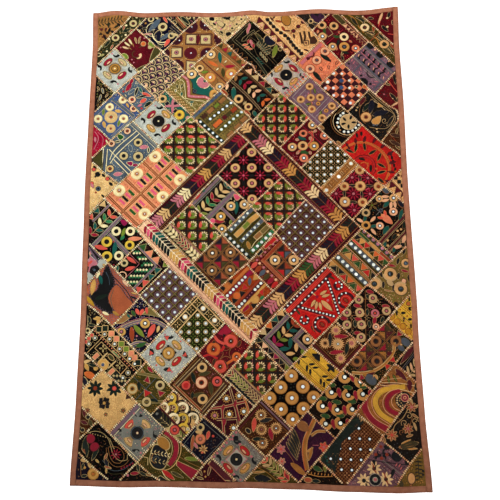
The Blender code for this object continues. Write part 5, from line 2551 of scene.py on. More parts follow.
# Each patch: its name, its sides (left, right, top, bottom), its ground and its chart
CHARTS = (
    ("Aw", (-60, "left_corner", -220, 220), "tan", """
        line 2 forest @ 40,16 62,-18 84,-52; pair 17 5 62 forest/forest/moss ~8 @ 40,16,-57 82,-48,-57;
        tri 12 12 maroon @ 64,24,160; tri 10 10 black @ 76,38,100 88,20,40 60,40,200;
        leaf 16 6 maroon @ 76,14,60 90,36,100; blob 12 7 soot @ 92,-30 98,4;
        litter sprigs 9 7 forest ochre maroon moss; leaf 26 9 soot @ 88,10,60 96,36,20;
        leaf 20 8 moss @ 92,-20,100 70,-4,40; litter ticks 6 5 soot moss"""),
    ("As", ("left_corner", "col_a_left", -220, 220), "moss", """
        eye 14 sand maroon @ 123,-68 122,12; eye 9 sand brown @ 128,94; rim sand;
        leaf 34 11 forest @ 127,-104,70 127,-34,-75 118,46,80; rim none;
        leaf 20 7 crimson @ 138,-44,100 138,44,70 113,-34,60;
        dot 4 cream @ 112,-46 137,-20 110,30 138,66 114,-92;
        leaf 18 6 leaf @ 112,62,60 136,88,120 136,-86,60; litter sprigs 8 6 sand teal ochre"""),
    ("A1", ("col_a_left", "col_b_left", -340, "cross_a12"), "charcoal", """
        blob 40 13 forest @ 242,-196; eye 9 sand brown @ 242,-212; dot 4 sand @ 256,-224;
        band 6 rust @ 212,-184 262,-178; line 2.4 sand @ 208,-188 266,-184;
        line 2.4 tan @ 214,-176 266,-170; blob 14 8 black @ 198,-167 222,-168;
        litter knots 6 3.4 sand rose soot forest"""),
    ("A2", ("col_a_left", "col_b_left", "cross_a12", "cross_a23"), "navy", """
        leaf 30 9 coral @ 192,-152,15; band 9 navy @ 222,-146 266,-148; rim sand;
        leaf 62 22 slate @ 180,-112,84; leaf 54 16 slate @ 238,-112,-76;
        shape navy @ 204,-108 220,-108 238,-84 224,-76 206,-86;
        leaf 18 9 charcoal @ 164,-82,-40 250,-72,-20; rim none; arc 4 34 110 cream @ 222,-110,80;
        curl 2.6 9 1.1 cream @ 184,-103 230,-104,40; eye 17 sand brown @ 205,-127;
        eye 13 sand forest @ 250,-124; eye 12 sand black @ 154,-121; leaf 34 15 coral @ 258,-96,76;
        leaf 30 8 rose @ 188,-76,-44; dot 4 ochre @ 152,-98 158,-66 205,-66;
        litter sprigs 8 6 sand ochre; leaf 26 12 sand @ 160,-140,20 255,-134,-30;
        arc 2.4 26 200 cream @ 190,-100,120; arc 2.4 22 200 cream @ 236,-96,60"""),
    ("A3", ("col_a_left", "col_b_left", "cross_a23", "cross_a34"), "maroon", """
        shape olive @ 240,-60 266,-60 268,-10 256,-22; shape olive @ 256,40 268,38 267,8 260,22;
        blob 26 16 leaf @ 225,-56 194,36; dot 6 sand @ 228,-46; leaf 24 6 tan @ 176,-30,30 184,-38,52;
        leaf 24 7 cream @ 166,-14,16 166,0,-6; leaf 22 7 peach @ 172,13,-26;
        leaf 18 5 tan @ 182,-12,24 184,4,-8; leaf 16 4 olive @ 204,-24,100;
        arc 3 13 190 olive @ 214,4,110; comma 22 peach @ 222,6,-90; dot 8 orange @ 203,-39;
        dot 3 rose @ 177,-50 219,28 231,31 190,-56 160,24; litter ticks 11 4 maroon crimson wine"""),
    ("A4", ("col_a_left", "col_b_left", "cross_a34", "cross_a45"), "pale", """
        wheel ochre sand crimson @ 204,91"""),
    ("A5", ("col_a_left", "col_b_left", "cross_a45", 340), "soot", """
        leaf 22 8 slate @ 234,174,30 246,196,60; leaf 16 6 maroon @ 256,176,80 218,178,20;
        litter sprigs 7 6 sand navy ochre leaf"""),
    ("B1", ("col_b_left", "col_c_left", "row_e_top", "cross_b12"), "tan", """
        rim tan; line 6 wine @ 342,-224 312,-193 282,-163 308,-134 338,-162 372,-193 342,-224;
        line 6 wine @ 280,-98 308,-120 334,-94 308,-66; line 6 wine @ 380,-114 352,-94 378,-68;
        leaf 40 17 maroon @ 324,-176,50; rim maroon;
        dot 24 wine @ 303,-238 272,-192 386,-160 267,-126 343,-58 276,-58; dot 34 wine @ 382,-240;
        dot 21 maroon @ 343,-123; rim none; up 1;
        glass 2.4 bare @ 302,-229 276,-194 376,-164 344,-124 283,-130; up 0;
        box 33 33 sand @ 342,-194,45 307,-161,45 308,-92,45 377,-93,45; up 0.8;
        eye 7 rose slate brown @ 342,-194 307,-161 308,-92 377,-93; up 0;
        litter knots 6 3.4 sand tan ochre"""),
    ("B2", ("col_b_left", "col_c_left", "cross_b12", "cross_b23"), "purple", """
        scales 16 -100 sand navy sand peach; up 0.9;
        dot 3.6 black @ 294,-48 318,-40 350,-46 292,-12 346,-12 320,10 294,36 352,38 326,44; up 0;
        dot 5 peach @ 326,-28 358,-58 290,6 358,4 356,52 322,60; litter knots 6 3 sand navy rose"""),
    ("B3", ("col_b_left", "col_c_left", "cross_b23", "cross_b34"), "slate", """
        rim cream; leaf 24 12 crimson @ 276,84,70; leaf 38 17 crimson @ 285,106,74;
        leaf 36 9 charcoal @ 314,98,60 340,97,120; leaf 22 10 teal @ 320,84,20;
        leaf 34 13 coral @ 346,82,-20; leaf 26 15 coral @ 354,105,100; leaf 32 14 forest @ 374,103,95;
        leaf 30 13 slate @ 303,108,95; rim none; leaf 18 9 rose @ 358,124,110;
        eye 13 peach red @ 325,127; dot 4 red @ 284,127 370,127; dot 4 forest @ 330,80;
        leaf 12 5 sand @ 300,132,10; litter sprigs 8 6 cream teal peach"""),
    ("B4", ("col_b_left", "col_c_left", "cross_b34", "cross_b45"), "blue", """
        box 15 20 blue @ 287,158; leaf 20 9 gold @ 330,152,20; eye 14 cream rust sand @ 304,149;
        eye 13 peach rust @ 352,146; band 8 slate @ 276,172 372,164; line 1.6 sand @ 276,177 372,169;
        line 1.6 sand @ 276,167 372,159; band 5 slate @ 277,172 281,268; band 5 grey @ 375,160 377,272;
        line 1.6 sand @ 283,178 286,266; line 1.6 sand @ 370,170 371,268;
        band 5 slate @ 290,269 372,264; eye 21 honey rust sand @ 322,218; rim sand;
        eye 15 cream rust sand @ 355,193; eye 14 cream rust sand @ 293,197;
        eye 14 cream rust sand @ 297,252; eye 15 honey rust sand @ 351,246;
        leaf 24 12 gold @ 324,187,-30; leaf 24 12 gold @ 326,252,30;
        leaf 24 10 leaf @ 356,215,60 292,224,50; rim none; litter knots 5 3.2 sand leaf cream slate"""),
    ("B5", ("col_b_left", "col_c_left", "cross_b45", 470), "crimson", """
        line 3 rose @ 322,290 346,296 366,334; line 2 rose @ 330,284 356,286 380,312;
        leaf 22 9 rose @ 344,308,40; leaf 18 8 cream @ 376,286,20; litter sprigs 9 6 rose maroon"""),
    ("F1", (210, "seam_f12", "row_f_top", "row_e_top"), "sand", """
        leaf 26 6 black @ 330,-298,120 337,-301,118 344,-304,116 350,-309,114;
        blob 16 12 black @ 302,-264; dot 6 black @ 382,-258; dot 4 black @ 378,-283 378,-304 376,-328;
        blob 12 5 black @ 322,-255 362,-249; wave 2.6 2 6 black @ 276,-247 374,-242;
        wave 2.4 2 6 black @ 387,-340 386,-250; dot 4 cream @ 392,-330 392,-300 392,-270;
        blob 18 26 sand @ 352,-312; blob 36 16 sand @ 336,-270;
        dot 4 rose @ 366,-285 322,-262 368,-338 352,-256; litter knots 6 3.6 tan gold rose;
        leaf 22 7 soot @ 330,-300,40 350,-270,80; dot 6 soot @ 300,-262 384,-262;
        litter ticks 4 5 soot maroon rust rose"""),
    ("C1", ("col_c_left", "col_d_left", "row_e_top", "cross_c12"), "tan", """
        tri 17 19 olive/crimson/teal/rust/olive/crimson ~6 @ 395,-213,-90 503,-213,-90;
        band 6 tan @ 384,-199 506,-200; line 1.6 sand @ 384,-193 506,-194; rim tan;
        leaf 44 15 teal @ 424,-179,40; leaf 36 14 crimson @ 471,-179,-48;
        leaf 42 13 orange @ 424,-148,-14; leaf 36 15 olive @ 471,-147,42; rim none;
        leaf 13 7 cream @ 448,-181,90 448,-143,90; line 2 coral @ 438,-165 458,-165;
        eye 17 honey glass navy @ 394,-167; eye 19 gold glass orange @ 493,-162;
        eye 14 honey brown @ 404,-106; eye 17 gold glass orange @ 452,-106;
        eye 15 honey glass navy @ 498,-104; leaf 24 12 leaf @ 425,-108,-50;
        band 4 maroon @ 384,-131 506,-129; litter sprigs 7 5 tan olive sand maroon"""),
    ("C2", ("col_c_left", "col_d_left", "cross_c12", "cross_c23"), "khaki", """
        plate teal @ 414,-88 500,-88 506,-52 480,-44 451,-26 425,-50 400,-58; up 0.6;
        eye 18 honey glass navy @ 400,-72; eye 18 gold black ochre @ 506,-74; rim cream;
        dot 22 rose @ 449,-78; rim none; up 1.2; line 1.4 cream @ 449,-80 432,-66;
        line 1.4 cream @ 449,-80 442,-58; line 1.4 cream @ 449,-80 456,-58;
        line 1.4 cream @ 449,-80 466,-66; up 0.6; eye 7 slate black @ 451,-37; rim rust;
        band 9 rose @ 382,-47 402,-48 420,-38 450,-10 474,-30 492,-46 506,-49; rim none; up 1.1;
        dot 1.5 cream ~15 @ 384,-47 402,-48 450,-11 492,-46 506,-49; up 0;
        line 2 cream @ 382,-33 402,-34 424,-18 448,2 474,-14 492,-30 506,-34; rim cream;
        leaf 16 9 teal @ 428,1,50 471,-2,130; leaf 12 7 teal @ 477,5,60;
        leaf 16 9 olive @ 398,-8,40 408,-20,60; leaf 12 7 slate @ 405,6,50; rim none;
        checker 4.4 honey tan none @ 384,14 504,28; litter knots 5.5 3 cream leaf olive sand;
        line 1.4 cream @ 396,-20 440,8 500,-30; line 1.4 cream @ 396,6 500,6;
        litter ticks 6 5 teal soot green"""),
    ("C3", ("col_c_left", "col_d_left", "cross_c23", "cross_c34"), "teal", """
        box 12 14 navy @ 437,38 418,57 457,57; rim rose;
        leaf 28 9 rose ~4 @ 428,41,225 446,41,315 446,60,405 428,60,495; rim none;
        eye 15 honey forest @ 395,56; eye 17 yellow soot ochre @ 475,57; leaf 14 8 rose @ 500,46,90;
        litter ticks 7 5 cream leaf rose"""),
    ("C4", ("col_c_left", "col_d_left", "cross_c34", "cross_c45"), "pale", """
        wheel soot gold crimson @ 443,120"""),
    ("C5", ("col_c_left", "col_d_left", "cross_c45", "cross_c56"), "slate", """
        band 8 grey @ 384,184 506,184; line 1.8 cream @ 384,192 506,192;
        line 3.2 cream @ 416,193 417,298 428,322; line 3.2 cream @ 429,193 431,300 438,330;
        band 5 slate @ 422,194 424,300; line 3.2 cream @ 400,299 506,301;
        line 3.2 cream @ 436,312 506,313; band 5 slate @ 436,306 506,307;
        plate olive @ 386,316 386,362 442,362; line 3.2 cream @ 396,302 450,360;
        line 3.2 cream @ 386,310 432,360; band 6 slate @ 391,306 440,359; rim soot;
        eye 15 sand black @ 449,217 450,281; eye 17 sand black @ 484,250; rim none;
        eye 12 peach rust @ 395,214 391,280; eye 13 honey rust @ 451,342; rim cream;
        heart 12 green @ 395,244,180; leaf 30 16 rose @ 474,214,-48 482,336,-50;
        leaf 26 13 slate @ 446,248,30; heart 10 magenta @ 484,284,150; leaf 20 11 magenta @ 499,276,-50;
        leaf 20 8 forest @ 492,212,50 400,262,-50; rim none; line 1.6 cream @ 404,244 414,246;
        litter sprigs 8 5 cream slate sand"""),
    ("C6", ("col_c_left", "col_d_left", "cross_c56", 620), "honey", """
        blob 13 6 black @ 413,373 453,372; dot 8 black @ 437,382; blob 14 7 black @ 491,375;
        dot 3.4 black @ 437,393; eye 8 slate black @ 474,414; dot 4 rust @ 478,428;
        dot 6 coral @ 416,380 470,371 446,416; leaf 22 10 rose @ 452,420,20; blob 12 5 black @ 502,420;
        wave 2.4 2 4 soot @ 465,366 506,362; dot 3 cream @ 437,377;
        litter ticks 7 5 sand gold cream peach"""),
    ("D1", ("col_d_left", "medallion_left", "row_e_foot", "cross_d12"), "khaki", """
        band 10 slate @ 516,-92 514,30; band 13 olive @ 564,-92 556,16; band 14 olive @ 613,-92 608,16;
        band 13 forest @ 530,27 648,26; up 0.6; glass 3.8 slate blue ~6 @ 517,-87 514,4;
        glass 4.4 forest ~6 @ 566,-88 557,-2; glass 4.6 leaf ~6 @ 613,-88 609,-1;
        glass 4.2 forest ~6 @ 542,27 635,26; up 0; dot 2.3 black ~13 @ 529,-88 527,14;
        dot 2.3 black ~13 @ 552,-88 545,14; dot 2.3 black ~13 @ 577,-88 571,14;
        dot 2.3 black ~13 @ 600,-88 594,14; dot 2.3 black ~13 @ 626,-88 622,14;
        box 26 14 tan @ 538,-76,90 636,-76,90; box 20 12 leaf @ 538,-50,90; box 26 14 tan @ 536,-24,90;
        box 22 14 rust @ 589,-78,90; box 14 13 maroon @ 586,-38,90; box 34 16 orange @ 585,-8,90;
        box 22 12 olive @ 588,-56,90; box 26 12 tan @ 638,-44,90 640,-10,90; box 20 12 brown @ 536,4,90;
        dot 7 grey @ 514,33; dot 6 peach @ 530,34; litter ticks 6 5 sand olive soot leaf;
        litter ticks 5 4 cream soot cream moss"""),
    ("D2", ("col_d_left", "medallion_left", "cross_d12", "cross_d23"), "brown", """
        tulips 50 0 coral leaf cream leaf @ 536,117; litter knots 5 2.8 honey cream;
        litter ticks 4 3 rose sand cream"""),
    ("D3", ("col_d_left", "medallion_left", "cross_d23", "row_p_top"), "salmon", """
        line 1.6 gold ~2 @ 508,188 652,187; line 2 rust @ 541,186 545,420;
        band 7 rust @ 578,184 584,420; line 1.4 honey @ 573,184 579,420;
        line 1.4 honey @ 584,184 590,420; band 7 rust @ 510,252 652,251; band 7 rust @ 510,331 652,330;
        band 7 rust @ 510,409 652,408; up 0.8; dot 1.5 honey ~30 @ 510,252 652,251;
        dot 1.5 honey ~30 @ 510,331 652,330; dot 1.5 honey ~30 @ 510,409 652,408;
        dot 1.5 honey ~48 @ 578,186 584,419; up 0; line 1.4 honey @ 510,259 652,258;
        line 1.4 honey @ 510,245 652,244; line 1.4 honey @ 510,338 652,337;
        line 1.4 honey @ 510,324 652,323; line 1.4 honey @ 510,402 652,401;
        eye 20 cream rust honey @ 523,212 524,293 525,371 637,211 639,289 639,368; rim honey;
        box 27 9 green/pink/soot/pink ~4 @ 556,192 557,232;
        box 27 9 green/pink/soot/pink ~4 @ 557,270 558,311;
        box 27 9 green/pink/soot/pink ~4 @ 558,349 559,390;
        box 27 9 pink/soot/pink/green ~4 @ 605,190 606,232;
        box 27 9 pink/soot/pink/green ~4 @ 606,270 607,312;
        box 27 9 pink/soot/pink/green ~4 @ 606,349 607,390; rim none;
        litter ticks 4 5 rust gold terracotta; up 1.6;
        dot 2.4 white @ 523,212 524,293 525,371 637,211 639,289 639,368"""),
    ("E2", ("col_d_left", "seam_e23", "row_e_top", "row_e_foot"), "soot", """
        tri 19 27 peach/sand/crimson/teal/sand ~5 @ 530,-210,-90 652,-209,-90;
        band 4 brown @ 508,-194 656,-193; line 1.6 tan @ 508,-198 656,-197; rim brown;
        pair 23 12 54 tan/teal/crimson/sand/peach/teal/orange ~7 @ 508,-171 634,-168; rim none;
        band 7 brown @ 510,-145 600,-142 654,-136; leaf 46 18 teal @ 548,-118,46;
        leaf 22 10 peach @ 516,-120,60; blob 34 10 rust @ 522,-101; eye 16 honey black @ 574,-115;
        eye 14 honey maroon @ 616,-117; band 3 brown @ 590,-138 591,-98;
        band 3 brown @ 597,-138 598,-98; leaf 24 14 teal @ 648,-114,20; blob 26 9 rust @ 628,-101;
        leaf 16 7 sand @ 598,-118,90; litter knots 6 3.4 brown tan maroon"""),
    ("E3", ("seam_e23", "seam_e34", "row_e_top", "row_e_foot"), "brown", """
        tulips 49 90 @ 697,-190; litter knots 5 2.8 honey cream"""),
    ("E4", ("seam_e34", "seam_e45", "row_e_top", "row_e_foot"), "maroon", """
        line 9 coral @ 806,-176 822,-196 842,-172 838,-118; line 8 orange @ 812,-118 834,-142 860,-166;
        band 3 wine ~2 @ 788,-195 876,-192; band 3 wine @ 788,-186 876,-183;
        band 3 crimson @ 788,-190 876,-187; rim soot; leaf 30 14 teal @ 814,-158,-25;
        leaf 30 14 green @ 853,-128,-32; rim none; up 0.3; eye 15 honey glass @ 806,-214 812,-115;
        eye 15 salmon glass @ 858,-214 864,-113; eye 14 salmon forest @ 805,-173;
        eye 16 gold glass @ 859,-165; eye 17 honey brown @ 833,-141;
        leaf 12 7 rose @ 826,-205,90 832,-176,60 838,-112,90 866,-140,30 806,-144,-40;
        litter ticks 7 5 crimson coral wine rose"""),
    ("E5", ("seam_e45", "seam_e56", "row_e_top", "row_e_foot"), "forest", """
        mirror_grid 15.8 5 sand honey turns; litter knots 5 2.4 olive ochre"""),
    ("E6", ("seam_e56", "seam_e67", "row_e_top", "row_e_foot"), "tan", """
        up 0.8; glass 5.5 honey white ~3 @ 981,-203 987,-84; up 0; line 3.4 gold @ 969,-224 974,-70;
        line 3.4 gold @ 994,-224 1000,-70;
        box 15 2.2 honey @ 982,-189,3 983,-163,3 983,-157,3 985,-130,3 986,-104,3;
        star 9 4 gold @ 982,-176,45 986,-117,45; star 4 4 honey ~9 @ 977,-214,45 980,-80,45"""),
    ("E7", ("seam_e67", "seam_e78", "row_e_top", "row_e_foot"), "wine", """
        leaf 24 9 soot @ 1034,-186,45 1071,-188,-45 1034,-152,-45 1074,-150,45 1034,-115,45
            1072,-114,-45;
        star 24 10 crimson rose @ 1051,-204 1015,-172 1091,-170 1054,-135 1016,-97 1092,-97;
        leaf 16 4 pink @ 1030,-196,-30 1034,-182,60 1075,-178,-60 1030,-143,-60 1078,-142,60
            1075,-106,60; eye 15 honey rust tan @ 1015,-206 1093,-206 1018,-133 1093,-134;
        eye 17 honey maroon tan @ 1052,-168; eye 17 honey glass tan @ 1053,-97;
        litter ticks 6 4 soot purple black"""),
    ("F2", ("seam_f12", "seam_f23", "row_f_top", "row_e_top"), "black", """
        rim forest; line 1.6 sand @ 404,-344 408,-252 520,-249 580,-236;
        line 1.6 sand @ 411,-340 416,-260 520,-257 580,-244;
        line 1.6 tan @ 447,-342 442,-300 470,-304 520,-300 580,-293; line 1.6 sand @ 442,-306 448,-340;
        line 1.6 tan @ 442,-296 580,-285; line 1.6 tan @ 440,-281 478,-281 505,-269 580,-264;
        band 5 forest @ 520,-252 580,-240;
        line 1.8 sand @ 434,-328 431,-300 430,-278 435,-270 441,-276 438,-300 441,-326 434,-328;
        rim sand; dot 22 navy @ 499,-340; rim none; eye 12 slate navy @ 499,-340;
        leaf 26 10 rose @ 415,-326,52 422,-312,52 463,-287,35;
        leaf 18 9 crimson @ 452,-284,60 475,-284,50;
        leaf 18 8 coral @ 452,-268,-50 463,-266,-60 474,-268,-40;
        leaf 26 9 forest ~7 @ 466,-318,20 522,-310,130; leaf 18 6 teal ~6 @ 480,-300,60 528,-298,110;
        rim sand; leaf 50 17 leaf @ 538,-320,62; dot 6 olive @ 545,-338; leaf 34 11 olive @ 462,-322,0;
        rim none; leaf 14 6 teal ~4 @ 512,-281,50 542,-277,50;
        leaf 12 5 teal ~4 @ 516,-262,-50 540,-258,-50; rim tan;
        heart 8 black ~8 @ 424,-233,-90 576,-227,-90; rim none; leaf 18 4 green @ 412,-344,80;
        litter sprigs 9 4 moss forest"""),
    ("F3", ("seam_f23", "seam_f34", "row_f_top", "row_e_top"), "pale", """
        rim rose; dot 3 rose @ 604,-318 646,-318 604,-248 646,-248; rim none;
        wheel black crimson gold @ 624,-284; dot 4.4 rose ~8 @ 664,-326 665,-236;
        dot 4.4 salmon ~8 @ 674,-324 675,-234; line 2 maroon @ 669,-330 670,-230;
        litter ticks 6 4 lilac salmon rose"""),
    ("F4", ("seam_f34", "seam_f45", "row_f_top", "row_e_top"), "mauve", """
        line 2 pale @ 688,-324 693,-240 822,-236; line 5 mauve @ 695,-322 700,-247 822,-243;
        line 2 pale @ 703,-320 706,-252 776,-250; line 5 mauve @ 783,-322 787,-242;
        line 2 pale @ 776,-320 780,-240; line 2 pale @ 790,-320 794,-240;
        line 5 tan @ 708,-306 737,-282 766,-254; line 5 tan @ 757,-302 737,-282 718,-252;
        band 4 mauve @ 696,-318 822,-314; up 0.4;
        eye 13 honey brown tan @ 707,-306 757,-301 737,-280 718,-253 805,-306 811,-254;
        eye 13 honey rust tan @ 767,-253; eye 7 gold brown tan @ 768,-281 803,-281; up 0;
        leaf 20 8 leaf @ 730,-306,40 747,-258,-50 796,-262,60; leaf 10 5 rose @ 722,-284,60 752,-270,20;
        litter knots 6 3 lilac navy mauve"""),
    ("F5", ("seam_f45", "seam_f56", "row_f_top", "row_e_top"), "black", """
        rim cream; dot 26 sand @ 879,-302; rim none; arc 2 45 170 cream @ 877,-300,90;
        arc 1.6 52 170 tan @ 877,-300,90; line 1.6 tan @ 831,-322 832,-296;
        line 1.6 sand @ 838,-322 836,-296; line 1.6 cream @ 846,-322 844,-296; up 1.6;
        leaf 17 9 black @ 865,-300,10 875,-318,70 893,-313,-50 891,-290,50 873,-286,-60;
        glass 4.2 navy white @ 848,-312 847,-300 850,-287 857,-275 870,-267 893,-267 903,-276 909,-289
            910,-303 910,-317; up 0; dot 3 honey @ 863,-268 880,-263 899,-262 912,-274;
        blob 18 8 tan @ 832,-230 908,-228; litter ticks 9 4 charcoal soot"""),
    ("F6", ("seam_f56", "seam_f67", "row_f_top", "row_e_top"), "red", """
        leaf 24 10 maroon ~9 @ 934,-240,200 946,-286,235 985,-318,262 1040,-318,278 1080,-286,310
            1102,-238,340;
        band 8 orange @ 934,-222 937,-244 948,-268 968,-287 996,-297 1024,-298 1052,-290 1076,-274
            1090,-250 1098,-222;
        line 1.4 gold @ 930,-222 933,-246 945,-271 966,-291 995,-302 1025,-303 1054,-295 1079,-278
            1094,-252; rim gold;
        leaf 30 10 forest @ 950,-232,-20 957,-252,60 973,-275,40 1003,-278,-76 1029,-280,70
            1053,-264,-14 1068,-248,-60 1086,-226,0; rim none;
        band 7 red @ 982,-222 986,-240 1000,-254 1016,-258 1032,-253 1046,-240 1052,-224;
        line 1.4 soot @ 978,-222 982,-242 998,-258 1016,-262 1034,-257 1050,-242 1056,-224;
        leaf 24 9 forest @ 994,-238,-20 1036,-234,50; arc 5 12 200 orange @ 1015,-226,-90;
        dot 5 red @ 1015,-228; dot 4 orange @ 1018,-239 1049,-245 1098,-280;
        leaf 13 7 soot ~5 @ 1048,-313,40 1092,-284,60; leaf 16 8 soot @ 936,-301,50 930,-287,40;
        litter ticks 8 4 red maroon rust"""),
    ("F7", ("seam_f67", 1300, -340, "row_e_top"), "honey", """
        box 10 10 soot ~4 @ 1112,-264,45 1160,-256,45; line 2 cream @ 1106,-273 1170,-266;
        line 2 cream @ 1106,-254 1170,-246; line 5 maroon @ 1106,-246 1180,-240;
        tri 20 22 maroon ~4 @ 1120,-236,90 1190,-236,90; dot 5 maroon @ 1122,-282 1112,-276;
        litter knots 6 3 tan honey"""),
    ("G1", (380, "seam_g12", "row_g_top", "row_f_top"), "honey", """
        blob 46 30 ochre @ 484,-430,30; flower 13 6 leaf ochre @ 488,-434;
        leaf 24 9 rust @ 470,-410,-30 500,-400,20 458,-440,60 478,-456,10;
        dot 6.5 maroon @ 530,-463 530,-440 530,-417; dot 3 rust @ 530,-451 530,-429 530,-406;
        leaf 18 6 maroon @ 447,-412,70 515,-404,140 545,-404,40 448,-400,10 609,-394,-20;
        line 6 brown @ 549,-428 566,-416 584,-402; line 6 brown @ 556,-440 574,-426 582,-414;
        line 6 brown @ 568,-449 590,-434; plate brown @ 592,-450 612,-444 614,-432 602,-420 588,-436;
        line 4 brown @ 590,-425 602,-413 592,-402 580,-413 590,-425; dot 4 maroon @ 591,-413;
        line 2.4 cream @ 428,-398 446,-394 480,-390 530,-396 570,-386 614,-384;
        line 2.4 cream @ 428,-381 480,-374 530,-377 570,-368 614,-364;
        box 11 11 soot ~12 @ 440,-388,45 484,-382,45 530,-387,45 570,-378,45 606,-374,45;
        dot 3 cream ~12 @ 446,-393 484,-389 530,-394 570,-385 600,-382;
        line 5 maroon @ 412,-374 500,-366 560,-360 618,-356;
        tri 22 24 maroon ~7 @ 424,-364,90 614,-348,90; tri 15 14 peach ~6 @ 440,-360,-90 600,-346,-90;
        litter knots 6 3 ochre tan cream"""),
    ("G2", ("seam_g12", "seam_g23", "row_g_top", "row_f_top"), "salmon", """
        band 12 rose @ 629,-446 631,-346; line 1.6 crimson @ 637,-446 639,-346; up 0.3;
        arc 5 11 200 maroon @ 629,-394,0; dot 6 maroon @ 633,-376;
        eye 16 peach slate rust @ 656,-434 659,-391 665,-353;
        leaf 44 13 forest @ 674,-418,-6 700,-350,8;
        leaf 16 7 salmon @ 704,-400,40 690,-378,10 712,-430,80; litter ticks 8 5 salmon rose peach rust"""),
    ("G3", ("seam_g23", "seam_g34", "row_g_top", "row_f_top"), "soot", """
        checker 17.8 salmon wine; up 1.4; glass 4.6 cream @ 730,-394 738,-358;
        glass 5.6 slate blue @ 766,-393 782,-375;
        glass 4.6 salmon @ 766,-355 748,-337 784,-337 806,-355 840,-355; glass 4 cream brown @ 815,-411;
        glass 4 honey @ 750,-412 840,-393 802,-392 784,-411; dot 7 orange @ 833,-430;
        litter ticks 6 4 tan rust maroon"""),
    ("G4", ("seam_g34", "seam_g45", "row_g_top", "row_f_top"), "charcoal", """
        line 1.6 sand @ 852,-428 900,-425 960,-424 978,-414 986,-390 990,-360;
        line 1.6 sand @ 856,-421 900,-418 944,-420 966,-420 978,-400 980,-370 964,-352 940,-336;
        line 1.6 tan @ 876,-412 892,-404 900,-390 906,-372; line 1.6 cream @ 880,-412 912,-414 942,-413;
        rim sand; leaf 54 22 navy @ 895,-392,58; leaf 58 22 navy @ 932,-396,-58;
        leaf 40 13 maroon @ 863,-386,80; leaf 36 14 forest @ 885,-378,80;
        leaf 42 11 charcoal @ 972,-396,80; rim none; curl 2 10 1.2 sand @ 958,-384,0;
        arc 1.8 50 110 tan @ 918,-386,140; shape gold @ 939,-388 952,-366 944,-352 930,-356 930,-370;
        dot 5 maroon @ 940,-366; eye 17 honey maroon tan @ 908,-354; tri 14 20 gold @ 912,-412,90;
        dot 4 slate @ 944,-350 951,-356; dot 3.4 sand @ 960,-346 968,-340 870,-350 866,-360;
        litter sprigs 9 4 navy slate tan"""),
    ("G5", ("seam_g45", 1220, "row_g_top", "row_f_top"), "brown", """
        leaf 44 14 brown @ 1020,-372,-30 1036,-350,-14; leaf 36 12 soot @ 1008,-402,30 1040,-376,50;
        leaf 22 8 olive @ 1010,-384,60 1050,-344,0; line 2 rust @ 1002,-360 1030,-356 1060,-336;
        litter sprigs 7 5 tan soot brown; litter knots 6 4 sand tan rust"""),
    ("H1", (460, "seam_h12", -640, "row_g_top"), "charcoal", """
        blob 60 44 purple @ 552,-510; eye 11 sand black @ 547,-482;
        leaf 22 9 navy @ 528,-500,30 566,-486,-40 560,-520,80; leaf 20 6 slate @ 540,-466,-10;
        litter sprigs 8 5 slate soot navy"""),
    ("H2", ("seam_h12", "seam_h23", "top_strip", "row_g_top"), "maroon", """
        tri 16 18 maroon ~7 @ 648,-552,90 726,-546,90; tri 14 16 peach ~4 @ 640,-552,-90 690,-550,-90;
        plate olive @ 588,-566 634,-562 630,-545 582,-548; line 2.4 maroon @ 574,-545 640,-541 732,-535;
        line 2.4 maroon @ 574,-539 640,-534 732,-528; band 5 maroon @ 636,-534 634,-456;
        band 3 crimson @ 643,-534 641,-456; plate maroon @ 600,-506 630,-500 628,-480 600,-486;
        rim soot; leaf 26 12 green @ 646,-500,-40 606,-486,40;
        leaf 24 10 forest @ 664,-488,60 706,-478,-30; rim none; eye 16 honey forest @ 613,-523 583,-497;
        eye 16 cream charcoal @ 664,-517; eye 18 gold slate @ 689,-491;
        eye 15 honey glass @ 662,-464 613,-468; eye 14 salmon glass @ 719,-513;
        leaf 22 9 soot @ 713,-456,30; leaf 20 8 olive @ 700,-470,70;
        leaf 12 6 coral @ 590,-470,60 640,-518,30 676,-468,50 690,-520,0;
        litter ticks 7 5 maroon crimson rust coral"""),
    ("H3", ("seam_h23", "seam_h34", "top_strip", "row_g_top"), "mauve", """
        dot 12 black @ 747,-552 792,-549 840,-545; dot 4 peach ~4 @ 768,-552 862,-548;
        band 5 slate @ 736,-541 866,-531; band 4 grey @ 736,-534 866,-524;
        band 5 slate @ 734,-490 868,-482; band 4 grey @ 734,-484 868,-476;
        comma 22 black ~5 @ 756,-527,100 847,-519,100; comma 22 black ~6 @ 734,-502,100 847,-497,100;
        line 2.4 rose ~2 @ 742,-514 860,-508; leaf 12 4 rose ~6 @ 744,-524,60 856,-516,60;
        leaf 12 4 peach ~6 @ 744,-500,60 856,-494,60; band 5 slate @ 770,-480 772,-444;
        band 5 slate @ 860,-478 862,-440; arc 5 16 140 black @ 818,-482,90; dot 15 black @ 819,-438;
        dot 4.5 black @ 741,-456 798,-452 840,-450;
        leaf 14 4 rose @ 740,-472,80 750,-470,80 782,-468,30 788,-456,30 848,-468,-30 850,-456,-30;
        line 1.6 pale @ 790,-474 846,-472; litter ticks 6 4 rose lilac slate"""),
    ("H4", ("seam_h34", 1040, "top_strip", "row_g_top"), "maroon", """
        leaf 40 12 soot @ 884,-516,40 926,-464,10; line 3 coral @ 876,-497 900,-490 930,-484;
        leaf 30 6 peach @ 944,-450,104; star 15 6 charcoal rose @ 896,-452;
        leaf 20 8 soot @ 880,-486,-20 938,-470,60; dot 3 cream @ 885,-520 926,-461;
        litter ticks 9 4 red maroon"""),
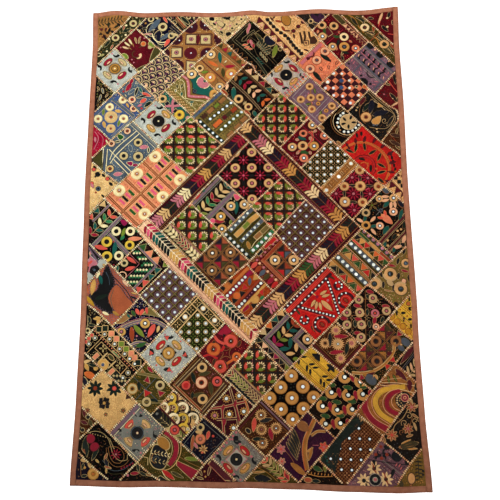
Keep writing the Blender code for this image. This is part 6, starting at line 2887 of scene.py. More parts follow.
    ("Hs", (550, 940, "top_corner", "top_strip"), "olive", """
        line 7 forest @ 640,-600 670,-602 700,-585 730,-592;
        line 5 ochre @ 600,-580 640,-592 670,-580 700,-574; line 5 ochre @ 720,-575 744,-584 770,-572;
        line 7 forest @ 740,-590 790,-588 820,-580; rim sand; leaf 40 13 moss @ 650,-584,12;
        leaf 34 12 olive @ 722,-578,-10 800,-574,-8; leaf 30 10 forest @ 662,-605,-10 752,-600,8;
        rim none; eye 16 cream maroon @ 689,-590; eye 17 honey forest @ 777,-586;
        leaf 22 9 rust @ 714,-604,40 800,-598,20; band 3 rust @ 735,-612 736,-564;
        leaf 16 6 maroon @ 826,-580,10 720,-592,0; litter sprigs 8 5 ochre moss sand"""),
    ("Hn", (550, 940, -820, "top_corner"), "maroon", """
        leaf 44 8 peach @ 704,-648,66; leaf 26 5 coral @ 714,-632,60; leaf 30 13 soot @ 740,-630,4;
        leaf 22 12 soot @ 716,-676,60; leaf 20 10 charcoal @ 680,-628,-30;
        leaf 18 8 forest @ 743,-664,50; dot 4 cream @ 742,-640 677,-628 720,-664;
        line 3 coral @ 760,-622 776,-632 796,-628; litter ticks 8 4 red maroon wine"""),
    ("X1", ("medallion_left", "inner_right", "row_e_foot", "medallion_top"), "wine", """
        line 2 tan @ 640,-82 900,-72 1090,-63; line 2 tan @ 640,-38 900,-32 1090,-24;
        dot 1.8 tan ~60 @ 640,-87 900,-78 1090,-69; dot 1.8 rose ~60 @ 640,-32 900,-26 1090,-18;
        comb 19 3 honey forest rose cream navy crimson gold forest crimson cream navy crimson gold @
            646,-60 1082,-46"""),
    ("X2", ("medallion_left", "inner_left", "medallion_top", "medallion_foot"), "wine", """
        line 2 tan @ 654,-30 656,368; line 2 tan @ 698,-30 700,180 706,368;
        dot 1.8 tan ~52 @ 705,-20 707,180 712,366; dot 1.8 gold ~52 @ 649,-20 650,366;
        comb 19 3 rose honey forest rose cream navy crimson gold forest crimson honey navy crimson @
            683,368 676,-30"""),
    ("X3", ("inner_right", "medallion_right", "row_e_foot", "medallion_foot"), "wine", """
        line 2 tan @ 1093,-68 1098,372; line 2 tan @ 1136,-68 1142,372;
        dot 1.8 tan ~56 @ 1144,-66 1149,372; dot 1.8 rose ~56 @ 1087,-66 1092,372;
        comb 19 3 honey forest rose honey navy crimson gold green rose cream navy crimson gold forest @
            1121,378 1114,-72"""),
    ("X4", ("medallion_left", "medallion_right", "medallion_foot", "row_p_top"), "peach", """
        line 2.4 ivory @ 656,391 1148,393;
        pair 26 13 50 crimson/pink/crimson/teal/teal/forest/black/black/black/gold/gold/gold ~37 @
            670,391,0 1130,393,0; pair 20 3 52 ivory ~37 @ 676,391,0 1136,393,0;
        band 8 peach @ 650,419 1150,421; line 1.6 rust @ 650,413 1150,415;
        line 1.6 rose @ 650,426 1150,428; band 8 rose ~2 @ 660,370 760,372; litter ticks 5 3 ivory rose"""),
    ("X11", ("inner_left", "inner_col_2", "medallion_top", "inner_row_2"), "soot", """
        starnet 36.8 honey rose maroon crimson pink @ 770,25; litter ticks 6 4 wine black purple"""),
    ("X12", ("inner_col_2", "inner_col_3", "medallion_top", "inner_row_2"), "brown", """
        tulips 47.5 0 coral leaf cream leaf @ 893,33; litter knots 5 2.8 honey cream"""),
    ("X13", ("inner_col_3", "inner_right", "medallion_top", "inner_row_2"), "brown", """
        netting 26 3 khaki 0 @ 1011,4; rim wine; mirror_grid 25.6 5 mauve leaf;
        litter knots 5 2.4 wine moss brown; litter ticks 4 3 rose mauve rust"""),
    ("X21", ("inner_left", "inner_col_2", "inner_row_2", "inner_row_3_left"), "soot", """
        band 9 mauve @ 720,120 723,240; line 1.6 pale @ 729,118 732,242; dot 5 teal @ 718,184;
        leaf 24 12 red @ 717,211,80; band 10 mauve @ 786,118 789,242; line 1.6 pale @ 793,118 797,240;
        line 1.6 pale @ 779,118 781,242; dot 1.2 maroon ~26 @ 784,118 787,242;
        dot 1.2 lilac ~26 @ 789,118 791,242; line 1.6 brown @ 757,118 758,242;
        pair 26 11 50 teal/honey/sand/crimson/jade/honey/leaf ~7 @ 757,128,-90 758,247,-90;
        band 9 mauve @ 796,185 858,187; rim soot; leaf 44 15 teal @ 829,154,48; rim none;
        heart 12 pink @ 806,127,180; eye 16 honey glass @ 839,128 813,161;
        eye 16 gold glass @ 814,207 845,233; leaf 34 15 crimson @ 822,221,-40;
        blob 18 14 pink @ 806,234; leaf 16 9 leaf @ 849,199,60; dot 2 cream @ 797,144 809,142;
        litter ticks 6 4 maroon brown mauve"""),
    ("X22", ("inner_col_2", "inner_col_3", "inner_row_2", "inner_row_3_left"), "olive", """
        band 14 slate @ 866,120 867,222; band 13 slate @ 914,120 915,222;
        band 14 jade @ 961,122 961,222; band 14 forest @ 860,238 972,239; up 0.6;
        glass 4.4 forest white ~5 @ 866,142 867,213; glass 4.4 forest white ~5 @ 914,143 915,209;
        glass 5.2 forest white ~5 @ 962,141 961,214; glass 4.8 soot white ~6 @ 867,237 955,238; up 0;
        dot 2.2 black ~10 @ 878,124 879,222; dot 2.2 black ~10 @ 902,124 903,222;
        dot 2.2 black ~10 @ 926,124 927,222; dot 2.2 black ~12 @ 862,227 968,228;
        box 40 15 gold @ 890,142,96; box 26 14 leaf @ 890,172,90; box 32 15 gold @ 891,204,90;
        box 30 14 khaki @ 940,142,90; box 26 14 tan @ 939,170,90; star 10 4 black @ 938,194,45;
        leaf 26 13 ochre @ 940,213,30; line 2 cream @ 949,160 947,190 952,214;
        litter ticks 6 5 khaki leaf tan"""),
    ("X23", ("inner_col_3", "inner_right", "inner_row_2", "inner_row_3_right"), "maroon", """
        quarters 40 honey glass rust red soot slate @ 1010,130 1090,210;
        band 11 rust @ 1003,130 1006,216; band 11 terracotta @ 1000,216 1090,218;
        dot 1.4 rust ~24 @ 1003,130 1006,216; dot 1.4 rust ~22 @ 1008,216 1090,218;
        box 26 13 red @ 979,172,90 982,150,90; box 22 12 soot @ 980,205,90;
        zigzag 1.6 5 7 tan @ 990,132 992,224; dot 4 rose ~6 @ 991,140 991,228;
        dot 4.5 peach/rose ~5 @ 1004,230 1074,232; zigzag 1.6 5 6 tan @ 998,230 1088,232; rim tan;
        leaf 28 15 coral/rust/slate/olive/crimson/red ~6 @ 996,246,90 1082,246,90;
        litter knots 5 2.6 tan rust brown"""),
    ("X31", ("inner_left", "inner_col_2", "inner_row_3_left", "medallion_foot"), "brown", """
        tulips 48.5 -90 coral leaf cream leaf @ 771,290;
        litter knots 5 2.8 honey cream @ 700,240 870,326; up 1.4;
        plate black @ 714,334 862,336 862,369 714,369; line 3 tan @ 714,329 862,332;
        line 3 rose @ 714,334 862,337; line 2.4 tan @ 714,366 862,369; up 2.2;
        pair 17 8 46 sand/cream/cream/maroon/crimson/crimson/crimson/cream/cream/cream ~10 @ 736,350,180
            858,351,180"""),
    ("X32", ("inner_col_2", "inner_col_3", "inner_row_3_left", "medallion_foot"), "brown", """
        quarters 40 tan white terracotta crimson navy olive @ 860,248 974,368;
        litter knots 5 2.4 tan maroon"""),
    ("X33", ("inner_col_3", "inner_right", "inner_row_3_right", "medallion_foot"), "rust", """
        band 13 magenta @ 1003,264 1006,374; band 12 wine @ 1050,262 1054,374;
        band 9 rust @ 1040,264 1042,374; band 11 amber @ 989,264 991,374;
        band 9 gold @ 1062,264 1066,374; up 0.6; glass 4.6 wine white ~7 @ 1003,292 1005,370;
        glass 4.6 wine white ~3 @ 1050,272 1051,298; glass 4.6 wine white ~3 @ 1053,345 1054,369;
        dot 2 rose ~3 @ 1051,312 1052,332; up 0; plate crimson @ 995,264 1014,264 1008,284; rim tan;
        tri 20 26 gold @ 1026,270,90; leaf 26 12 slate @ 1022,292,50;
        tri 20 22 red @ 1024,316,90 1070,290,20; dot 11 orange @ 1026,350; dot 13 gold @ 1072,320;
        tri 18 24 soot @ 981,330,-90 1031,334,180 979,362,-90 1030,366,180 1082,336,160;
        leaf 18 10 jade @ 1083,302,90; dot 9 amber @ 979,350;
        plate crimson @ 1062,340 1078,348 1076,372 1060,372; rim none;
        litter ticks 6 4 gold red amber maroon"""),
    ("E8", ("seam_e78", "col_j_left", "row_e_top", "row_e_foot"), "soot", """
        rim tan; blob 24 16 slate @ 1118,-211; blob 30 14 navy @ 1180,-211,10;
        leaf 28 15 teal @ 1149,-178,90; leaf 42 13 teal @ 1203,-184,64; leaf 34 17 teal @ 1203,-116,80;
        leaf 24 12 teal @ 1134,-99,60 1169,-101,-60; star 19 5 green leaf @ 1120,-147; rim gold;
        leaf 46 24 salmon @ 1182,-145; leaf 20 9 coral @ 1166,-155,35 1166,-135,-35; rim none;
        leaf 24 10 peach @ 1130,-196,-42 1138,-187,-58 1161,-187,56 1168,-197,42 1152,-115,90
            1127,-85,-10 1180,-87,10; leaf 8 5 peach @ 1150,-98,90; line 2 grey @ 1133,-147 1166,-147;
        line 2 grey @ 1150,-163 1150,-130; eye 7 slate black @ 1150,-153;
        eye 14 honey glass @ 1151,-210; eye 12 honey white @ 1122,-178; eye 14 peach glass @ 1180,-176;
        eye 14 sand moss @ 1123,-116; eye 13 peach glass @ 1181,-114; eye 15 gold black @ 1150,-86;
        band 9 maroon @ 1213,-206 1218,-72; line 1.6 sand @ 1207,-206 1211,-72;
        line 1.6 sand @ 1222,-200 1225,-72; band 7 maroon @ 1250,-168 1252,-72;
        line 1.6 sand @ 1244,-172 1245,-72; line 1.6 sand @ 1257,-162 1258,-72; rim tan;
        leaf 26 12 forest @ 1232,-166,50 1235,-118,80; leaf 20 12 teal @ 1262,-86,60 1232,-80,60;
        rim none; dot 4 honey @ 1230,-139 1240,-131 1229,-96 1240,-84 1234,-150;
        leaf 28 12 peach @ 1262,-132,70 1264,-102,-60; box 14 14 black @ 1270,-117,45;
        litter knots 6 3 tan forest teal"""),
    ("I1", ("medallion_right", "col_j_left", "row_e_foot", "cross_i12"), "olive", """
        up 0.6; glass 5 slate rose ~7 @ 1160,-68 1271,-65; glass 5.2 slate white ~7 @ 1158,-10 1268,-9;
        glass 5.2 slate white ~7 @ 1160,49 1269,50; up 0; band 15 slate @ 1150,-10 1280,-9;
        band 15 slate @ 1150,49 1280,50; line 2 peach @ 1150,5 1280,7; line 2 tan @ 1150,62 1280,64;
        box 42 8 green/gold/rust ~3 @ 1172,-54 1257,-52;
        box 42 7 coral/gold/soot ~3 @ 1172,-24 1257,-22; dot 1.2 brown ~30 @ 1152,-54 1278,-52;
        dot 1.2 brown ~30 @ 1152,-24 1278,-22; band 8 tan @ 1150,35 1280,37;
        band 7 ochre @ 1150,66 1280,67;
        tri 19 24 soot/gold/red/black/orange/coral/green ~7 @ 1157,-39,90 1270,-38,90;
        tri 19 26 green/coral/orange/black ~4 @ 1158,17,90 1272,18,90;
        tri 19 26 gold/green/red ~3 @ 1177,21,-90 1252,22,-90;
        tri 18 26 gold/black/orange/coral ~4 @ 1158,77,90 1268,77,90;
        tri 18 26 soot/red/green ~3 @ 1174,81,-90 1250,82,-90; litter ticks 6 4 olive tan"""),
    ("I2", ("medallion_right", "col_j_left", "cross_i12", "cross_i23"), "red", """
        band 9 wine @ 1154,96 1154,284; band 9 wine @ 1178,100 1178,284;
        band 9 wine @ 1180,122 1228,146 1280,176; band 9 wine @ 1180,243 1228,218 1276,188;
        arc 8 11 300 wine @ 1219,113,20 1219,260,20; arc 8 22 250 wine @ 1265,130,180 1265,233,180;
        line 2.4 coral ~2 @ 1161,94 1161,284; line 2.4 coral @ 1170,94 1170,284;
        line 2.4 coral @ 1166,94 1166,284; line 1.6 coral @ 1186,134 1184,232;
        line 1.6 coral @ 1186,118 1232,140 1282,168;
        line 1.6 coral @ 1188,136 1226,154 1266,178 1226,208 1188,232;
        line 1.6 coral @ 1186,248 1232,224 1280,196; arc 2 29 220 coral @ 1265,130,180 1265,233,180;
        arc 3 13 360 coral @ 1265,130 1265,233; blob 15 9 rust @ 1265,130 1265,233; up 0.8;
        glass 2.8 maroon white ~14 @ 1154,101 1154,278; glass 2.8 maroon white ~11 @ 1178,124 1178,274;
        glass 2.8 maroon white ~10 @ 1190,127 1276,174; glass 2.8 maroon white ~10 @ 1190,238 1272,191;
        glass 2.6 maroon white @ 1208,112 1213,103 1223,103 1229,110 1226,120 1208,260 1213,270 1224,269
            1229,260 1223,250 1250,114 1243,125 1246,140 1256,149 1250,217 1243,229 1246,243 1256,252;
        up 0; leaf 46 16 honey @ 1236,182;
        leaf 26 10 honey @ 1202,160,-78 1213,162,-60 1203,206,76 1214,204,56 1224,197,34;
        leaf 14 5 honey @ 1186,183; dot 5 crimson @ 1197,183; dot 4 rose @ 1227,168;
        leaf 22 6 olive @ 1188,108,-10 1188,256,10 1256,262,10;
        leaf 14 6 orange @ 1256,262,20 1240,160,40; litter ticks 9 4 crimson rust"""),
    ("I3", ("medallion_right", "col_j_left", "cross_i23", "cross_i34"), "soot", """
        band 8 mauve @ 1176,284 1177,382 1288,383; band 8 mauve @ 1236,284 1237,322 1288,323;
        line 1.4 pale @ 1182,284 1183,376 1288,377; line 1.4 pale @ 1170,284 1171,390 1288,391;
        line 1.4 pale @ 1242,284 1243,316 1288,317; line 1.4 pale @ 1230,284 1231,328 1288,329;
        tri 20 26 honey/teal/orange/sand ~4 @ 1158,294,0 1158,372,0; line 1.6 tan @ 1207,284 1208,376;
        rim black; pair 26 12 50 rust/teal/honey/leaf/magenta ~5 @ 1207,296,-90 1207,375,-90;
        leaf 34 14 teal @ 1237,340,50 1237,364,-50; leaf 28 13 honey @ 1258,337,48 1259,362,-48;
        leaf 20 12 leaf @ 1280,334,50 1280,362,-50; eye 16 honey glass @ 1265,296; rim none;
        dot 4 rust @ 1259,363;
        tri 16 22 forest/peach/navy/magenta/black/leaf ~6 @ 1166,400,90 1280,400,90;
        litter ticks 6 4 maroon brown"""),
    ("I4", ("medallion_right", "col_j_left", "cross_i34", "row_q_top"), "brown", """
        tulips 48.5 -90 @ 1223,453; litter knots 5 2.8 honey cream @ 1150,410 1290,500; up 1.4;
        plate black @ 1160,510 1292,508 1292,550 1160,550; line 2.6 tan @ 1160,508 1292,506;
        line 2.6 rose @ 1160,513 1292,511; up 2.2;
        pair 16 7 46 crimson/leaf/leaf/leaf/leaf/leaf/maroon/maroon/maroon/maroon ~10 @ 1184,528,180
            1288,526,180; up 0; line 2 rose @ 1190,452 1222,484; litter ticks 6 4 brown soot"""),
    ("J1", ("col_j_left", "col_k_left", -170, "cross_j12"), "khaki", """
        eye 20 honey soot olive @ 1304,-23 1357,-10 1291,33; eye 15 honey soot olive @ 1315,-80;
        arc 7 20 150 sand @ 1304,-23,60 1357,-10,200 1291,33,270;
        glass 5 soot slate @ 1315,-80 1304,-23 1357,-10 1291,33; rim sand;
        leaf 24 10 soot @ 1286,-105,60 1294,-68,62 1326,-35,56 1340,3,56 1312,17,52 1285,-3,30
            1352,-52,45; leaf 24 9 crimson @ 1291,-46,-32 1329,-60,-28; leaf 26 4 rust @ 1334,20,-32;
        rim none; dot 7 peach @ 1347,-35; blob 26 16 sand @ 1322,-2; leaf 20 9 ochre @ 1306,-98,30;
        blob 14 9 soot @ 1378,33; litter knots 5 3.4 tan leaf sand; litter ticks 5 4 khaki tan"""),
    ("J2", ("col_j_left", "col_k_left", "cross_j12", "cross_j23"), "black", """
        line 1.6 tan @ 1284,66 1390,180; line 1.6 tan @ 1282,128 1340,186;
        line 1.6 tan @ 1390,66 1284,176; line 1.6 tan @ 1340,50 1290,100;
        leaf 24 13 crimson @ 1298,60,-30 1360,60,-40 1329,91,-20 1300,118,-30 1366,116,60 1330,146,-30
            1298,174,-40 1356,178,-40;
        leaf 22 11 forest @ 1334,112,50 1332,164,40 1362,134,40 1306,76,10 1380,98,70 1384,152,60;
        eye 14 sand rose brown @ 1317,69 1371,69 1291,101 1318,128 1292,155 1346,151 1317,182 1371,180;
        eye 13 rose coral brown @ 1352,98; eye 11 peach white brown @ 1381,126;
        arc 3 14 130 honey @ 1317,69,30 1318,128,30 1346,151,30 1371,180,60 1352,98,40;
        star 8 4 sand @ 1337,66,45 1344,125,45 1314,156,45 1344,186,45;
        litter knots 6 3 maroon forest tan"""),
    ("J3", ("col_j_left", "col_k_left", "cross_j23", "cross_j34"), "brown", """
        star 21 18 honey @ 1337,243; star 18 16 honey @ 1305,217 1363,213 1309,268 1371,268;
        eye 9 sand glass brown @ 1337,243; eye 8 rose rose tan @ 1305,217 1363,213 1371,268;
        eye 8 tan brown @ 1309,268; rim honey; leaf 44 15 crimson @ 1328,220,-46 1351,263,-52;
        leaf 46 15 forest @ 1364,233,58; leaf 46 14 charcoal @ 1312,250,48; rim none;
        dot 3 gold @ 1332,212 1346,270; band 5 maroon @ 1286,295 1390,293 1388,198;
        line 1.6 tan @ 1284,287 1382,286 1381,198; litter ticks 6 4 brown ochre maroon;
        litter ticks 4 4 tan khaki sand"""),
    ("J4", ("col_j_left", "col_k_left", "cross_j34", "cross_j45"), "yellow", """
        shape black @ 1304,319 1311,310 1318,303 1326,309 1333,319;
        shape black @ 1356,311 1362,303 1370,301 1379,304 1383,312; box 10 6 black @ 1370,316,90;
        line 1.6 black ~2 @ 1286,323 1402,321; line 1.6 black @ 1286,332 1402,330;
        dot 1.8 rust ~28 @ 1287,327 1401,326; line 1.6 black @ 1286,368 1402,364;
        line 1.6 black @ 1286,378 1402,374; dot 1.8 rust ~28 @ 1287,373 1401,369;
        line 1.8 black @ 1286,352 1330,350 1402,348;
        leaf 18 7 black @ 1293,341,-48 1324,340,-48 1338,340,-48 1375,339,-48 1390,338,-48 1322,359,48
            1336,360,48 1292,362,48 1376,358,48 1389,358,48; litter ticks 6 4 mustard yellow gold"""),
    ("J5", ("col_j_left", "col_k_left", "cross_j45", "cross_j56"), "black", """
        rim ochre;
        eye 19 gold glass ochre @ 1305,407 1350,406 1393,406 1306,453 1350,452 1394,450 1305,498
            1350,497 1393,494; rim none; litter knots 9 5 charcoal moss"""),
    ("J6", ("col_j_left", "col_k_left", "cross_j56", "cross_j67"), "brown", """
        star 19 18 honey @ 1321,550 1377,546 1350,578 1378,603; up 0.5;
        eye 9 tan glass soot @ 1321,550 1377,546 1378,603; eye 9 tan rose brown @ 1350,578;
        blob 18 12 soot @ 1326,608; rim honey; up 0; leaf 40 15 charcoal @ 1341,550,-56;
        leaf 38 15 crimson @ 1378,568,34; leaf 42 15 coral @ 1326,584,52;
        leaf 42 14 forest @ 1364,602,-46; rim none; dot 4 gold @ 1347,542;
        band 5 mauve @ 1294,524 1411,522; line 1.6 tan @ 1294,532 1411,530;
        band 4 maroon @ 1300,534 1304,626; litter ticks 6 4 brown ochre olive;
        litter ticks 4 4 tan gold khaki"""),
    ("J7", ("col_j_left", "col_k_left", "cross_j67", "cross_j78"), "grey", """
        rim rose; box 42 44 pale @ 1358,688; dot 3 rose @ 1336,652 1382,652 1336,722 1382,722; rim none;
        wheel black red gold @ 1358,688; up 0.7; eye 17 charcoal grey @ 1358,688; up 0;
        box 12 12 black @ 1316,648,45; dot 4 rose ~8 @ 1305,636 1308,728;
        line 1.6 rust @ 1300,631 1412,630; litter knots 6 3.4 mauve pale grey"""),
    ("Qf", ("seam_qef", "col_j_left", "row_q_top", "row_r_top"), "wine", """
        line 7 maroon @ 1204,560 1230,574 1262,592 1300,620; line 7 crimson @ 1244,580 1290,606;
        line 7 crimson @ 1262,556 1228,612 1206,640; line 7 maroon @ 1284,600 1240,650;
        line 7 crimson @ 1226,614 1284,664; line 6 orange @ 1250,548 1278,562 1296,572; up 0.5;
        flower 13 11 gold tan @ 1238,556 1218,588 1279,578 1255,613 1228,646 1291,632; up 1.4;
        glass 5 soot white @ 1238,556 1218,588 1279,578 1255,613 1291,632; glass 5 soot rose @ 1228,646;
        up 0; leaf 24 9 crimson @ 1246,580,60 1230,614,60 1262,640,60;
        litter ticks 7 4 purple maroon soot"""),
    ("K1", ("col_k_left", "col_l_left", -70, "cross_k12"), "yellow", """
        box 9 9 black @ 1397,-6,45 1416,15,45; line 1.6 soot @ 1388,19 1436,19;
        line 1.6 soot @ 1388,30 1444,30; dot 2 rust ~7 @ 1394,24 1432,24;
        leaf 14 8 black @ 1410,39,-50 1437,39,-50; dot 2.6 rust @ 1397,38 1424,38;
        line 1.6 soot @ 1388,47 1458,47; line 1.6 soot @ 1388,60 1466,60;
        leaf 13 7 black @ 1397,53,50 1424,53,50 1452,53,50; leaf 14 4 gold ~6 @ 1404,53,20 1446,54,20;
        rim rust; dot 9 mustard @ 1393,71 1415,72 1436,70 1457,70; dot 8 yellow @ 1470,80; rim none;
        dot 6 amber @ 1402,8; litter knots 6 3 gold yellow ochre"""),
    ("K2", ("col_k_left", "col_l_left", "cross_k12", "cross_k23"), "moss", """
        quarters 41 tan charcoal olive ochre crimson maroon @ 1389,97 1471,262; rim olive; up 1.6;
        blob 32 22 slate @ 1472,100; blob 24 15 slate @ 1474,122; blob 38 28 slate @ 1474,252; rim none;
        line 7 ochre @ 1449,124 1464,142 1470,164 1471,196 1462,228 1444,256 1422,276;
        line 2.4 gold @ 1452,124 1467,142 1473,164 1474,196 1465,228 1447,256;
        tri 16 20 red @ 1481,165,0 1481,190,180; leaf 16 8 gold @ 1470,118,30 1474,243,70 1480,236,20;
        tri 15 20 crimson @ 1443,96,90 1452,266,-30; litter knots 6 3 olive tan"""),
    ("K3", ("col_k_left", "col_l_left", "cross_k23", "cross_k34"), "black", """
        line 2 brown @ 1402,322 1508,300; line 2 brown @ 1402,345 1508,322;
        line 2 brown @ 1402,398 1508,372; line 2 brown @ 1402,448 1508,420;
        shell 20 gold crimson green @ 1416,300,90 1457,277,90 1486,299,90 1458,331,90 1419,359,90
            1493,352,90 1464,384,90 1428,406,90 1496,405,90 1468,436,90;
        litter ticks 6 4 soot brown moss"""),
    ("K4", ("col_k_left", "col_l_left", "cross_k34", "cross_k45"), "purple", """
        leaf 46 30 tan @ 1428,487,-10; leaf 58 9 charcoal ~5 @ 1436,524,24 1452,560,14;
        leaf 50 4 khaki ~5 @ 1438,520,24 1456,556,14;
        line 14 ochre @ 1436,446 1446,476 1456,506 1472,530 1492,548 1518,566;
        line 4 orange @ 1433,450 1443,480 1454,510 1470,534 1490,552 1516,571;
        line 4 gold @ 1441,450 1451,478 1461,504 1478,526 1498,544;
        line 7 ochre @ 1482,452 1466,468 1461,490; leaf 40 10 ochre @ 1494,528,62;
        leaf 22 7 gold @ 1486,520,-80; rim gold; leaf 56 18 ochre @ 1500,582,-6; rim none;
        flower 15 6 coral rose @ 1508,487; flower 14 6 rose coral @ 1427,578;
        flower 11 6 rose coral @ 1452,600; line 2 rose @ 1482,506 1494,494;
        line 2 tan @ 1440,572 1462,574 1484,580; litter ticks 9 4 navy black maroon"""),
    ("L1", ("col_l_left", "col_m_left", 30, "cross_l12"), "soot", """
        leaf 74 15 maroon @ 1500,122,84; line 1.6 grey @ 1494,90 1506,160;
        line 1.6 grey @ 1508,90 1515,162; line 1.6 slate @ 1513,100 1520,164;
        pair 24 7 52 sand/peach/sand ~3 @ 1541,136,-90 1541,164,-90; line 1.6 sand @ 1541,130 1541,166;
        leaf 22 7 peach @ 1530,124,30 1556,136,-40; litter ticks 7 4 charcoal tan black"""),
    ("L2", ("col_l_left", "col_m_left", "cross_l12", "cross_l23"), "tan", """
        line 2.4 cream @ 1502,236 1540,200 1575,176; line 2.4 cream @ 1502,244 1550,214 1590,190;
        line 2.4 sand @ 1500,228 1524,196 1545,172; rim sand; leaf 48 17 maroon @ 1526,180,4;
        leaf 36 18 maroon @ 1563,186,48; leaf 28 12 soot @ 1580,178,50; rim none;
        line 4 maroon @ 1552,196 1528,214 1504,242; line 4 maroon @ 1552,204 1526,226 1504,258 1504,298;
        band 17 yellow @ 1556,198 1534,222 1518,256 1524,288 1552,303 1598,296;
        line 2 olive @ 1556,200 1538,224 1524,256 1530,284 1556,296 1598,288;
        line 2 peach @ 1546,200 1524,222 1508,256 1514,292 1546,314 1598,308;
        band 14 crimson @ 1554,216 1543,240 1546,264 1564,278 1600,268;
        line 2.4 peach @ 1558,214 1551,238 1556,256 1572,264 1598,256;
        line 2.4 peach @ 1548,214 1534,240 1537,270 1560,288 1598,282;
        shape black @ 1560,216 1574,206 1592,214 1592,250 1572,252 1558,238; up 1;
        dot 2.6 cream ~9 @ 1562,220 1560,236 1572,250 1590,248;
        dot 2.2 sand ~6 @ 1568,216 1568,238 1586,242; eye 11 magenta crimson peach @ 1576,222; up 0;
        band 20 crimson @ 1500,304 1520,326 1552,334 1600,324;
        line 2.4 peach @ 1502,300 1524,318 1554,325 1600,314;
        line 2 peach @ 1502,314 1522,334 1552,342 1600,334; leaf 24 8 leaf @ 1520,200,20 1510,216,40;
        dot 3.4 maroon @ 1506,210 1516,188; litter ticks 7 4 gold tan"""),
    ("L3", ("col_l_left", "col_m_left", "cross_l23", "cross_l34"), "brown", """
        netting 7 1.5 tan 0 @ 1560,430; rim maroon;
        mirror_grid 19.6 4.6 soot honey turns @ 1532,369 1615,507; rim none;
        shape forest @ 1510,352 1540,350 1536,372 1524,410 1522,450 1530,480 1556,504 1580,524 1512,528;
        leaf 24 5 green ~7 @ 1519,368,-60 1526,512,50; dot 4 teal ~4 @ 1520,496 1550,514;
        litter ticks 5 3 ochre brown gold olive; up 1.2; litter ticks 4 3 olive forest tan teal"""),
    ("L4", ("col_l_left", "col_m_left", "cross_l34", 700), "soot", """
        leaf 30 15 green @ 1536,543,-20; leaf 20 10 leaf @ 1550,528,40;
        line 2.4 gold @ 1527,572 1552,556 1580,528; leaf 8 3 gold ~7 @ 1532,564,60 1576,528,60;
        leaf 24 12 forest @ 1556,570,-40; blob 22 14 terracotta @ 1538,584,-40;
        litter ticks 8 4 tan forest olive"""),
    ("M1", ("col_m_left", "right_corner", 130, "cross_m12"), "charcoal", """
        line 2.4 sand @ 1604,240 1610,270 1608,300 1616,318; line 2 tan @ 1626,244 1634,262 1640,272;
        curl 2 10 1.1 sand @ 1618,252,200 1640,250,40 1622,276,90 1646,236,0;
        curl 2 8 1 tan @ 1634,300,60 1606,284,180; flower 15 7 rust rose @ 1607,228 1640,281;
        flower 17 8 terracotta coral @ 1620,326; leaf 24 7 sand @ 1618,212,-60 1592,214,20 1650,262,30;
        leaf 20 7 tan @ 1630,240,-10 1656,292,-60 1612,350,20; leaf 56 26 olive @ 1672,312,-58;
        leaf 30 6 gold ~4 @ 1660,312,-70 1684,314,-46; leaf 24 8 rust @ 1662,328,-60;
        litter ticks 9 4 soot slate black"""),
    ("M2", ("col_m_left", "right_corner", "cross_m12", 580), "mauve", """
        line 3 black @ 1617,424 1660,392 1712,350; line 3 black @ 1624,410 1640,378 1664,372;
        dot 14 black @ 1668,360; glass 4 bare blue @ 1668,360; comma 16 black @ 1628,386,20 1638,372,60;
        comma 14 black @ 1646,390,200 1636,402,120 1652,376,160;
        dot 5 rust @ 1646,376 1642,394 1624,398 1620,372; line 3 grey @ 1648,396 1712,388;
        line 2 black @ 1646,402 1712,396; line 2 black @ 1652,390 1700,384 1702,364;
        leaf 14 6 rose @ 1690,374,80 1698,376,80 1682,378,80; rim mauve;
        flower 21 9 cream black @ 1646,430 1688,428 1648,474; rim none; up 0.6;
        leaf 10 4 rust ~9 @ 1634,424,200 1660,436,380; leaf 10 4 rust ~9 @ 1674,420,200 1700,434,380;
        up 1; eye 17 black rose pale @ 1668,450; up 0; line 2 soot @ 1622,420 1626,500;
        line 2 soot @ 1640,440 1650,452 1640,466; litter ticks 5 4 rose pale black peach;
        leaf 26 10 black @ 1640,420,30 1690,402,70 1660,478,60; dot 8 black @ 1700,350 1632,360"""),
    ("Ms", ("right_corner", 1860, 190, 570), "khaki", """
        blob 30 20 honey @ 1736,376,50; leaf 26 9 tan @ 1750,398,70;
        line 3 forest @ 1712,322 1734,344 1752,362; leaf 12 5 forest ~6 @ 1716,318,-40 1752,354,-40;
        leaf 12 5 soot ~6 @ 1716,332,120 1748,368,120; leaf 26 12 olive @ 1728,408,40;
        dot 4 black @ 1745,338 1752,346; leaf 20 8 moss @ 1724,300,50; litter knots 6 3 gold khaki"""),
    ("Pa", ("col_d_left", "seam_pab", "row_p_top", "row_q_top"), "black", """
        tri 18 24 honey/teal/coral ~3 @ 524,438,0 528,494,0; band 7 mauve @ 538,422 542,500;
        band 8 mauve @ 592,422 600,556; line 1.4 pale @ 587,422 594,556;
        line 1.4 pale @ 599,422 606,556; line 1.6 honey @ 566,422 569,530;
        pair 25 12 50 coral/jade/cream/teal/crimson ~5 @ 567,452,-90 568,533,-90;
        band 8 mauve @ 606,491 700,493; line 1.4 pale @ 606,485 700,487;
        line 1.4 pale @ 606,498 700,500; rim black; heart 13 magenta @ 614,432,170;
        leaf 46 16 salmon @ 676,444,-48; leaf 34 13 leaf @ 636,456,62; leaf 20 12 jade @ 646,470,80;
        leaf 54 16 teal @ 656,512,50; leaf 44 16 coral @ 622,538,-32; rim none;
        eye 16 cream brown @ 648,438 680,517; eye 16 cream black @ 617,469;
        eye 16 yellow charcoal @ 679,470; eye 18 yellow charcoal @ 621,513 656,545;
        dot 3 crimson @ 636,498 690,548; dot 3 jade @ 662,424; litter ticks 6 4 maroon brown mauve"""),
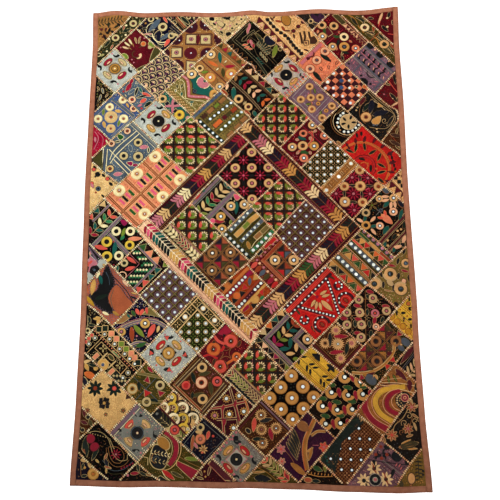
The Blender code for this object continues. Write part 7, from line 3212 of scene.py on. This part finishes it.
    ("Pb", ("seam_pab", "seam_pbc", "row_p_top", "row_q_top"), "black", """
        tri 24 28 green/salmon/salmon ~3 @ 713,444,-90 771,442,-90; tri 18 22 leaf @ 802,434,90;
        band 6 mauve @ 700,454 782,456; line 1.4 rose @ 700,450 800,451;
        checker 6.6 forest jade cream black @ 704,462 781,484;
        checker 6.6 jade black forest cream @ 750,484 781,556; band 7 mauve @ 785,456 788,556;
        tri 20 26 teal ~2 @ 796,465,180 797,492,180; tri 20 28 coral ~2 @ 798,518,180 799,546,180;
        line 1.6 rose @ 702,489 744,490 746,556; rim brown; leaf 38 13 coral @ 718,499,-10;
        leaf 34 14 coral @ 734,520,-62; rim none; eye 13 sand forest @ 709,521;
        arc 4 12 180 peach @ 734,552,-90; leaf 18 9 teal @ 706,546,40;
        litter ticks 6 4 maroon forest tan"""),
    ("Pc", ("seam_pbc", "seam_pcd", "row_p_top", "row_q_top"), "brown", """
        netting 25.6 3 khaki 0 @ 836.5,453; rim wine; mirror_grid 25.6 5.6 mauve jade @ 816,427 941,556;
        litter knots 5 2.4 soot mauve leaf"""),
    ("Pd", ("seam_pcd", "seam_pde", "row_p_top", "row_q_top"), "moss", """
        mirror_grid 17.2 5.4 sand leaf turns @ 976,466 1062,556; line 4 honey @ 940,436 1062,438;
        line 4 honey @ 942,463 1062,465; line 4 honey @ 946,432 950,556; line 4 honey @ 971,463 976,556;
        up 0.5; box 30 20 black @ 981,450 960,506,90; box 26 20 black @ 1031,450; up 1.4;
        glass 6 honey white @ 981,449 1031,450 961,505; up 0.6;
        star 10 4 honey @ 956,449,45 1006,450,45 1053,451,45 958,478,45 962,538,45;
        litter ticks 4 3 gold tan sand"""),
    ("Pe", ("seam_pde", "medallion_right", "row_p_top", "row_q_top"), "maroon", """
        rim wine; plate crimson @ 1063,434 1092,434 1088,462 1064,474; tri 13 14 soot @ 1082,461,180;
        line 13 rust @ 1092,440 1112,440 1130,462; line 12 coral @ 1104,478 1082,486 1064,484;
        line 12 red @ 1104,478 1110,498 1092,512; line 11 orange @ 1156,476 1150,504 1144,534;
        line 10 red @ 1118,524 1092,534 1084,550; rim orange;
        leaf 24 11 brown @ 1132,448,70 1078,502,60 1112,478,-30 1148,520,20 1118,540,60; rim none;
        line 1.6 tan @ 1124,470 1130,488 1146,496 1130,502 1124,522 1119,502 1104,496 1119,489 1124,470;
        eye 21 coral black rust @ 1109,460; eye 15 orange black brown @ 1154,481;
        eye 21 orange black rust @ 1090,513; eye 20 coral black rust @ 1140,535;
        litter ticks 6 4 wine rust coral; up 1.8; dot 1.8 white @ 1109,460 1090,513 1140,535 1154,481"""),
    ("Qa", (520, "seam_qab", "row_q_top", "row_r_top"), "charcoal", """
        rim pale; box 36 44 rose @ 636,600; dot 16 pale @ 664,570 664,632; rim none;
        eye 16 soot slate black @ 660,601; leaf 26 12 gold @ 662,568,10; leaf 34 14 coral @ 634,600,90;
        band 4 mauve ~2 @ 600,560 670,562; dot 3.4 mauve ~14 @ 596,566 668,580;
        line 2 soot ~2 @ 620,556 622,640; box 12 12 black @ 666,558; blob 18 12 cream @ 664,626;
        leaf 16 6 rose @ 644,580,50 612,574,50; litter knots 5 3 mauve charcoal pale"""),
    ("Qb", ("seam_qab", "seam_qbc", "row_q_top", "row_r_top"), "terracotta", """
        rim soot; shape terracotta @ 740,582 790,586 826,590 826,640 790,644 764,640 746,622;
        line 1.8 maroon @ 752,592 788,612 822,606; line 1.8 maroon @ 756,614 790,626 824,624;
        line 1.6 brown @ 772,600 800,596 822,594; rim none;
        line 4 black @ 676,560 700,572 740,574 780,576 826,588;
        shape black @ 676,562 706,570 734,584 742,606 756,630 784,644 800,652 776,668 730,674 706,664
            712,640 696,610 684,586; up 0.7; leaf 32 13 teal @ 697,608,30;
        leaf 44 15 forest @ 738,642,-66; line 1.8 teal @ 748,602 762,626 788,642;
        line 1.8 slate @ 690,580 712,588 728,600; leaf 30 9 charcoal @ 716,584,20; rim brown; up 0;
        leaf 54 18 gold @ 697,641,52; leaf 46 14 mustard @ 722,676,4; leaf 26 12 ochre @ 806,646,-10;
        rim none; leaf 24 10 cream @ 680,604,70 784,668,-20; leaf 30 9 peach @ 758,562,4;
        leaf 22 8 gold @ 800,564,-30; leaf 24 7 black @ 810,574,-20; netting 7 1.4 mauve 30 @ 805,670;
        litter ticks 6 4 coral rust"""),
    ("Qc", ("seam_qbc", "seam_qcd", "row_q_top", "row_r_top"), "navy", """
        plate khaki @ 862,560 908,560 884,574 864,592; plate tan @ 826,626 846,616 842,650 828,668;
        line 9 mauve @ 846,684 852,654 866,622 888,592 912,574 946,564;
        line 1.6 rose @ 839,684 845,652 860,618 883,586 910,567;
        line 1.6 lilac @ 853,684 859,656 872,626 893,598 916,580 946,571;
        line 8 mauve @ 906,684 912,664 928,648 948,640; line 1.6 lilac @ 914,684 919,668 932,656;
        rim tan; leaf 22 12 coral @ 858,588,70 866,574,40 848,596,20; leaf 22 11 green @ 843,608,10;
        blob 16 9 teal @ 838,624; leaf 46 18 coral @ 919,606,72; leaf 50 16 leaf @ 894,633,4;
        leaf 46 16 rust @ 886,655,42; leaf 36 15 green @ 928,656,-66; leaf 22 10 honey @ 930,588,60;
        rim none; eye 16 gold white @ 890,604; eye 14 gold rose @ 858,672;
        dot 3 rose @ 874,620 906,620 904,590 878,644 936,624 900,648; litter knots 6 3 lilac purple sand"""),
    ("Qd", ("seam_qcd", "seam_qde", "row_q_top", "row_r_top"), "pale", """
        wheel ochre gold red @ 1004,616; up 0.8; eye 17 gold glass ochre @ 1004,616; up 0;
        dot 4 black @ 988,602 1017,600 990,632 1019,629;
        tri 14 16 coral @ 968,588,40 1042,586,120 968,652,-40 1040,648,220;
        dot 3 coral @ 1004,566 1004,666; litter knots 7 3 grey ivory lilac"""),
    ("Qe", ("seam_qde", "seam_qef", "row_q_top", "row_r_top"), "brown", """
        line 10 brown @ 1086,560 1088,670; line 10 brown @ 1186,560 1194,668;
        line 1.6 tan @ 1092,562 1096,664 1184,662 1180,560; dot 1.8 tan ~24 @ 1074,566 1080,670;
        dot 1.8 maroon ~22 @ 1086,566 1088,666; dot 1.8 wine ~22 @ 1186,566 1192,664;
        line 7 rust @ 1080,668 1196,664; rim tan; leaf 38 14 olive @ 1122,582,-60;
        leaf 40 15 olive @ 1166,600,36; leaf 38 15 forest @ 1108,614,28;
        leaf 36 13 olive @ 1152,638,-62; leaf 22 11 forest @ 1142,652,50; heart 13 red @ 1108,645,-100;
        rim none; eye 16 honey charcoal @ 1104,575; eye 16 coral rose @ 1164,572;
        eye 18 peach charcoal rust @ 1134,607; eye 16 honey charcoal @ 1170,638;
        eye 14 coral rust @ 1108,645; litter ticks 4 4 rust maroon rose"""),
    ("Rb", ("seam_rab", "seam_rbc", "row_r_top", "row_s_top"), "black", """
        rim honey; box 17 17 forest @ 816,700,45 805,715,45 960,700,45;
        box 16 16 salmon ~2 @ 841,697,45 863,697,45; box 16 16 leaf ~2 @ 885,697,45 906,697,45;
        box 16 16 salmon ~2 @ 926,695,45 942,697,45; dot 7 black ~7 @ 828,713 956,709; rim none; up 0.8;
        glass 3.8 bare white ~7 @ 828,713 956,709;
        glass 3.8 bare white @ 816,741 816,766 961,741 961,762; up 0;
        dot 6.5 soot @ 816,741 816,766 961,741 961,762; line 2 honey @ 800,724 976,718;
        dot 2 salmon ~20 @ 800,728 976,724; leaf 34 6 jade @ 896,729,-4; rim honey;
        star 12 4 jade @ 856,745,45 928,744,45; blob 24 12 olive @ 892,746; rim none;
        line 2 honey @ 838,735 948,732 950,760 838,762 838,735; box 30 3 honey @ 875,760,90 910,758,90;
        box 12 20 salmon @ 858,776 924,774; eye 17 gold slate honey @ 891,778;
        glass 5 bare blue @ 891,778; line 2 honey ~2 @ 830,724 832,790; line 2 tan ~2 @ 946,722 950,784;
        box 10 10 coral ~4 @ 803,742,45 806,782,45; checker 7 soot forest sand @ 934,760 974,786;
        litter ticks 6 4 honey forest sand"""),
    ("Rc", ("seam_rbc", "seam_rcd", "row_r_top", "row_s_top"), "olive", """
        band 8 khaki @ 980,722 1038,682; band 8 khaki @ 1040,782 1096,724;
        line 2 soot @ 984,744 1042,690; line 2 slate @ 1030,682 1034,782;
        line 2 slate @ 980,738 1096,734; tri 17 24 crimson @ 1016,716,120 1073,714,60;
        tri 22 24 red @ 1044,741,-50; leaf 26 11 crimson @ 1001,688,0; rim tan;
        leaf 30 14 forest @ 1012,745,40 1074,742,-30; rim none; eye 15 sand brown @ 1054,699;
        eye 16 sand brown ochre @ 1004,764; eye 15 sand brown @ 1061,760; star 20 14 ochre @ 1004,764;
        tri 14 14 tan @ 990,708,-20; litter knots 6 3 tan ochre brown"""),
    ("Rd", ("seam_rcd", "seam_rde", "row_r_top", "row_s_top"), "honey", """
        up 0.2; arc 4 22 190 maroon @ 1103,704,-90 1192,738,-90;
        arc 5 24 190 black @ 1148,700,-90 1170,720,-90;
        arc 4 22 190 black @ 1126,718,-90 1188,700,-90 1152,738,-90; arc 4 22 190 maroon @ 1108,736,-90;
        up 0.6; arc 9 14 200 yellow @ 1103,704,-90 1126,720,-90 1170,720,-90 1192,738,-90;
        arc 9 14 200 ivory @ 1148,698,-90 1190,698,-90 1108,738,-90 1152,738,-90; up 1;
        eye 7 cream glass black @ 1103,698 1201,728;
        eye 7 sand magenta maroon @ 1148,694 1128,714 1108,731;
        eye 7 sand grey olive @ 1190,690 1170,713 1155,731; up 1.4; line 5 maroon @ 1095,744 1212,742;
        plate sand @ 1095,748 1210,746 1212,776 1096,778; up 2.2; eye 15 black grey black @ 1107,762;
        eye 14 coral rose maroon @ 1176,757; pair 22 6 46 olive/black ~5 @ 1132,761,180 1158,760,180;
        pair 15 5 46 leaf/olive ~3 @ 1200,756,180 1214,756,180; litter ticks 6 3 yellow sand gold"""),
    ("Re", ("seam_rde", "col_j_left", "row_r_top", "row_s_top"), "navy", """
        line 1.8 grey @ 1218,682 1294,675 1296,762 1222,764 1216,700; leaf 26 12 coral @ 1254,699,60;
        leaf 20 9 honey @ 1229,712,-30 1233,708,60; leaf 46 10 terracotta @ 1238,746,52;
        leaf 22 9 rose @ 1250,744,10; rim brown; flower 14 8 honey tan @ 1272,736; rim none;
        eye 13 sand black @ 1223,699; eye 15 salmon rose tan @ 1246,722;
        dot 4 coral @ 1276,744 1266,690; litter sprigs 8 5 slate tan soot"""),
    ("Sa", (740, "seam_sab", "row_s_top", "row_t_top"), "soot", """
        leaf 26 10 honey @ 850,806,-60; leaf 24 12 gold @ 863,817,20; rim gold;
        leaf 40 22 orange @ 888,826,-20; dot 6 gold @ 884,800; rim none; blob 40 30 navy @ 884,856;
        leaf 28 11 forest @ 872,800,-30 850,826,50; leaf 16 6 cream @ 878,790,10;
        line 2 tan @ 836,800 860,826 880,860; litter sprigs 8 5 teal ochre navy"""),
    ("Sb", ("seam_sab", "seam_sbc", "row_s_top", "row_t_top"), "honey", """
        flower 23 8 forest coral @ 966,801; flower 23 8 forest rust @ 926,841;
        flower 17 4 soot gold @ 976,851,45;
        box 8 8 soot @ 976,851,45 962,851,45 990,851,45 976,838,45 976,864,45;
        dot 2.4 gold @ 976,851 966,845 986,845 966,857 986,857; flower 9 8 brown rust @ 1031,826;
        flower 7 7 brown orange @ 1003,870; flower 9 7 maroon rust @ 957,900;
        tri 12 16 brown @ 1012,791,90; line 1.6 maroon @ 996,789 1030,788;
        litter ticks 5 3.4 amber ochre gold honey"""),
    ("Sc", ("seam_sbc", "seam_scd", "row_s_top", "row_t_top"), "grey", """
        band 12 mauve @ 1050,786 1056,896; dot 2 rose ~18 @ 1050,790 1055,892;
        line 1.8 ivory @ 1060,786 1064,894 1160,888; rim grey;
        dot 15 grey @ 1082,816 1128,816 1082,864 1128,864; rim none; wheel soot honey coral @ 1106,840;
        up 0.7; eye 18 charcoal rose slate @ 1106,840; litter knots 7 3 ivory slate rose"""),
    ("Ta", (840, "seam_tab", "row_t_top", 1020), "brown", """
        leaf 24 12 maroon @ 956,912,40 976,930,-20; leaf 22 11 olive @ 990,918,20;
        dot 6 soot @ 972,912 988,948; leaf 20 9 forest @ 992,968,60 978,950,10;
        litter sprigs 7 5 tan rust sand"""),
    ("Tb", ("seam_tab", "seam_tbc", "row_t_top", "foot_corner"), "black", """
        line 1.8 sand @ 1004,944 1016,924 1036,912 1060,912 1078,920 1100,930 1128,928 1140,912
            1130,902;
        line 1.8 tan @ 1076,926 1092,910 1114,906 1130,916 1132,934 1118,944 1096,940 1076,928;
        line 1.6 tan @ 1072,932 1098,950 1128,950 1144,930 1144,908;
        line 1.6 slate @ 1090,964 1128,964 1152,936 1154,904;
        line 1.6 olive @ 1100,976 1134,972 1160,944; star 17 9 crimson rose @ 1106,925; rim maroon;
        dot 13 crimson @ 1022,948 1048,955; rim none; eye 8 crimson wine maroon @ 1022,948 1048,955;
        leaf 44 14 forest @ 1036,976,40 1062,966,70 1020,968,60; leaf 24 11 navy @ 1104,960,20;
        leaf 22 8 terracotta @ 1090,950,70 1116,966,-30 1034,984,10;
        leaf 14 6 gold @ 1120,976,40 1082,976,0; dot 1.6 sand ~16 @ 1010,938 1060,908 1090,918;
        dot 3 crimson ~5 @ 1146,940 1158,908; litter sprigs 8 5 soot moss maroon tan"""),
    ("Tc", ("seam_tbc", 1345, "row_t_top", 1120), "soot", """
        leaf 26 11 crimson @ 1182,922,-50; leaf 22 9 forest @ 1178,905,30 1200,906,-20;
        leaf 20 7 tan @ 1214,896,-30; dot 4 rose @ 1172,940; litter sprigs 7 5 moss tan maroon"""),
    ("Ts", (940, 1240, "foot_corner", 1160), "navy", """
        eye 16 gold amber ochre @ 1100,1008; leaf 22 12 honey @ 1054,1001,-40 1074,998,30;
        leaf 18 9 forest @ 1064,1016,60 1086,1030,-50; dot 4 gold @ 1070,1014;
        line 2 tan @ 1050,1012 1078,1036; litter sprigs 8 5 gold forest tan"""),
    ("J8", ("col_j_left", "col_k_left", "cross_j78", 860), "wine", """
        plate maroon @ 1308,736 1396,734 1376,752 1310,754; line 2 crimson @ 1308,755 1380,753;
        band 4 wine @ 1308,742 1392,740; leaf 26 8 maroon @ 1326,766,60;
        leaf 20 7 brown @ 1312,786,20 1322,798,-30; dot 3 gold @ 1318,776 1330,784;
        litter ticks 7 4 wine brown rust"""),
    ("K5", ("col_k_left", "col_l_left", "cross_k45", 770), "olive", """
        pair 22 8 46 coral/sand/leaf/leaf/leaf/coral/coral ~7 @ 1424,632,180 1502,626,180;
        line 4 brown @ 1414,654 1440,645 1484,640; line 2 ochre @ 1414,662 1442,652 1480,648;
        leaf 50 22 black @ 1446,672,-40; leaf 40 6 ochre @ 1426,668,-50;
        leaf 22 9 crimson @ 1490,620,20; arc 2 34 120 tan @ 1446,676,200;
        litter ticks 6 4 khaki moss tan"""),
    ("Ra", (640, "seam_rab", "row_r_top", "row_s_top"), "soot", """
        leaf 24 12 gold @ 776,696,-50 786,700,60; leaf 22 10 forest @ 764,716,30 780,722,-40;
        eye 10 sand black @ 784,742; dot 5 forest @ 770,700; line 2 sand @ 750,710 770,730 790,760;
        leaf 20 9 teal @ 786,770,80; litter sprigs 8 5 sand teal ochre"""),
    ("Sd", ("seam_scd", "col_j_left", "row_s_top", "row_t_top"), "olive", """
        band 16 crimson @ 1160,780 1188,776 1212,786 1228,806 1234,836;
        line 2.4 sand @ 1160,791 1186,786 1206,796 1219,814 1224,842;
        line 3 honey @ 1160,770 1190,764 1220,775 1238,798 1244,838 1232,862;
        line 1.6 peach @ 1160,776 1188,770 1216,780 1232,802 1238,838; blob 44 30 ochre @ 1180,806;
        shape black @ 1164,826 1184,814 1210,818 1226,836 1230,858 1210,872 1188,868 1172,848; up 0.8;
        pair 9 3 44 cream ~6 @ 1172,850,-60 1212,820,-40;
        pair 9 3 44 sand ~5 @ 1186,864,-50 1226,838,-40; arc 2.4 15 200 tan @ 1196,848,160;
        arc 2 9 200 slate @ 1198,852,200; up 0; plate crimson @ 1240,812 1306,786 1310,818 1250,822;
        line 2 tan @ 1236,800 1270,790 1306,776; leaf 48 12 leaf @ 1270,776,-40;
        leaf 46 14 red @ 1252,856,-8; line 2.4 cream @ 1232,862 1250,866 1276,862;
        leaf 40 10 olive @ 1270,838,-20; plate soot @ 1238,874 1262,868 1256,886 1236,886;
        line 3 sand @ 1164,874 1178,866 1192,880; litter ticks 6 4 olive ochre tan"""),
)

# Each piece of embroidery, and the first letters of the patches in it
FIELDS = (
    ("embroidery_west", "ABCD"),
    ("embroidery_north", "EFGH"),
    ("embroidery_medallion", "X"),
    ("embroidery_east", "IJKLM"),
    ("embroidery_south", "PQRST"),
)


def main() -> None:
    """Builds every piece, and works out how large the dressed cloth is."""
    logging.basicConfig(level=logging.INFO, format="%(name)s: %(message)s")
    patches = [Patch(name, Cell(*cell), ground, chart) for name, cell, ground, chart in CHARTS]
    studio = Studio()
    studio.make_floor()
    studio.light()
    studio.camera()
    silk, glass = SilkFinish().make(), MirrorFinish().make()
    cotton = CottonFinish("border_cotton", (0.28, 0.112, 0.062), (0.15, 0.048, 0.023)).make()
    backing = CottonFinish("backing_cotton", (0.5, 0.4, 0.27), (0.33, 0.24, 0.15), mottle=24.0).make()
    field_cloth = PatchworkGround(patches)
    ground = field_cloth.make(GroundFinish().make(), backing)
    log.info("%s: %d triangles", ground.name, len(ground.data.polygons))
    sewn = Embroidery(patches, FIELDS).make(silk, glass)
    braid_finish = SilkFinish("braid_thread", thread=1.1, roughness=0.5).make()
    sewn.append(Braid().make(braid_finish))
    hidden = 2 * field_cloth.inset
    flat = ((CLOTH.width - hidden) / 1000, (CLOTH.height - hidden) / 1000)
    for side in Side:
        strip = BorderStrip(side).make(cotton)
        log.info("%s: %d triangles", strip.name, len(strip.data.polygons))


if __name__ == "__main__":
    main()
